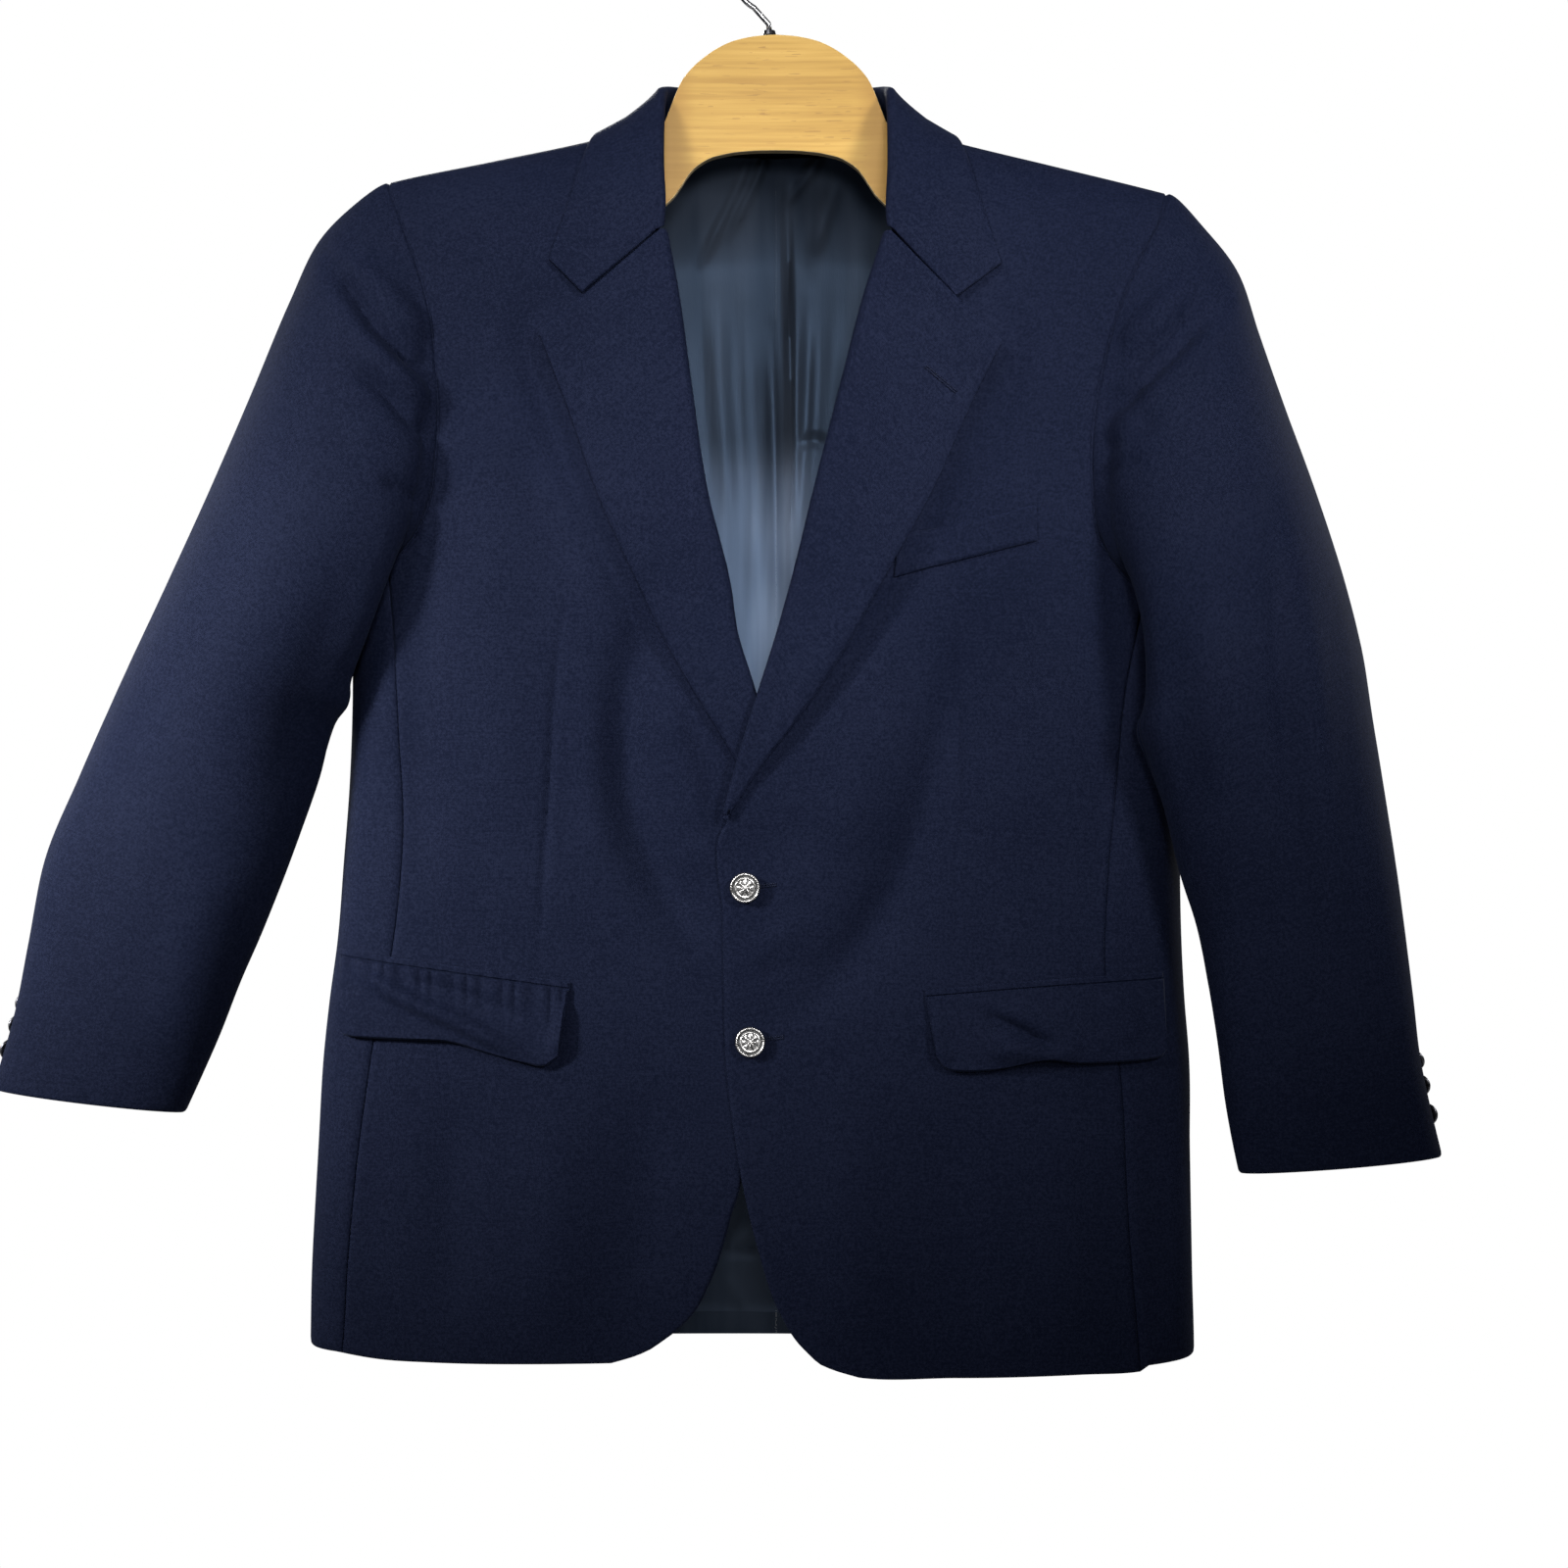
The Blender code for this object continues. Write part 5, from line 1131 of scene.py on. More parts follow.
# ---------------------------------------------------------------- folds

# Each fold: the points it runs through, its half width, how far it stands out at its middle (below zero it is
# a trough), and how far its upper side rises while its lower side sinks.
FRONT_FOLDS = (
    (seen([(584, 292), (536, 338), (560, 430), (598, 520), (646, 625), (700, 730), (738, 790)]), 10, -6.5, 0),
    (seen([(988, 290), (1040, 345), (1016, 440), (972, 520), (900, 630), (822, 735), (768, 800)]), 9, -5.0,
     0),
    (seen([(668, 600), (640, 690), (640, 800), (668, 885), (706, 950), (738, 995)]), 15, -9.5, 0),
    (seen([(612, 690), (606, 800), (622, 900)]), 12, 2.6, 0),
    (seen([(684, 680), (692, 750), (712, 830), (734, 880)]), 9, 3.2, 0),
    (seen([(484, 470), (502, 590), (512, 720), (530, 880)]), 26, 4.6, 0),
    (seen([(440, 560), (428, 700), (424, 830), (432, 950)]), 13, -2.4, 0),
    (seen([(520, 430), (556, 520), (604, 600)]), 14, -4.2, 0),
    (seen([(735, 868), (712, 874), (690, 862)]), 10, 1.6, 0),
    (seen([(1010, 560), (985, 680), (958, 790), (928, 885), (882, 965), (827, 1020), (772, 1048)]), 18,
     -9.5, 0),
    (seen([(905, 690), (880, 790), (850, 870), (800, 930)]), 19, 3.4, 0),
    (seen([(1082, 470), (1072, 600), (1070, 740), (1074, 900)]), 26, 4.6, 0),
    (seen([(1120, 560), (1132, 690), (1128, 830), (1116, 950)]), 13, -2.4, 0),
    (seen([(756, 985), (790, 960), (830, 938)]), 8, 1.8, 0),
    (seen([(772, 1000), (800, 990), (835, 985)]), 7, -1.0, 0),
    (seen([(470, 1100), (462, 1200), (455, 1380)]), 20, -3.4, 0),
    (seen([(560, 1110), (566, 1230), (560, 1385)]), 24, 3.8, 0),
    (seen([(655, 1090), (660, 1200), (650, 1340)]), 22, -3.0, 0),
    (seen([(860, 1110), (868, 1230), (880, 1395)]), 24, 3.4, 0),
    (seen([(960, 1110), (975, 1240), (985, 1400)]), 24, -3.4, 0),
    (seen([(1075, 1110), (1085, 1240), (1090, 1400)]), 24, 3.6, 0),
    (seen([(1180, 1110), (1190, 1230), (1195, 1385)]), 18, -3.0, 0),
    (seen([(360, 1100), (350, 1220), (338, 1370)]), 15, 2.8, 0),
)
BACK_FOLDS = (
    ([(-205, -330), (-165, -400), (-150, -500)], 16, -4.0, 1.6),
    ([(-195, -250), (-170, -330), (-160, -420)], 26, 3.8, 0),
    ([(198, -300), (165, -390), (155, -500)], 18, -4.2, -1.6),
    ([(190, -240), (170, -330), (160, -430)], 24, 3.6, 0),
    ([(-95, -420), (-85, -560), (-70, -700)], 34, -3.6, 0),
    ([(80, -400), (86, -540), (78, -690)], 32, -3.4, 0),
    ([(-40, -610), (-50, -720), (-60, -900)], 30, 3.8, 0),
    ([(62, -600), (70, -740), (84, -905)], 34, 3.6, 0),
    ([(-140, -640), (-150, -760), (-160, -905)], 24, -3.4, 0),
    ([(150, -650), (160, -770), (168, -905)], 26, -3.2, 0),
)
SLEEVE_RIGHT_FOLDS = (  # the wearer's right sleeve, in front
    (seen([(326, 250), (357, 297), (380, 330), (407, 357), (432, 390)], -85), 5.4, -7.6, 3.4),
    (seen([(344, 250), (380, 286), (412, 320), (438, 346)], -85), 7, 5.0, 0),
    (seen([(330, 290), (362, 336), (396, 376), (436, 410)], -85), 9, 3.6, 0),
    (seen([(398, 352), (416, 366), (430, 368), (442, 361)], -80), 4.5, -2.2, 0.6),
    (seen([(352, 366), (387, 394), (413, 424), (444, 450)], -90), 5.0, -6.2, 2.8),
    (seen([(366, 346), (406, 382), (440, 416)], -90), 6, 3.4, 0),
    (seen([(372, 243), (388, 252), (410, 252)], -70), 3, -1.8, 0.6),
    (seen([(386, 484), (404, 496), (434, 515)], -90), 5, -3.0, 1.4),
    (seen([(352, 424), (392, 462), (432, 486)], -90), 10, 2.2, 0),
    (seen([(330, 430), (290, 540), (250, 660), (200, 800)], -95), 26, 3.4, 0),
    (seen([(372, 560), (330, 660), (290, 780), (262, 860)], -90), 18, -3.4, 0),
    (seen([(180, 620), (140, 740), (100, 880), (70, 1030)], -70), 22, -2.4, 0),
    (seen([(230, 860), (196, 960), (160, 1100)], -75), 20, 2.8, 0),
)
SLEEVE_LEFT_FOLDS = (
    (seen([(1250, 298), (1226, 330), (1180, 378), (1120, 428)], -85), 6, -8.6, -4.4),
    (seen([(1252, 322), (1210, 366), (1152, 416)], -88), 9, 5.4, 0),
    (seen([(1236, 284), (1200, 330), (1136, 386)], -85), 5.2, -6.4, -3.6),
    (seen([(1218, 282), (1182, 318), (1142, 352)], -80), 7, 4.4, 0),
    (seen([(1186, 418), (1152, 444), (1118, 462)], -90), 6, -3.8, -1.8),
    (seen([(1172, 464), (1147, 474), (1116, 484)], -90), 5, -2.8, -1.0),
    (seen([(1296, 500), (1305, 640), (1322, 800), (1340, 960)], -95), 9, -4.4, 0),
    (seen([(1322, 560), (1338, 700), (1352, 860), (1372, 1040)], -90), 14, 3.0, 0),
    (seen([(1230, 560), (1246, 700), (1262, 860), (1280, 1020)], -95), 22, 3.4, 0),
    (seen([(1180, 600), (1206, 740), (1230, 860)], -90), 14, -2.8, 0),
    (seen([(1300, 1010), (1312, 1080), (1330, 1170)], -75), 16, -2.4, 0),
)
LINING_FOLDS = (  # these stand out from the back, towards the hollow
    (seen([(786, 150), (768, 190), (742, 238)], 50), 2.6, 3.4, 1.2),
    (seen([(768, 158), (745, 205), (714, 265)], 50), 3.0, 3.0, 1.0),
    (seen([(842, 158), (822, 184), (798, 210)], 50), 2.8, 3.4, -1.2),
    (seen([(860, 175), (845, 210), (828, 262)], 50), 5.0, 2.4, 0),
    (seen([(800, 152), (804, 300), (806, 450), (807, 640)], 50), 2.4, 2.6, 1.6),
    (seen([(730, 290), (735, 400), (748, 560)], 50), 8.0, 1.8, 0),
    (seen([(762, 300), (766, 430), (775, 640)], 50), 7.0, 1.2, 0),
    (seen([(786, 330), (790, 450), (793, 660)], 50), 4.0, -1.6, 0),
    (seen([(826, 300), (822, 420), (812, 600)], 50), 5.0, 2.2, 0),
    (seen([(856, 300), (846, 410), (830, 540)], 50), 8.0, 1.2, 0),
    (seen([(812, 452), (830, 446), (846, 452)], 50), 3.0, -2.0, 0),
    (seen([(738, 1281), (756, 1279), (774, 1282)], 45), 3.0, 2.4, 1.0),
    (seen([(765, 1238), (752, 1258), (736, 1285)], 45), 5.0, 2.6, 0.6),
    (seen([(742, 1300), (748, 1318), (760, 1340)], 45), 4.0, -1.6, 0),
)
FLAP_FOLDS_RIGHT = (
    (seen([(350, 978), (380, 1000), (418, 1022), (462, 1040), (508, 1063), (548, 1084)], -68), 5.0, 5.6,
     -3.4),
    (seen([(372, 976), (410, 996), (462, 1012), (520, 1036), (556, 1060)], -68), 6.0, -2.4, 0),
    (seen([(346, 1010), (352, 1040), (372, 1058)], -68), 8.0, 1.6, 0),
    (seen([(578, 1020), (574, 1050), (562, 1082)], -68), 6.0, 3.6, 0),
)
FLAP_FOLDS_LEFT = (
    (seen([(1000, 1031), (1030, 1046), (1060, 1060), (1094, 1079)], -68), 4.5, -4.6, 2.6),
    (seen([(1014, 1026), (1050, 1042), (1092, 1062)], -68), 6.0, 2.4, 0),
    (seen([(1000, 1072), (1062, 1074), (1112, 1080)], -68), 8.0, 7.0, 0),
    (seen([(952, 1040), (958, 1070), (975, 1088)], -68), 6.0, 2.0, 0),
    (seen([(1130, 1010), (1150, 1040), (1160, 1074)], -68), 9.0, 2.2, 0),
)


FOLD_ENDS = 0.3  # share of a fold's length over which it dies away at each end
FOLD_END_HEIGHT = 0.15  # what is left of it there
LINE_STEPS = 8  # to each of a fold's given points


def folded(x, z, folds):
    """How far the cloth stands out at each place, from a table of folds."""
    total = np.zeros_like(x)
    for points, width, height, lean in folds:
        line = by_row(points)
        line = np.array([line(share) for share in np.linspace(0, 1, LINE_STEPS * len(points))])
        steps = np.linalg.norm(np.diff(line, axis=0), axis=1)
        length = np.concatenate(([0.0], np.cumsum(steps)))
        near = np.full(x.shape, 1e9)
        side = np.zeros_like(x)
        share = np.zeros_like(x)
        for k in range(len(steps)):
            (x0, z0), (x1, z1) = line[k], line[k + 1]
            t = np.clip(((x - x0) * (x1 - x0) + (z - z0) * (z1 - z0)) / steps[k] ** 2, 0, 1)
            away = np.hypot(x - x0 - t * (x1 - x0), z - z0 - t * (z1 - z0))
            closer = away < near
            near = np.where(closer, away, near)
            across = (x1 - x0) * (z - z0) - (z1 - z0) * (x - x0)
            side = np.where(closer, np.sign(across), side)
            share = np.where(closer, (length[k] + t * steps[k]) / length[-1], share)
        ends = soft(np.minimum(share, 1 - share), 0, FOLD_ENDS)
        ends = FOLD_END_HEIGHT + (1 - FOLD_END_HEIGHT) * ends
        reach = np.exp(-((near / width) ** 2))
        total += ends * reach * (height + lean * side * near / width)
    return total


def soft(value, start, end):
    """The same as fade, for arrays."""
    t = np.clip((value - start) / (end - start), 0, 1)
    return t * t * (3 - 2 * t)


BODY_HALF = (275.0, 55.0)  # across and in depth, of the round that the folds stand out from
SIDE_BLEND = 18  # before and behind the middle plane, where the front's folds give way to the back's
FOLDS_FROM = (150, 260)  # below the hook, between which the folds come in


def body_folds(points):
    """Moves points on or beside the body panels out by the folds there: the same for every piece."""
    x, y, z = points[..., 0], points[..., 1], points[..., 2]
    middle = np.vectorize(middle_depth)(x, z)
    forward = soft(middle - y, -SIDE_BLEND, SIDE_BLEND)
    out = folded(x, z, FRONT_FOLDS) * forward + folded(x, z, BACK_FOLDS) * (1 - forward)
    way = np.stack([(x - NECK_MIDDLE) / BODY_HALF[0] ** 2, (y - middle) / BODY_HALF[1] ** 2, x * 0], axis=-1)
    way /= np.maximum(np.linalg.norm(way, axis=-1, keepdims=True), 1e-9)
    return points + way * (out * soft(-z, *FOLDS_FROM))[..., None]


# ---------------------------------------------------------------- fine grids


def hermite(keys, values, at):
    """Values on a smooth curve through all the given ones, at many keys."""
    keys = np.array(keys, float)
    values = np.array(values, float)
    slopes = np.gradient(values, keys, axis=0)
    i = np.clip(np.searchsorted(keys, at, side="right") - 1, 0, len(keys) - 2)
    step = (keys[i + 1] - keys[i]).reshape((-1,) + (1,) * (values.ndim - 1))
    t = ((at - keys[i]) / (keys[i + 1] - keys[i])).reshape(step.shape)
    start = (1 + 2 * t) * (1 - t) ** 2 * values[i] + t * (1 - t) ** 2 * step * slopes[i]
    return start + t * t * (3 - 2 * t) * values[i + 1] + t * t * (t - 1) * step * slopes[i + 1]


def mean_length(grid, axis):
    """Places along one axis of a grid, by the mean length of its steps."""
    steps = np.linalg.norm(np.diff(grid, axis=axis), axis=2).mean(axis=1 - axis)
    return np.concatenate(([0.0], np.cumsum(steps)))


NEAR_EDGE = 1.1  # from a border to the row beside it
SECOND_ROLL = 0.3  # what that row keeps of a border's roll
SHARP_EDGE = 55  # degrees
VIEWER = (0, -1, 0)  # the way to the viewer
REAR = (0, 1, 0)
JOIN = 3  # columns that the closed rings repeat on each side


def finer_rings(rings):
    """Rings made closer together, and closed so that the last column repeats the first."""
    length = mean_length(rings, 0)
    rings = hermite(length, rings, np.linspace(0, length[-1], int(length[-1] / STEP) + 1))
    count = rings.shape[1]
    wide = np.concatenate([rings[:, -JOIN:], rings, rings[:, : JOIN + 1]], axis=1)
    return wide, mean_length(wide, 1), count


def half_of(wide, keys, start, end):
    """The part of the closed rings between two of the coarse columns, made fine."""
    low, high = keys[start + JOIN], keys[end + JOIN]
    places = np.linspace(low, high, int((high - low) / STEP) + 1)
    return np.swapaxes(hermite(keys, np.swapaxes(wide, 0, 1), places), 0, 1)


def finer(grid, across, up):
    """A grid with its columns and rows about the given lengths apart."""
    keys = mean_length(grid, 0)
    grid = hermite(keys, grid, np.linspace(0, keys[-1], int(keys[-1] / up) + 1))
    keys = mean_length(grid, 1)
    places = np.linspace(0, keys[-1], int(keys[-1] / across) + 1)
    return np.swapaxes(hermite(keys, np.swapaxes(grid, 0, 1), places), 0, 1)


def with_edges(points, near=NEAR_EDGE):
    """Adds a row or a column of points close to each border, so that it can be rolled over."""
    for axis in (0, 1):
        grid = np.swapaxes(points, 0, axis)
        first = grid[1] - grid[0]
        last = grid[-2] - grid[-1]
        first = grid[0] + first / np.linalg.norm(first, axis=1, keepdims=True) * near
        last = grid[-1] + last / np.linalg.norm(last, axis=1, keepdims=True) * near
        grid = np.concatenate([grid[:1], first[None], grid[1:-1], last[None], grid[-1:]])
        points = np.swapaxes(grid, 0, axis)
    return points


def facing(grid, way):
    """The directions straight out of a grid, on the side that faces the given way at its middle."""
    normals = np.cross(np.gradient(grid, axis=1), np.gradient(grid, axis=0))
    normals /= np.maximum(np.linalg.norm(normals, axis=2, keepdims=True), 1e-9)
    middle = normals[grid.shape[0] // 2, grid.shape[1] // 2]
    return normals if np.dot(middle, way) > 0 else -normals


def wall(name, inner, normals, thickness, finishes, roll):
    """A wall of cloth: an inner grid, and an outer one whose borders are rolled over."""
    rows, columns = inner.shape[:2]
    depth = np.full((rows, columns), thickness)
    for edge, lost in ((1, roll * SECOND_ROLL), (0, roll)):
        for border in (edge, -1 - edge):
            depth[border] = np.minimum(depth[border], thickness - lost)
            depth[:, border] = np.minimum(depth[:, border], thickness - lost)
    outer = inner + normals * depth[..., None]
    number = np.arange(rows * columns).reshape(rows, columns)
    face = np.stack([number[:-1, :-1], number[:-1, 1:], number[1:, 1:], number[1:, :-1]], axis=-1)
    face = face.reshape(-1, 4)
    border = np.concatenate([number[0, :-1], number[:-1, -1], number[-1, :0:-1], number[:0:-1, 0]])
    after = np.roll(border, -1)
    total = rows * columns
    rim = np.stack([border, border + total, after + total, after], axis=-1)
    faces = np.concatenate([face, rim, face[:, ::-1] + total])
    a, b, c = outer[0, 0], outer[0, 1], outer[1, 1]
    if np.dot(np.cross(b - a, c - a), normals[0, 0]) < 0:
        faces = faces[:, ::-1]
    across, up = mean_length(inner, 1), mean_length(inner, 0)
    flat = np.stack(np.meshgrid(across, up), axis=-1).reshape(-1, 2) * MM
    mesh = bpy.data.meshes.new(name)
    points = np.concatenate([outer.reshape(-1, 3), inner.reshape(-1, 3)]) * MM
    mesh.from_pydata(points.tolist(), [], faces.tolist())
    layer_uv = mesh.uv_layers.new(name="cloth")
    corners = np.zeros(len(mesh.loops), dtype=np.int32)
    mesh.loops.foreach_get("vertex_index", corners)
    layer_uv.data.foreach_set("uv", np.concatenate([flat, flat])[corners].ravel())
    kinds = np.concatenate([np.zeros(len(face) + len(rim), np.int32), np.ones(len(face), np.int32)])
    for material in finishes:
        mesh.materials.append(material)
    mesh.polygons.foreach_set("material_index", kinds)
    mesh.shade_smooth()
    mesh.set_sharp_from_angle(angle=math.radians(SHARP_EDGE))
    mesh.update()
    return linked(name, mesh), outer


def riding(piece, node):
    """Attaches a piece to the root body, and hides the node whose place it takes unless that is None."""
    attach(piece, "root")
    if node:
        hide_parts(node)
    return piece


def cloth(node, points, way, thickness, finishes, folds=body_folds, extra=None):
    """A sheet of cloth that stands for a solid of the part, attached to the root body. Gives back its outer
    grid.
    """
    kind = node.rsplit("_", 1)[0] if node.endswith(("_left", "_right")) else node
    points = folds(with_edges(points)) if folds else with_edges(points)
    normals = facing(points, way)
    if extra is not None:
        points = points + normals * extra(points, normals)[..., None]
        normals = facing(points, way)
    piece, outer = wall(f"{node}_cloth", points, normals, thickness, finishes, ROLLS[kind])
    riding(piece, node)
    return outer


# How far the borders of each kind of piece are rolled over.
ROLLS = {
    "front": 1.25,
    "back": 1.25,
    "side": 1.25,
    "lining": 0.3,
    "topsleeve": 1.1,
    "undersleeve": 1.1,
    "lapel": 0.7,
    "collar": 0.7,
    "pocket_flap": 1.3,
    "pocket_jet": 0.95,
    "breast_welt": 0.8,
}

# ---------------------------------------------------------------- materials


class Finish:
    """A material and short ways to add nodes to it."""

    def __init__(self, name):
        self.material = bpy.data.materials.new(name)
        self.material.use_nodes = True
        self.tree = self.material.node_tree
        self.shader = self.tree.nodes["Principled BSDF"]

    def node(self, kind, inputs=(), **settings):
        made = self.tree.nodes.new(kind)
        for key, value in settings.items():
            setattr(made, key, value)
        for key, value in dict(inputs).items():
            if isinstance(value, bpy.types.NodeSocket):
                self.tree.links.new(value, made.inputs[key])
            else:
                made.inputs[key].default_value = value
        return made

    def math(self, operation, *values):
        return self.node("ShaderNodeMath", dict(enumerate(values)), operation=operation).outputs[0]

    def times(self, *values):
        return self.math("MULTIPLY", *values)

    def plus(self, *values):
        return self.math("ADD", *values)

    def between(self, value, start, end, kind="LINEAR"):
        """0 at start, 1 at end."""
        inputs = {"Value": value, "From Min": start, "From Max": end}
        return self.node("ShaderNodeMapRange", inputs, interpolation_type=kind).outputs[0]

    def wave(self, inputs, way):
        return self.node("ShaderNodeTexWave", inputs, bands_direction=way).outputs["Fac"]

    def place(self, kind="Object", scale=(1, 1, 1), turn=(0, 0, 0)):
        source = self.node("ShaderNodeTexCoord").outputs[kind]
        mapping = self.node("ShaderNodeMapping", {"Vector": source, "Scale": scale, "Rotation": turn})
        return mapping.outputs["Vector"]

    def noise(self, vector, scale, detail=3.0, rough=0.55):
        inputs = {"Vector": vector, "Scale": scale, "Detail": detail, "Roughness": rough}
        return self.node("ShaderNodeTexNoise", inputs).outputs["Fac"]

    def ramp(self, value, *stops):
        made = self.node("ShaderNodeValToRGB", {"Fac": value})
        ramp = made.color_ramp
        while len(ramp.elements) < len(stops):
            ramp.elements.new(0.5)
        for element, (place, colour) in zip(ramp.elements, stops):
            element.position = place
            element.color = (*colour, 1.0)
        return made.outputs["Color"]

    def mix(self, share, a, b, blend="MIX"):
        made = self.node("ShaderNodeMix", data_type="RGBA", blend_type=blend)
        for key, value in ((0, share), (6, a), (7, b)):
            if isinstance(value, bpy.types.NodeSocket):
                self.tree.links.new(value, made.inputs[key])
            else:
                made.inputs[key].default_value = value if key == 0 else (*value, 1.0)
        return made.outputs[2]

    def bump(self, height, strength, distance, before=None):
        inputs = {"Height": height, "Strength": strength, "Distance": distance}
        if before is not None:
            inputs["Normal"] = before
        return self.node("ShaderNodeBump", inputs).outputs["Normal"]

    def set(self, **values):
        for key, value in values.items():
            socket = self.shader.inputs[key.replace("_", " ")]
            if isinstance(value, bpy.types.NodeSocket):
                self.tree.links.new(value, socket)
            else:
                socket.default_value = value
        return self.material


def wool(name, dark, light):
    """Plain-weave worsted: crossing threads, a slight nap and a few specks of lint."""
    f = Finish(name)
    threads = f.place("UV")
    twist = {"Vector": threads, "Scale": 330.0, "Distortion": 0.6, "Detail": 1.0}
    weave = f.times(f.wave(twist, "X"), f.wave(twist, "Y"))
    here = f.place("Object")
    nap = f.noise(here, 600.0, 4.0, 0.7)
    broad = f.noise(here, 9.0, 2.0)
    slub = f.noise(f.place("UV", (40.0, 900.0, 1.0)), 1.0, 2.0)
    tone = f.plus(f.times(nap, 0.72), f.times(broad, 0.13))
    tone = f.plus(tone, f.times(slub, 0.15))
    colour = f.ramp(tone, (0.425, dark), (0.59, light))
    cells = f.node("ShaderNodeTexVoronoi", {"Vector": here, "Scale": 16.0}, feature="F1")
    of_cell = f.node("ShaderNodeSeparateColor", {"Color": cells.outputs["Color"]})
    chosen = f.math("GREATER_THAN", of_cell.outputs[0], 0.93)
    near = f.math("LESS_THAN", cells.outputs["Distance"], 0.016)
    colour = f.mix(f.times(f.times(chosen, near), 0.35), colour, (0.35, 0.37, 0.42))
    height = f.plus(f.times(weave, 0.6), f.times(nap, 0.8))
    normal = f.bump(height, 0.35, 0.0003)
    f.set(Base_Color=colour, Normal=normal, Roughness=0.82, Sheen_Weight=0.012, Sheen_Roughness=0.45,
          Sheen_Tint=(0.45, 0.58, 1.0, 1.0), Specular_IOR_Level=0.05)
    return f.material


def satin(name):
    """Satin lining: blue-grey, with long vertical streaks painted lighter in its colour as painted
    highlights, and painted shade near its top under the collar and near its hem.
    """
    f = Finish(name)
    # Streaks that make a real bump, and also lighten the colour as a painted highlight along the satin's
    # folds.
    streak_and_painted_highlight = f.noise(f.place("Object", (34.0, 10.0, 2.2)), 1.0, 3.0)
    cloud = f.noise(f.place("Object"), 7.0, 2.0)
    threads = f.noise(f.place("Object", (1500.0, 1500.0, 90.0)), 1.0, 2.0)
    tone = f.plus(f.times(streak_and_painted_highlight, 0.65), f.times(cloud, 0.35))
    shades = ((0.37, (0.024, 0.032, 0.050)), (0.49, (0.080, 0.106, 0.158)), (0.62, (0.165, 0.205, 0.285)))
    colour = f.ramp(tone, *shades)
    up = f.node("ShaderNodeSeparateXYZ", {"Vector": f.place("Object")}).outputs[2]
    up = f.plus(up, f.times(cloud, 0.09))
    # Painted shade: the colour goes nearly black towards the lining's top, where the collar and the hanger
    # shade it.
    under_collar = f.between(up, -0.36, -0.25, "SMOOTHSTEP")
    # Painted shade: the colour is darkened towards the lining's hem.
    painted_shade_near_hem = f.between(up, -0.60, -0.75)
    colour = f.mix(f.times(under_collar, 0.94), colour, (0.0028, 0.0038, 0.0060))
    colour = f.mix(f.times(painted_shade_near_hem, 0.80), colour, (0.0080, 0.0120, 0.0200))
    height = f.plus(f.times(threads, 0.05), f.times(streak_and_painted_highlight, 0.9))
    normal = f.bump(height, 0.30, 0.004)
    f.set(Base_Color=colour, Normal=normal, Roughness=0.40, Specular_IOR_Level=0.12,
          Specular_Tint=(0.40, 0.62, 1.0, 1.0))
    return f.material


def plywood(name):
    """Bent plywood under clear lacquer: long grain on its faces, thin layers along its edges, and painted
    shade beside the crown, where the board turns away.
    """
    f = Finish(name)
    grain = f.noise(f.place("Object", (9.0, 60.0, 330.0)), 1.0, 4.0, 0.6)
    figure = f.noise(f.place("Object", (3.0, 8.0, 26.0)), 1.0, 3.0)
    flecks = f.noise(f.place("Object", (70.0, 300.0, 900.0)), 1.0, 1.0)
    tone = f.plus(f.times(grain, 0.55), f.times(figure, 0.45))
    shades = ((0.34, (0.205, 0.110, 0.020)), (0.50, (0.275, 0.163, 0.034)), (0.66, (0.340, 0.212, 0.052)))
    face = f.ramp(tone, *shades)
    face = f.mix(f.times(f.math("GREATER_THAN", flecks, 0.70), 0.45), face, (0.13, 0.06, 0.016))
    here = f.node("ShaderNodeSeparateXYZ", {"Vector": f.place("Object")})
    across = f.math("SUBTRACT", here.outputs[0], WOOD_MIDDLE * MM)
    side = f.math("ABSOLUTE", across)
    # Painted shade: the face is darkened beside the crown, where the board turns away.
    painted_shade_turned_away = f.between(side, 0.050, 0.066, "SMOOTHSTEP")
    face = f.mix(f.times(painted_shade_turned_away, 0.75), face, (0.205, 0.108, 0.020))
    bend = f.times(f.times(across, across), RIDGE_SWEEP / RIDGE_REACH**2 / MM)
    depth = f.plus(here.outputs[1], bend)
    wander = f.times(f.noise(f.place("Object", (30.0, 1.0, 30.0)), 1.0, 2.0), 0.0006)
    layers = f.math("FRACT", f.times(f.plus(depth, wander), 1 / 0.0021))
    edge = f.ramp(layers, (0.0, (0.26, 0.15, 0.05)), (0.16, (0.46, 0.36, 0.20)), (0.80, (0.50, 0.40, 0.24)),
                  (1.0, (0.24, 0.13, 0.04)))
    normal = f.node("ShaderNodeSeparateXYZ", {"Vector": f.node("ShaderNodeTexCoord").outputs["Normal"]})
    flat = f.math("ABSOLUTE", normal.outputs[1])
    is_edge = f.between(flat, 0.86, 0.70)
    colour = f.mix(is_edge, face, edge)
    bump = f.bump(grain, 0.10, 0.0004)
    f.set(Base_Color=colour, Normal=bump, Roughness=0.5, Specular_IOR_Level=0.15,
          Coat_Weight=0.02, Coat_Roughness=0.3)
    return f.material


def metal(name, colour, worn, roughness):
    """Metal with a little tarnish and fine scratches."""
    f = Finish(name)
    tarnish = f.noise(f.place("Object"), 420.0, 4.0, 0.7)
    scratch = f.noise(f.place("Object", (3000.0, 300.0, 300.0)), 1.0, 2.0)
    rough = f.plus(f.times(scratch, 0.18), roughness - 0.09)
    normal = f.bump(tarnish, 0.12, 0.0001)
    tint = f.ramp(tarnish, (0.32, worn), (0.60, colour))
    f.set(Base_Color=tint, Metallic=1.0, Roughness=rough, Normal=normal)
    return f.material


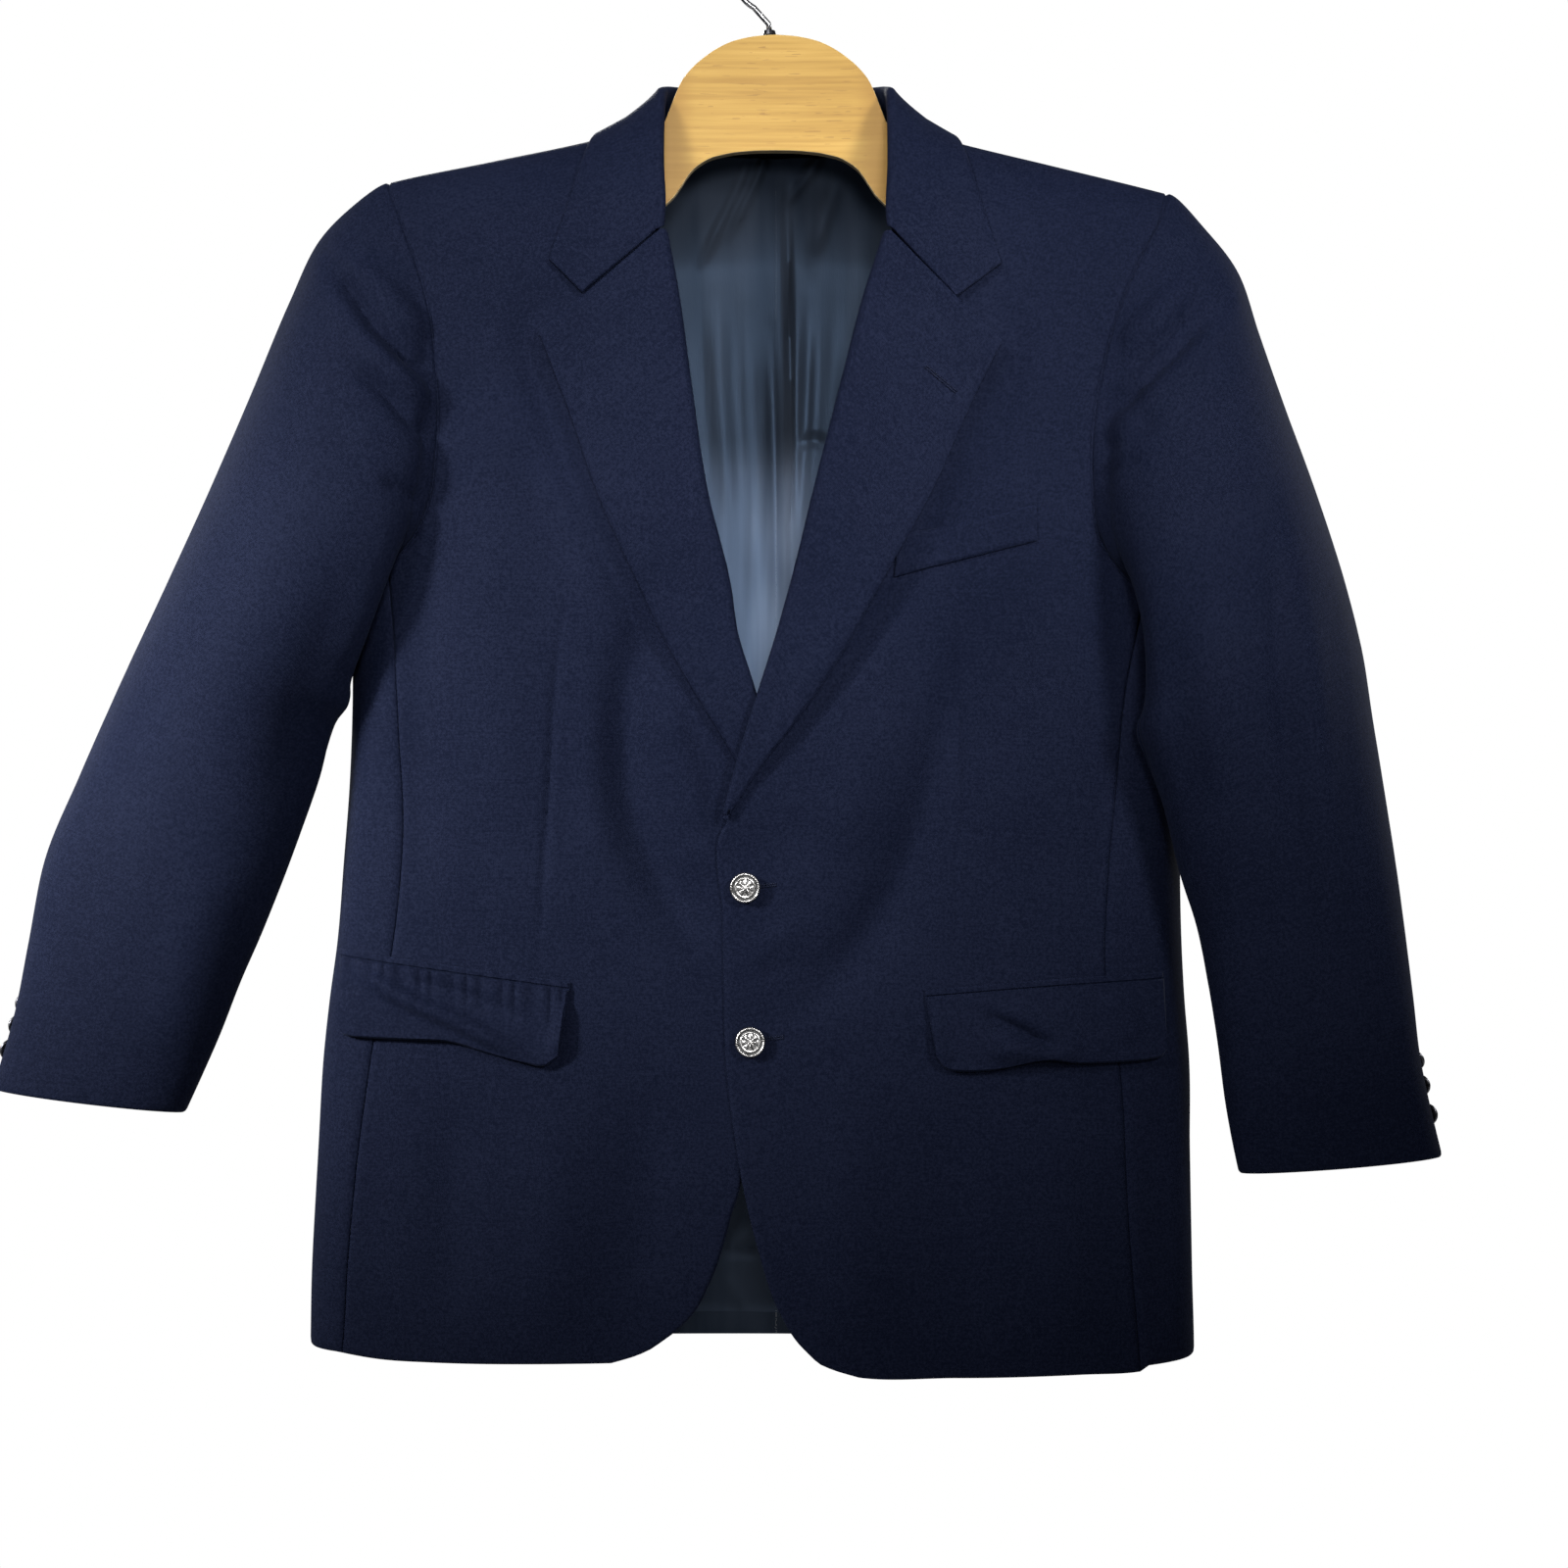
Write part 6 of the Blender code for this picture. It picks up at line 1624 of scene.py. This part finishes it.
def thread(name, dark, light):
    """Twisted sewing thread."""
    f = Finish(name)
    twist = f.wave({"Vector": f.place("Object", turn=(0.6, 0.5, 0.4)), "Scale": 500.0}, "DIAGONAL")
    tint = f.ramp(twist, (0.2, dark), (0.8, light))
    f.set(Base_Color=tint, Roughness=0.6, Normal=f.bump(twist, 0.4, 0.0002), Specular_IOR_Level=0.1)
    return f.material


# ---------------------------------------------------------------- buttons and buttonholes

BEADS = 36  # of the rope round the rim
PETALS = 8
# Half a button's section, from its middle over the face and the rim to the foot, in shares of its radius.
BUTTON_FACE = (
    (0.02, 0.34), (0.08, 0.335), (0.14, 0.32), (0.20, 0.30), (0.27, 0.285), (0.34, 0.27), (0.41, 0.255),
    (0.48, 0.24), (0.54, 0.225), (0.59, 0.235), (0.63, 0.25), (0.67, 0.235), (0.71, 0.20), (0.76, 0.195),
    (0.80, 0.21), (0.84, 0.26), (0.88, 0.285), (0.92, 0.28), (0.96, 0.235), (0.985, 0.17), (1.0, 0.08),
)
BUTTON_BACK = (
    (0.985, 0.0), (0.93, -0.045), (0.86, -0.065), (0.6, -0.10), (0.30, -0.12), (0.28, -0.16), (0.28, -0.26),
)
BUTTON_TOP = 0.345
BUTTON_FOOT = 0.26  # from its middle down to its foot
ROPE = (0.83, 0.97)  # where the rope lies
ROPE_RISE = 0.022
ROSETTE = (0.10, 0.53)  # where the petals lie
PETAL_RISE = 0.075
PETAL_SINK = 0.02
VALLEY = (0.10, 0.56)  # where the dark between the petals lies
VALLEY_SHARE = 0.22
RING_SUNK = (0.66, 0.82)  # the dark ring inside the rope


def button_mesh(name, radius, centre, normal, finishes, steps):
    """A domed metal button: a roped rim round a sunk ring, and a raised plain rosette."""
    section = BUTTON_FACE + BUTTON_BACK
    turns = np.linspace(0, 2 * math.pi, steps, endpoint=False)
    rings = []
    for k, (r, h) in enumerate(section):
        up = np.full(steps, h)
        if k < len(BUTTON_FACE):
            if ROPE[0] < r < ROPE[1]:
                up += ROPE_RISE * np.cos(turns * BEADS + r * 30)
            if ROSETTE[0] < r < ROSETTE[1]:
                petal = np.cos(turns * PETALS / 2) ** 2
                arch = math.sin(math.pi * (r - ROSETTE[0]) / (ROSETTE[1] - ROSETTE[0]))
                up += PETAL_RISE * petal * arch - PETAL_SINK
        rings.append(np.stack([r * np.cos(turns), r * np.sin(turns), up], axis=1) * radius)
    points = [(0, 0, BUTTON_TOP * radius)] + [tuple(p) for ring in rings for p in ring]
    points.append((0, 0, -BUTTON_FOOT * radius))
    faces = [(0, 1 + i, 1 + (i + 1) % steps) for i in range(steps)]
    dark = [0] * steps
    for k in range(len(rings) - 1):
        r = section[k][0]
        sunk = k < len(BUTTON_FACE) and RING_SUNK[0] < r < RING_SUNK[1]
        low, high = 1 + k * steps, 1 + (k + 1) * steps
        for i in range(steps):
            j = (i + 1) % steps
            faces.append((low + i, high + i, high + j, low + j))
            off_petal = math.cos((turns[i] + 0.03) * PETALS / 2) ** 2 < VALLEY_SHARE
            valley = VALLEY[0] < r < VALLEY[1] and off_petal
            dark.append(1 if sunk or valley else 0)
    last = 1 + (len(rings) - 1) * steps
    faces += [(last + i, len(points) - 1, last + (i + 1) % steps) for i in range(steps)]
    dark += [1] * steps
    mesh = bpy.data.meshes.new(name)
    mesh.from_pydata([(x * MM, y * MM, z * MM) for x, y, z in points], [], faces)
    for material in finishes:
        mesh.materials.append(material)
    mesh.polygons.foreach_set("material_index", dark)
    mesh.shade_smooth()
    mesh.update()
    turn = Vector((0, 0, 1)).rotation_difference(Vector(normal)).to_matrix().to_4x4()
    turn.translation = Vector(centre) * MM
    mesh.transform(turn)
    return linked(name, mesh)


def tube(name, paths, radius, finish, sides=8):
    """Closed-ended tubes round paths of points in millimetres, as one mesh."""
    bm = bmesh.new()
    for path in paths:
        path = np.array(path, float)
        ways = np.gradient(path, axis=0)
        ways /= np.linalg.norm(ways, axis=1, keepdims=True)
        guide = np.array([0.0, -1.0, 0.0]) if abs(ways[0, 1]) < 0.8 else np.array([1.0, 0.0, 0.0])
        rings = []
        for point, way in zip(path, ways):
            first = unit(np.cross(way, guide))
            second = np.cross(first, way)
            rings.append([bm.verts.new((point + radius * (first * math.cos(a) + second * math.sin(a))) * MM)
                          for a in np.linspace(0, 2 * math.pi, sides, endpoint=False)])
        for one, two in zip(rings, rings[1:]):
            for i in range(sides):
                bm.faces.new((one[i], one[(i + 1) % sides], two[(i + 1) % sides], two[i]))
        bm.faces.new(rings[0][::-1])
        bm.faces.new(rings[-1])
    bmesh.ops.recalc_face_normals(bm, faces=bm.faces)
    mesh = bpy.data.meshes.new(name)
    bm.to_mesh(mesh)
    bm.free()
    mesh.shade_smooth()
    mesh.materials.append(finish)
    return linked(name, mesh)


def on_cloth(outer, x, z):
    """The place on an outer grid in front of a point across and in height, and the way out of it."""
    away = (outer[..., 0] - x) ** 2 + (outer[..., 2] - z) ** 2
    r, c = np.unravel_index(np.argmin(away), away.shape)
    r = min(max(r, 1), outer.shape[0] - 2)
    c = min(max(c, 1), outer.shape[1] - 2)
    normal = unit(np.cross(outer[r, c + 1] - outer[r, c - 1], outer[r + 1, c] - outer[r - 1, c]))
    if normal[1] > 0:
        normal = -normal
    y = outer[r, c, 1] - (normal[0] * (x - outer[r, c, 0]) + normal[2] * (z - outer[r, c, 2])) / normal[1]
    return np.array([x, y, z]), normal


STITCH_STEP = 0.75  # between two bars of thread
STITCH_HALF = 1.3  # half the width of a worked buttonhole
STITCH_INNER = 0.12  # from its middle to a bar's inner end
STITCH_LIFT = (0.18, 0.36, 0.18)  # of a bar's inner end, middle and outer end


def buttonhole(outer, start, end):
    """The stitched edge of a buttonhole: bars of thread laid side by side round its slit."""
    (x0, z0), (x1, z1) = start, end
    length = math.hypot(x1 - x0, z1 - z0)
    along_x, along_z = (x1 - x0) / length, (z1 - z0) / length
    bars = []
    for side in (-1, 1):
        for k in range(int(length / STITCH_STEP) + 1):
            s = k * STITCH_STEP
            path = []
            for across, lift in zip((STITCH_INNER, 0.5 * STITCH_HALF, STITCH_HALF), STITCH_LIFT):
                x = x0 + along_x * s - along_z * across * side
                z = z0 + along_z * s + along_x * across * side
                point, normal = on_cloth(outer, x, z)
                path.append(point + normal * lift)
            bars.append(path)
    return bars


# ---------------------------------------------------------------- the blazer


FRONT_SPACING = (2.2, 4.0)  # of the points of a front's grid, across and up
LINING_SPACING = (1.9, 3.6)
ARMHOLE_SEAM_RADIUS = 1.1  # of the turned-in edges sewn together behind an armhole
BEHIND_MOVED = (6, 14)  # how far a sleeve's folds behind are moved from those in front, across and up
BEHIND_SHARE = 0.7  # and how high they are beside them
SLEEVE_HEAD = 0.03  # share of a sleeve's length over which its folds come in
LAPEL_STAND = 2.6  # how far more a lapel stands off along its free edge
LAPEL_POINT_STAND = 2.4  # and at its point
FLAP_DEEPEST = -2.6  # the most that a flap's folds sink it
FLAP_GRID = (110, 42)  # columns and rows
JET_GRID = (110, 6)
WELT_GRID = (50, 16)
PUCKERS = 0.60  # turns of the puckers along a pocket, in radians for each millimetre
PUCKER_RIGHT = 0.75  # their height
PUCKER_LEFT = 0.18
THREAD_SUNK = 0.8  # how deep a button's thread goes into the cloth
THREAD_RADIUS = 1.3
STITCH_RADIUS = 0.34
# Where each front dart lies: points down it, the width of its trough and its depth.
DART_RIGHT = (seen([(577, 604), (566, 700), (560, 800), (553, 900), (549, 990)], -64), 2.4, 1.9)
DART_LEFT = (seen([(979, 630), (979, 740), (978, 860), (977, 995)], -64), 2.4, 1.9)


def darted(dart):
    """Sinks the cloth along a dart."""
    line, half, depth = dart
    return lambda points, normals: folded(points[..., 0], points[..., 2], ((line, half, -depth, 0),))


def lining_shape(points, normals):
    return -folded(points[..., 0], points[..., 2], LINING_FOLDS)


def sleeve_shape(table):
    """A sleeve's folds: from its table in front, and from the same one, moved and weaker, behind."""

    def shape(points, normals):
        x, z = points[..., 0], points[..., 2]
        ahead = soft(-normals[..., 1], 0.0, 0.5)
        behind = soft(normals[..., 1], 0.0, 0.5)
        down = np.linspace(0, 1, points.shape[0])[:, None]
        moved = folded(x + BEHIND_MOVED[0], z + BEHIND_MOVED[1], table)
        return (folded(x, z, table) * ahead + moved * behind * BEHIND_SHARE) * soft(down, 0.0, SLEEVE_HEAD)

    return shape


def lapel_shape(points, normals):
    """How far a lapel stands off: more towards its free edge and its point, and not under the collar."""
    across = np.linspace(0, 1, points.shape[1])[None, :]
    up = np.linspace(0, 1, points.shape[0])[:, None]
    under_collar = (1 - soft(1 - up, 0.0, 0.3)) * (1 - soft(across, 0.62, 0.9))
    stand = LAPEL_STAND + LAPEL_POINT_STAND * soft(up, 0.78, 0.98) * soft(across, 0.66, 1.0)
    return stand * soft(across, 0.45, 1.0) * soft(up, 0.02, 0.2) * (1 - under_collar)


def flap_shape(table, pucker):
    """A flap's folds, and the puckers below its seam."""

    def shape(points, normals):
        x, z = points[..., 0], points[..., 2]
        up = np.linspace(0, 1, points.shape[0])[:, None]
        raised = np.maximum(folded(x, z, table), FLAP_DEEPEST) * soft(1 - up, 0.02, 0.3)
        return raised + np.sin(x * PUCKERS + 1.2 * np.sin(x * 0.23)) * pucker * soft(up, 0.30, 0.95)

    return shape


def jet_shape(pucker):
    return lambda points, normals: np.sin(points[..., 0] * PUCKERS) * pucker * 0.4


def on_its_thread(node, place, normal, sizes, finishes):
    """Puts a button in the place of its node, on a thread, and gives that thread's two ends."""
    radius, under, into, steps = sizes
    centre = place + normal * (BUTTON_FOOT * radius + under)
    button = button_mesh(f"{node}_turned", radius, centre, normal, finishes, steps)
    riding(button, node)
    return [place - normal * THREAD_SUNK, place + normal * (under + into)]


def build_half(wearer, finishes):
    """All the pieces on one side. The wearer's right is at -X, and lies underneath."""
    is_left = wearer == "left"
    side = 1 if is_left else -1
    front_hole = ARMHOLE_FRONT_LEFT if is_left else ARMHOLE_FRONT_RIGHT
    back_hole = ARMHOLE_BACK_LEFT if is_left else ARMHOLE_BACK_RIGHT
    hole_front, hole_back = armhole(front_hole, back_hole, ARMHOLE_STEPS)
    front_seam = seam_line(SIDE_SEAM_LEFT if is_left else SIDE_SEAM_RIGHT, hole_front[FRONT_JUNCTION])
    back_seam = seam_line(BACK_SEAM_LEFT if is_left else BACK_SEAM_RIGHT, hole_back[BACK_JUNCTION])
    edge_table = FRONT_EDGE_LEFT if is_left else FRONT_EDGE_RIGHT
    roll_table = ROLL_LEFT if is_left else ROLL_RIGHT
    hem_table = HEM_LEFT if is_left else HEM_RIGHT
    both = (finishes["wool"], finishes["satin"])
    both_satin = (finishes["satin"], finishes["satin"])
    pressed = (finishes["pressed"], finishes["pressed"])
    outers = {}
    loop = body_folds(np.concatenate([hole_front, hole_back[::-1]]))
    riding(tube(f"armhole_seam_{wearer}", [loop], ARMHOLE_SEAM_RADIUS, finishes["wool"], 10), None)

    front = front_grid(side, is_left, edge_table, roll_table, hem_table, front_seam, hole_front)
    fine = finer(trimmed(front), *FRONT_SPACING)
    dart = darted(DART_LEFT if is_left else DART_RIGHT)
    outers["front"] = cloth(f"front_{wearer}", fine, VIEWER, CLOTH, both, extra=dart)
    back_map = back_grid(back_seam, hole_back)
    back = back_points(back_map)
    cloth(f"back_{wearer}", trimmed(back), REAR, CLOTH, both)
    under = side_grid(front_seam, back_seam, hole_front, hole_back)
    rows = len(SEAM_ROWS)
    under = fit_edges(under, front[:rows, -1], back[:rows, -1])
    cloth(f"side_{wearer}", trimmed(under), (side, 0, 0), CLOTH, both)

    map_of_lining, near_top = lining_map(back_map)
    inside = THIN_CLOTH + LINING_ROOM + LINING_TOP_ROOM * near_top
    inside[0] = THIN_CLOTH + LINING_HEM_ROOM
    lining = finer(trimmed(back_points(map_of_lining, inside)), *LINING_SPACING)
    cloth(f"lining_{wearer}", lining, REAR, THIN_CLOTH, both_satin, extra=lining_shape)

    coarse_front, coarse_back = armhole(front_hole, back_hole, SLEEVE_STEPS)
    rings = sleeve_rings(SLEEVE_LEFT if is_left else SLEEVE_RIGHT, coarse_front, coarse_back)
    wide, keys, count = finer_rings(rings)
    middle = wide[:, JOIN : JOIN + count].mean(axis=1)
    top = np.concatenate([half_of(wide, keys, TOPSLEEVE_FROM + count, count)[:, :-1],
                          half_of(wide, keys, 0, TOPSLEEVE_TO)], axis=1)
    below = half_of(wide, keys, TOPSLEEVE_TO, TOPSLEEVE_FROM + count)
    shape = sleeve_shape(SLEEVE_LEFT_FOLDS if is_left else SLEEVE_RIGHT_FOLDS)
    for name, grid in (("topsleeve", top), ("undersleeve", below)):
        way = grid[len(grid) // 2, grid.shape[1] // 2] - middle[len(grid) // 2]
        grid = trimmed(grid, ends=False)
        outers[name] = cloth(f"{name}_{wearer}", grid, way, CLOTH, both, folds=None, extra=shape)

    dark = (finishes["dark"], finishes["black"])
    threads = []
    for number in (1, 2, 3):
        node = f"cuff_button_{wearer}_{number}"
        low, high = (Vector(corner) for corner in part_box(node))
        centre = np.array((low + high) / 2) / MM
        away = np.linalg.norm(outers["topsleeve"] - centre, axis=2)
        place = outers["topsleeve"][np.unravel_index(np.argmin(away), away.shape)]
        threads.append(on_its_thread(node, place, unit(centre - place), CUFF_BUTTON, dark))

    lapel = lapel_grid(side, is_left, roll_table, LAPEL_EDGE_LEFT if is_left else LAPEL_EDGE_RIGHT)
    outers["lapel"] = cloth(f"lapel_{wearer}", trimmed(lapel), VIEWER, CLOTH, pressed,
                            extra=lapel_shape)

    flap_top = FLAP_LEFT_TOP if is_left else FLAP_RIGHT_TOP
    flap_bottom = FLAP_LEFT_BOTTOM if is_left else FLAP_RIGHT_BOTTOM
    pucker = PUCKER_LEFT if is_left else PUCKER_RIGHT
    flap = patch(flap_top, flap_bottom, *FLAP_GRID, FLAP_LIFT_TOP, FLAP_LIFT_BOTTOM)
    cloth(f"pocket_flap_{wearer}", flap, VIEWER, CLOTH, pressed,
          extra=flap_shape(FLAP_FOLDS_LEFT if is_left else FLAP_FOLDS_RIGHT, pucker))
    low, high = jet_lines(flap_top)
    jet = patch(high, low, *JET_GRID, FLAP_LIFT_TOP, FLAP_LIFT_TOP)
    cloth(f"pocket_jet_{wearer}", jet, VIEWER, THIN_CLOTH, pressed, extra=jet_shape(pucker))
    return outers, threads


WOOD_EDGE_ROOM = 1.5  # from the board's border to the row beside it
WOOD_ROUND_SHOWN = 0.8
WOOD_EDGE_ANGLE = 50  # degrees
FERRULE_GAP = 0.4  # from the ferrule's top to the lowest point of the wire's own route
HOOK_START_GAP = 0.7  # and to the wire's foot


def build_hanger(finishes):
    """The board and the wire of the hanger. Its ferrule keeps its solid, with another material."""
    points = hanger_grid()
    middle = facing(points, VIEWER)
    inner = points - middle * WOOD / 2
    inner = with_edges(inner, WOOD_EDGE_ROOM)
    both = (finishes["plywood"], finishes["plywood"])
    piece, _ = wall("hanger_wood", inner, facing(inner, VIEWER), WOOD, both, roll=0.0)
    eased = piece.modifiers.new("eased_edges", "BEVEL")
    eased.width = WOOD_ROUND * WOOD_ROUND_SHOWN * MM
    eased.segments = 4
    eased.limit_method = "ANGLE"
    eased.angle_limit = math.radians(WOOD_EDGE_ANGLE)
    eased.harden_normals = False
    riding(piece, "hanger")
    top = WOOD_EDGES[0][1]
    route = [p for p in hook_route() if p[2] > top + FERRULE_GAP + FERRULE_HEIGHT]
    foot = (0, RIDGE_BACK, top + HOOK_START_GAP + FERRULE_HEIGHT)
    hook = tube("hook_wire", [[foot] + route], HOOK_WIRE / 2, finishes["bright"], 20)
    riding(hook, "hanger_hook")
    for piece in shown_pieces():
        if piece.get("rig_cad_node") == "hook_ferrule":
            for slot in piece.material_slots:
                slot.material = finishes["dark"]


BUTTONHOLES = (seen([(776, 905), (792, 903)], -66), seen([(782, 1062), (799, 1060)], -66))
LAPEL_BUTTONHOLE = seen([(945, 374), (976, 401)], -70)
WOOL_DARK = (0.0012, 0.0024, 0.0088)
WOOL_LIGHT = (0.0043, 0.0062, 0.0164)


def build():
    finishes = {
        "wool": wool("navy_wool", WOOL_DARK, WOOL_LIGHT),
        "pressed": wool("navy_wool_pressed", WOOL_DARK, WOOL_LIGHT),
        "satin": satin("blue_grey_satin"),
        "plywood": plywood("honey_plywood"),
        "nickel": metal("pewter", (0.52, 0.51, 0.50), (0.26, 0.25, 0.24), 0.28),
        "recess": metal("pewter_recess", (0.09, 0.09, 0.09), (0.03, 0.03, 0.03), 0.5),
        "dark": metal("dark_metal", (0.10, 0.10, 0.11), (0.03, 0.03, 0.035), 0.32),
        "black": metal("black_recess", (0.02, 0.02, 0.02), (0.01, 0.01, 0.01), 0.5),
        "bright": metal("steel_wire", (0.62, 0.62, 0.63), (0.40, 0.40, 0.41), 0.22),
        "thread": thread("navy_thread", (0.0012, 0.0025, 0.009), (0.006, 0.009, 0.024)),
    }
    threads = build_half("right", finishes)[1]
    left, left_threads = build_half("left", finishes)
    threads += left_threads
    pressed = (finishes["pressed"], finishes["pressed"])
    cloth("collar", trimmed(collar_grid()), REAR, CLOTH, pressed)
    welt = patch(WELT_TOP, WELT_BOTTOM, *WELT_GRID, WELT_LIFT, WELT_LIFT)
    cloth("breast_welt", welt, VIEWER, CLOTH, pressed)

    nickel = (finishes["nickel"], finishes["recess"])
    for name, (x, z) in zip(("front_button_upper", "front_button_lower"), FRONT_BUTTONS):
        place, normal = on_cloth(left["front"], x, z)
        threads.append(on_its_thread(name, place, normal, FRONT_BUTTON, nickel))
    riding(tube("button_threads", threads, THREAD_RADIUS, finishes["thread"], 10), None)
    bars = []
    for start, end in BUTTONHOLES:
        bars += buttonhole(left["front"], start, end)
    riding(tube("front_buttonhole_stitches", bars, STITCH_RADIUS, finishes["thread"], 6), None)
    bars = buttonhole(left["lapel"], *LAPEL_BUTTONHOLE)
    riding(tube("lapel_buttonhole_stitches", bars, STITCH_RADIUS, finishes["thread"], 6), None)
    build_hanger(finishes)


# ---------------------------------------------------------------- floor and light

FLOOR_HEIGHT = -1.75
FLOOR_HALF = 2.3
FLOOR_PARTS = 24
FLOOR_GLOW = 0.45
SHADE = (0.78, 0.87, 1.0, 1)  # what lights the pieces from all sides
SHADE_STRENGTH = 0.04
WHITE = (1, 1, 1, 1)  # what the camera sees behind them
# Each soft light: its name, its place, the point it shines at, its size, its power and its spread.
LIGHTS = (
    ("key", (-0.95, -1.45, 0.85), (0.0, 0.0, -0.15), 0.5, 1.6, 0.54),
    ("above", (-0.3, -0.7, 1.3), (0.0, 0.0, -0.35), 0.5, 0.3, 0.55),
    ("left", (-1.9, -1.1, 0.2), (-0.50, 0.0, -0.49), 0.5, 5.2, 0.34),
    ("front", (0.15, -2.4, 0.1), (0.0, 0.0, -0.30), 0.6, 1.6, 0.35),
    ("right", (1.4, -1.8, 0.5), (0.17, 0.0, -0.34), 0.5, 2.3, 0.45),
    ("behind", (-0.5, 2.2, 0.7), (0.0, 0.0, -0.42), 0.6, 3.2, 0.60),
    ("behind_left", (-2.2, 1.3, 0.3), (-0.30, 0.0, -0.45), 0.6, 1.1, 0.50),
    ("behind_right", (2.2, 1.3, 0.3), (0.30, 0.0, -0.45), 0.6, 1.1, 0.50),
)


def add_floor():
    bm = bmesh.new()
    bmesh.ops.create_grid(bm, x_segments=FLOOR_PARTS, y_segments=FLOOR_PARTS, size=FLOOR_HALF)
    mesh = bpy.data.meshes.new("floor")
    bm.to_mesh(mesh)
    bm.free()
    f = Finish("pale_floor")
    grain = f.noise(f.place("Object"), 3.0, 2.0)
    colour = f.ramp(grain, (0.3, (0.86, 0.86, 0.86)), (0.7, (0.90, 0.90, 0.90)))
    f.set(Base_Color=colour, Roughness=0.9, Emission_Color=WHITE, Emission_Strength=FLOOR_GLOW)
    mesh.materials.append(f.material)
    floor = linked("floor", mesh)
    floor.location = (0, 0, FLOOR_HEIGHT)


def add_world():
    world = bpy.data.worlds.new("studio")
    world.use_nodes = True
    tree = world.node_tree
    shade = tree.nodes["Background"]
    shade.inputs["Color"].default_value = SHADE
    shade.inputs["Strength"].default_value = SHADE_STRENGTH
    plain = tree.nodes.new("ShaderNodeBackground")
    plain.inputs["Color"].default_value = WHITE
    plain.inputs["Strength"].default_value = 1.0
    path = tree.nodes.new("ShaderNodeLightPath")
    mix = tree.nodes.new("ShaderNodeMixShader")
    tree.links.new(path.outputs["Is Camera Ray"], mix.inputs[0])
    tree.links.new(shade.outputs[0], mix.inputs[1])
    tree.links.new(plain.outputs[0], mix.inputs[2])
    tree.links.new(mix.outputs[0], tree.nodes["World Output"].inputs["Surface"])
    bpy.context.scene.world = world


add_camera()
build()
add_floor()
add_world()
for light in LIGHTS:
    add_light(*light)
bpy.context.scene.view_settings.view_transform = "Standard"
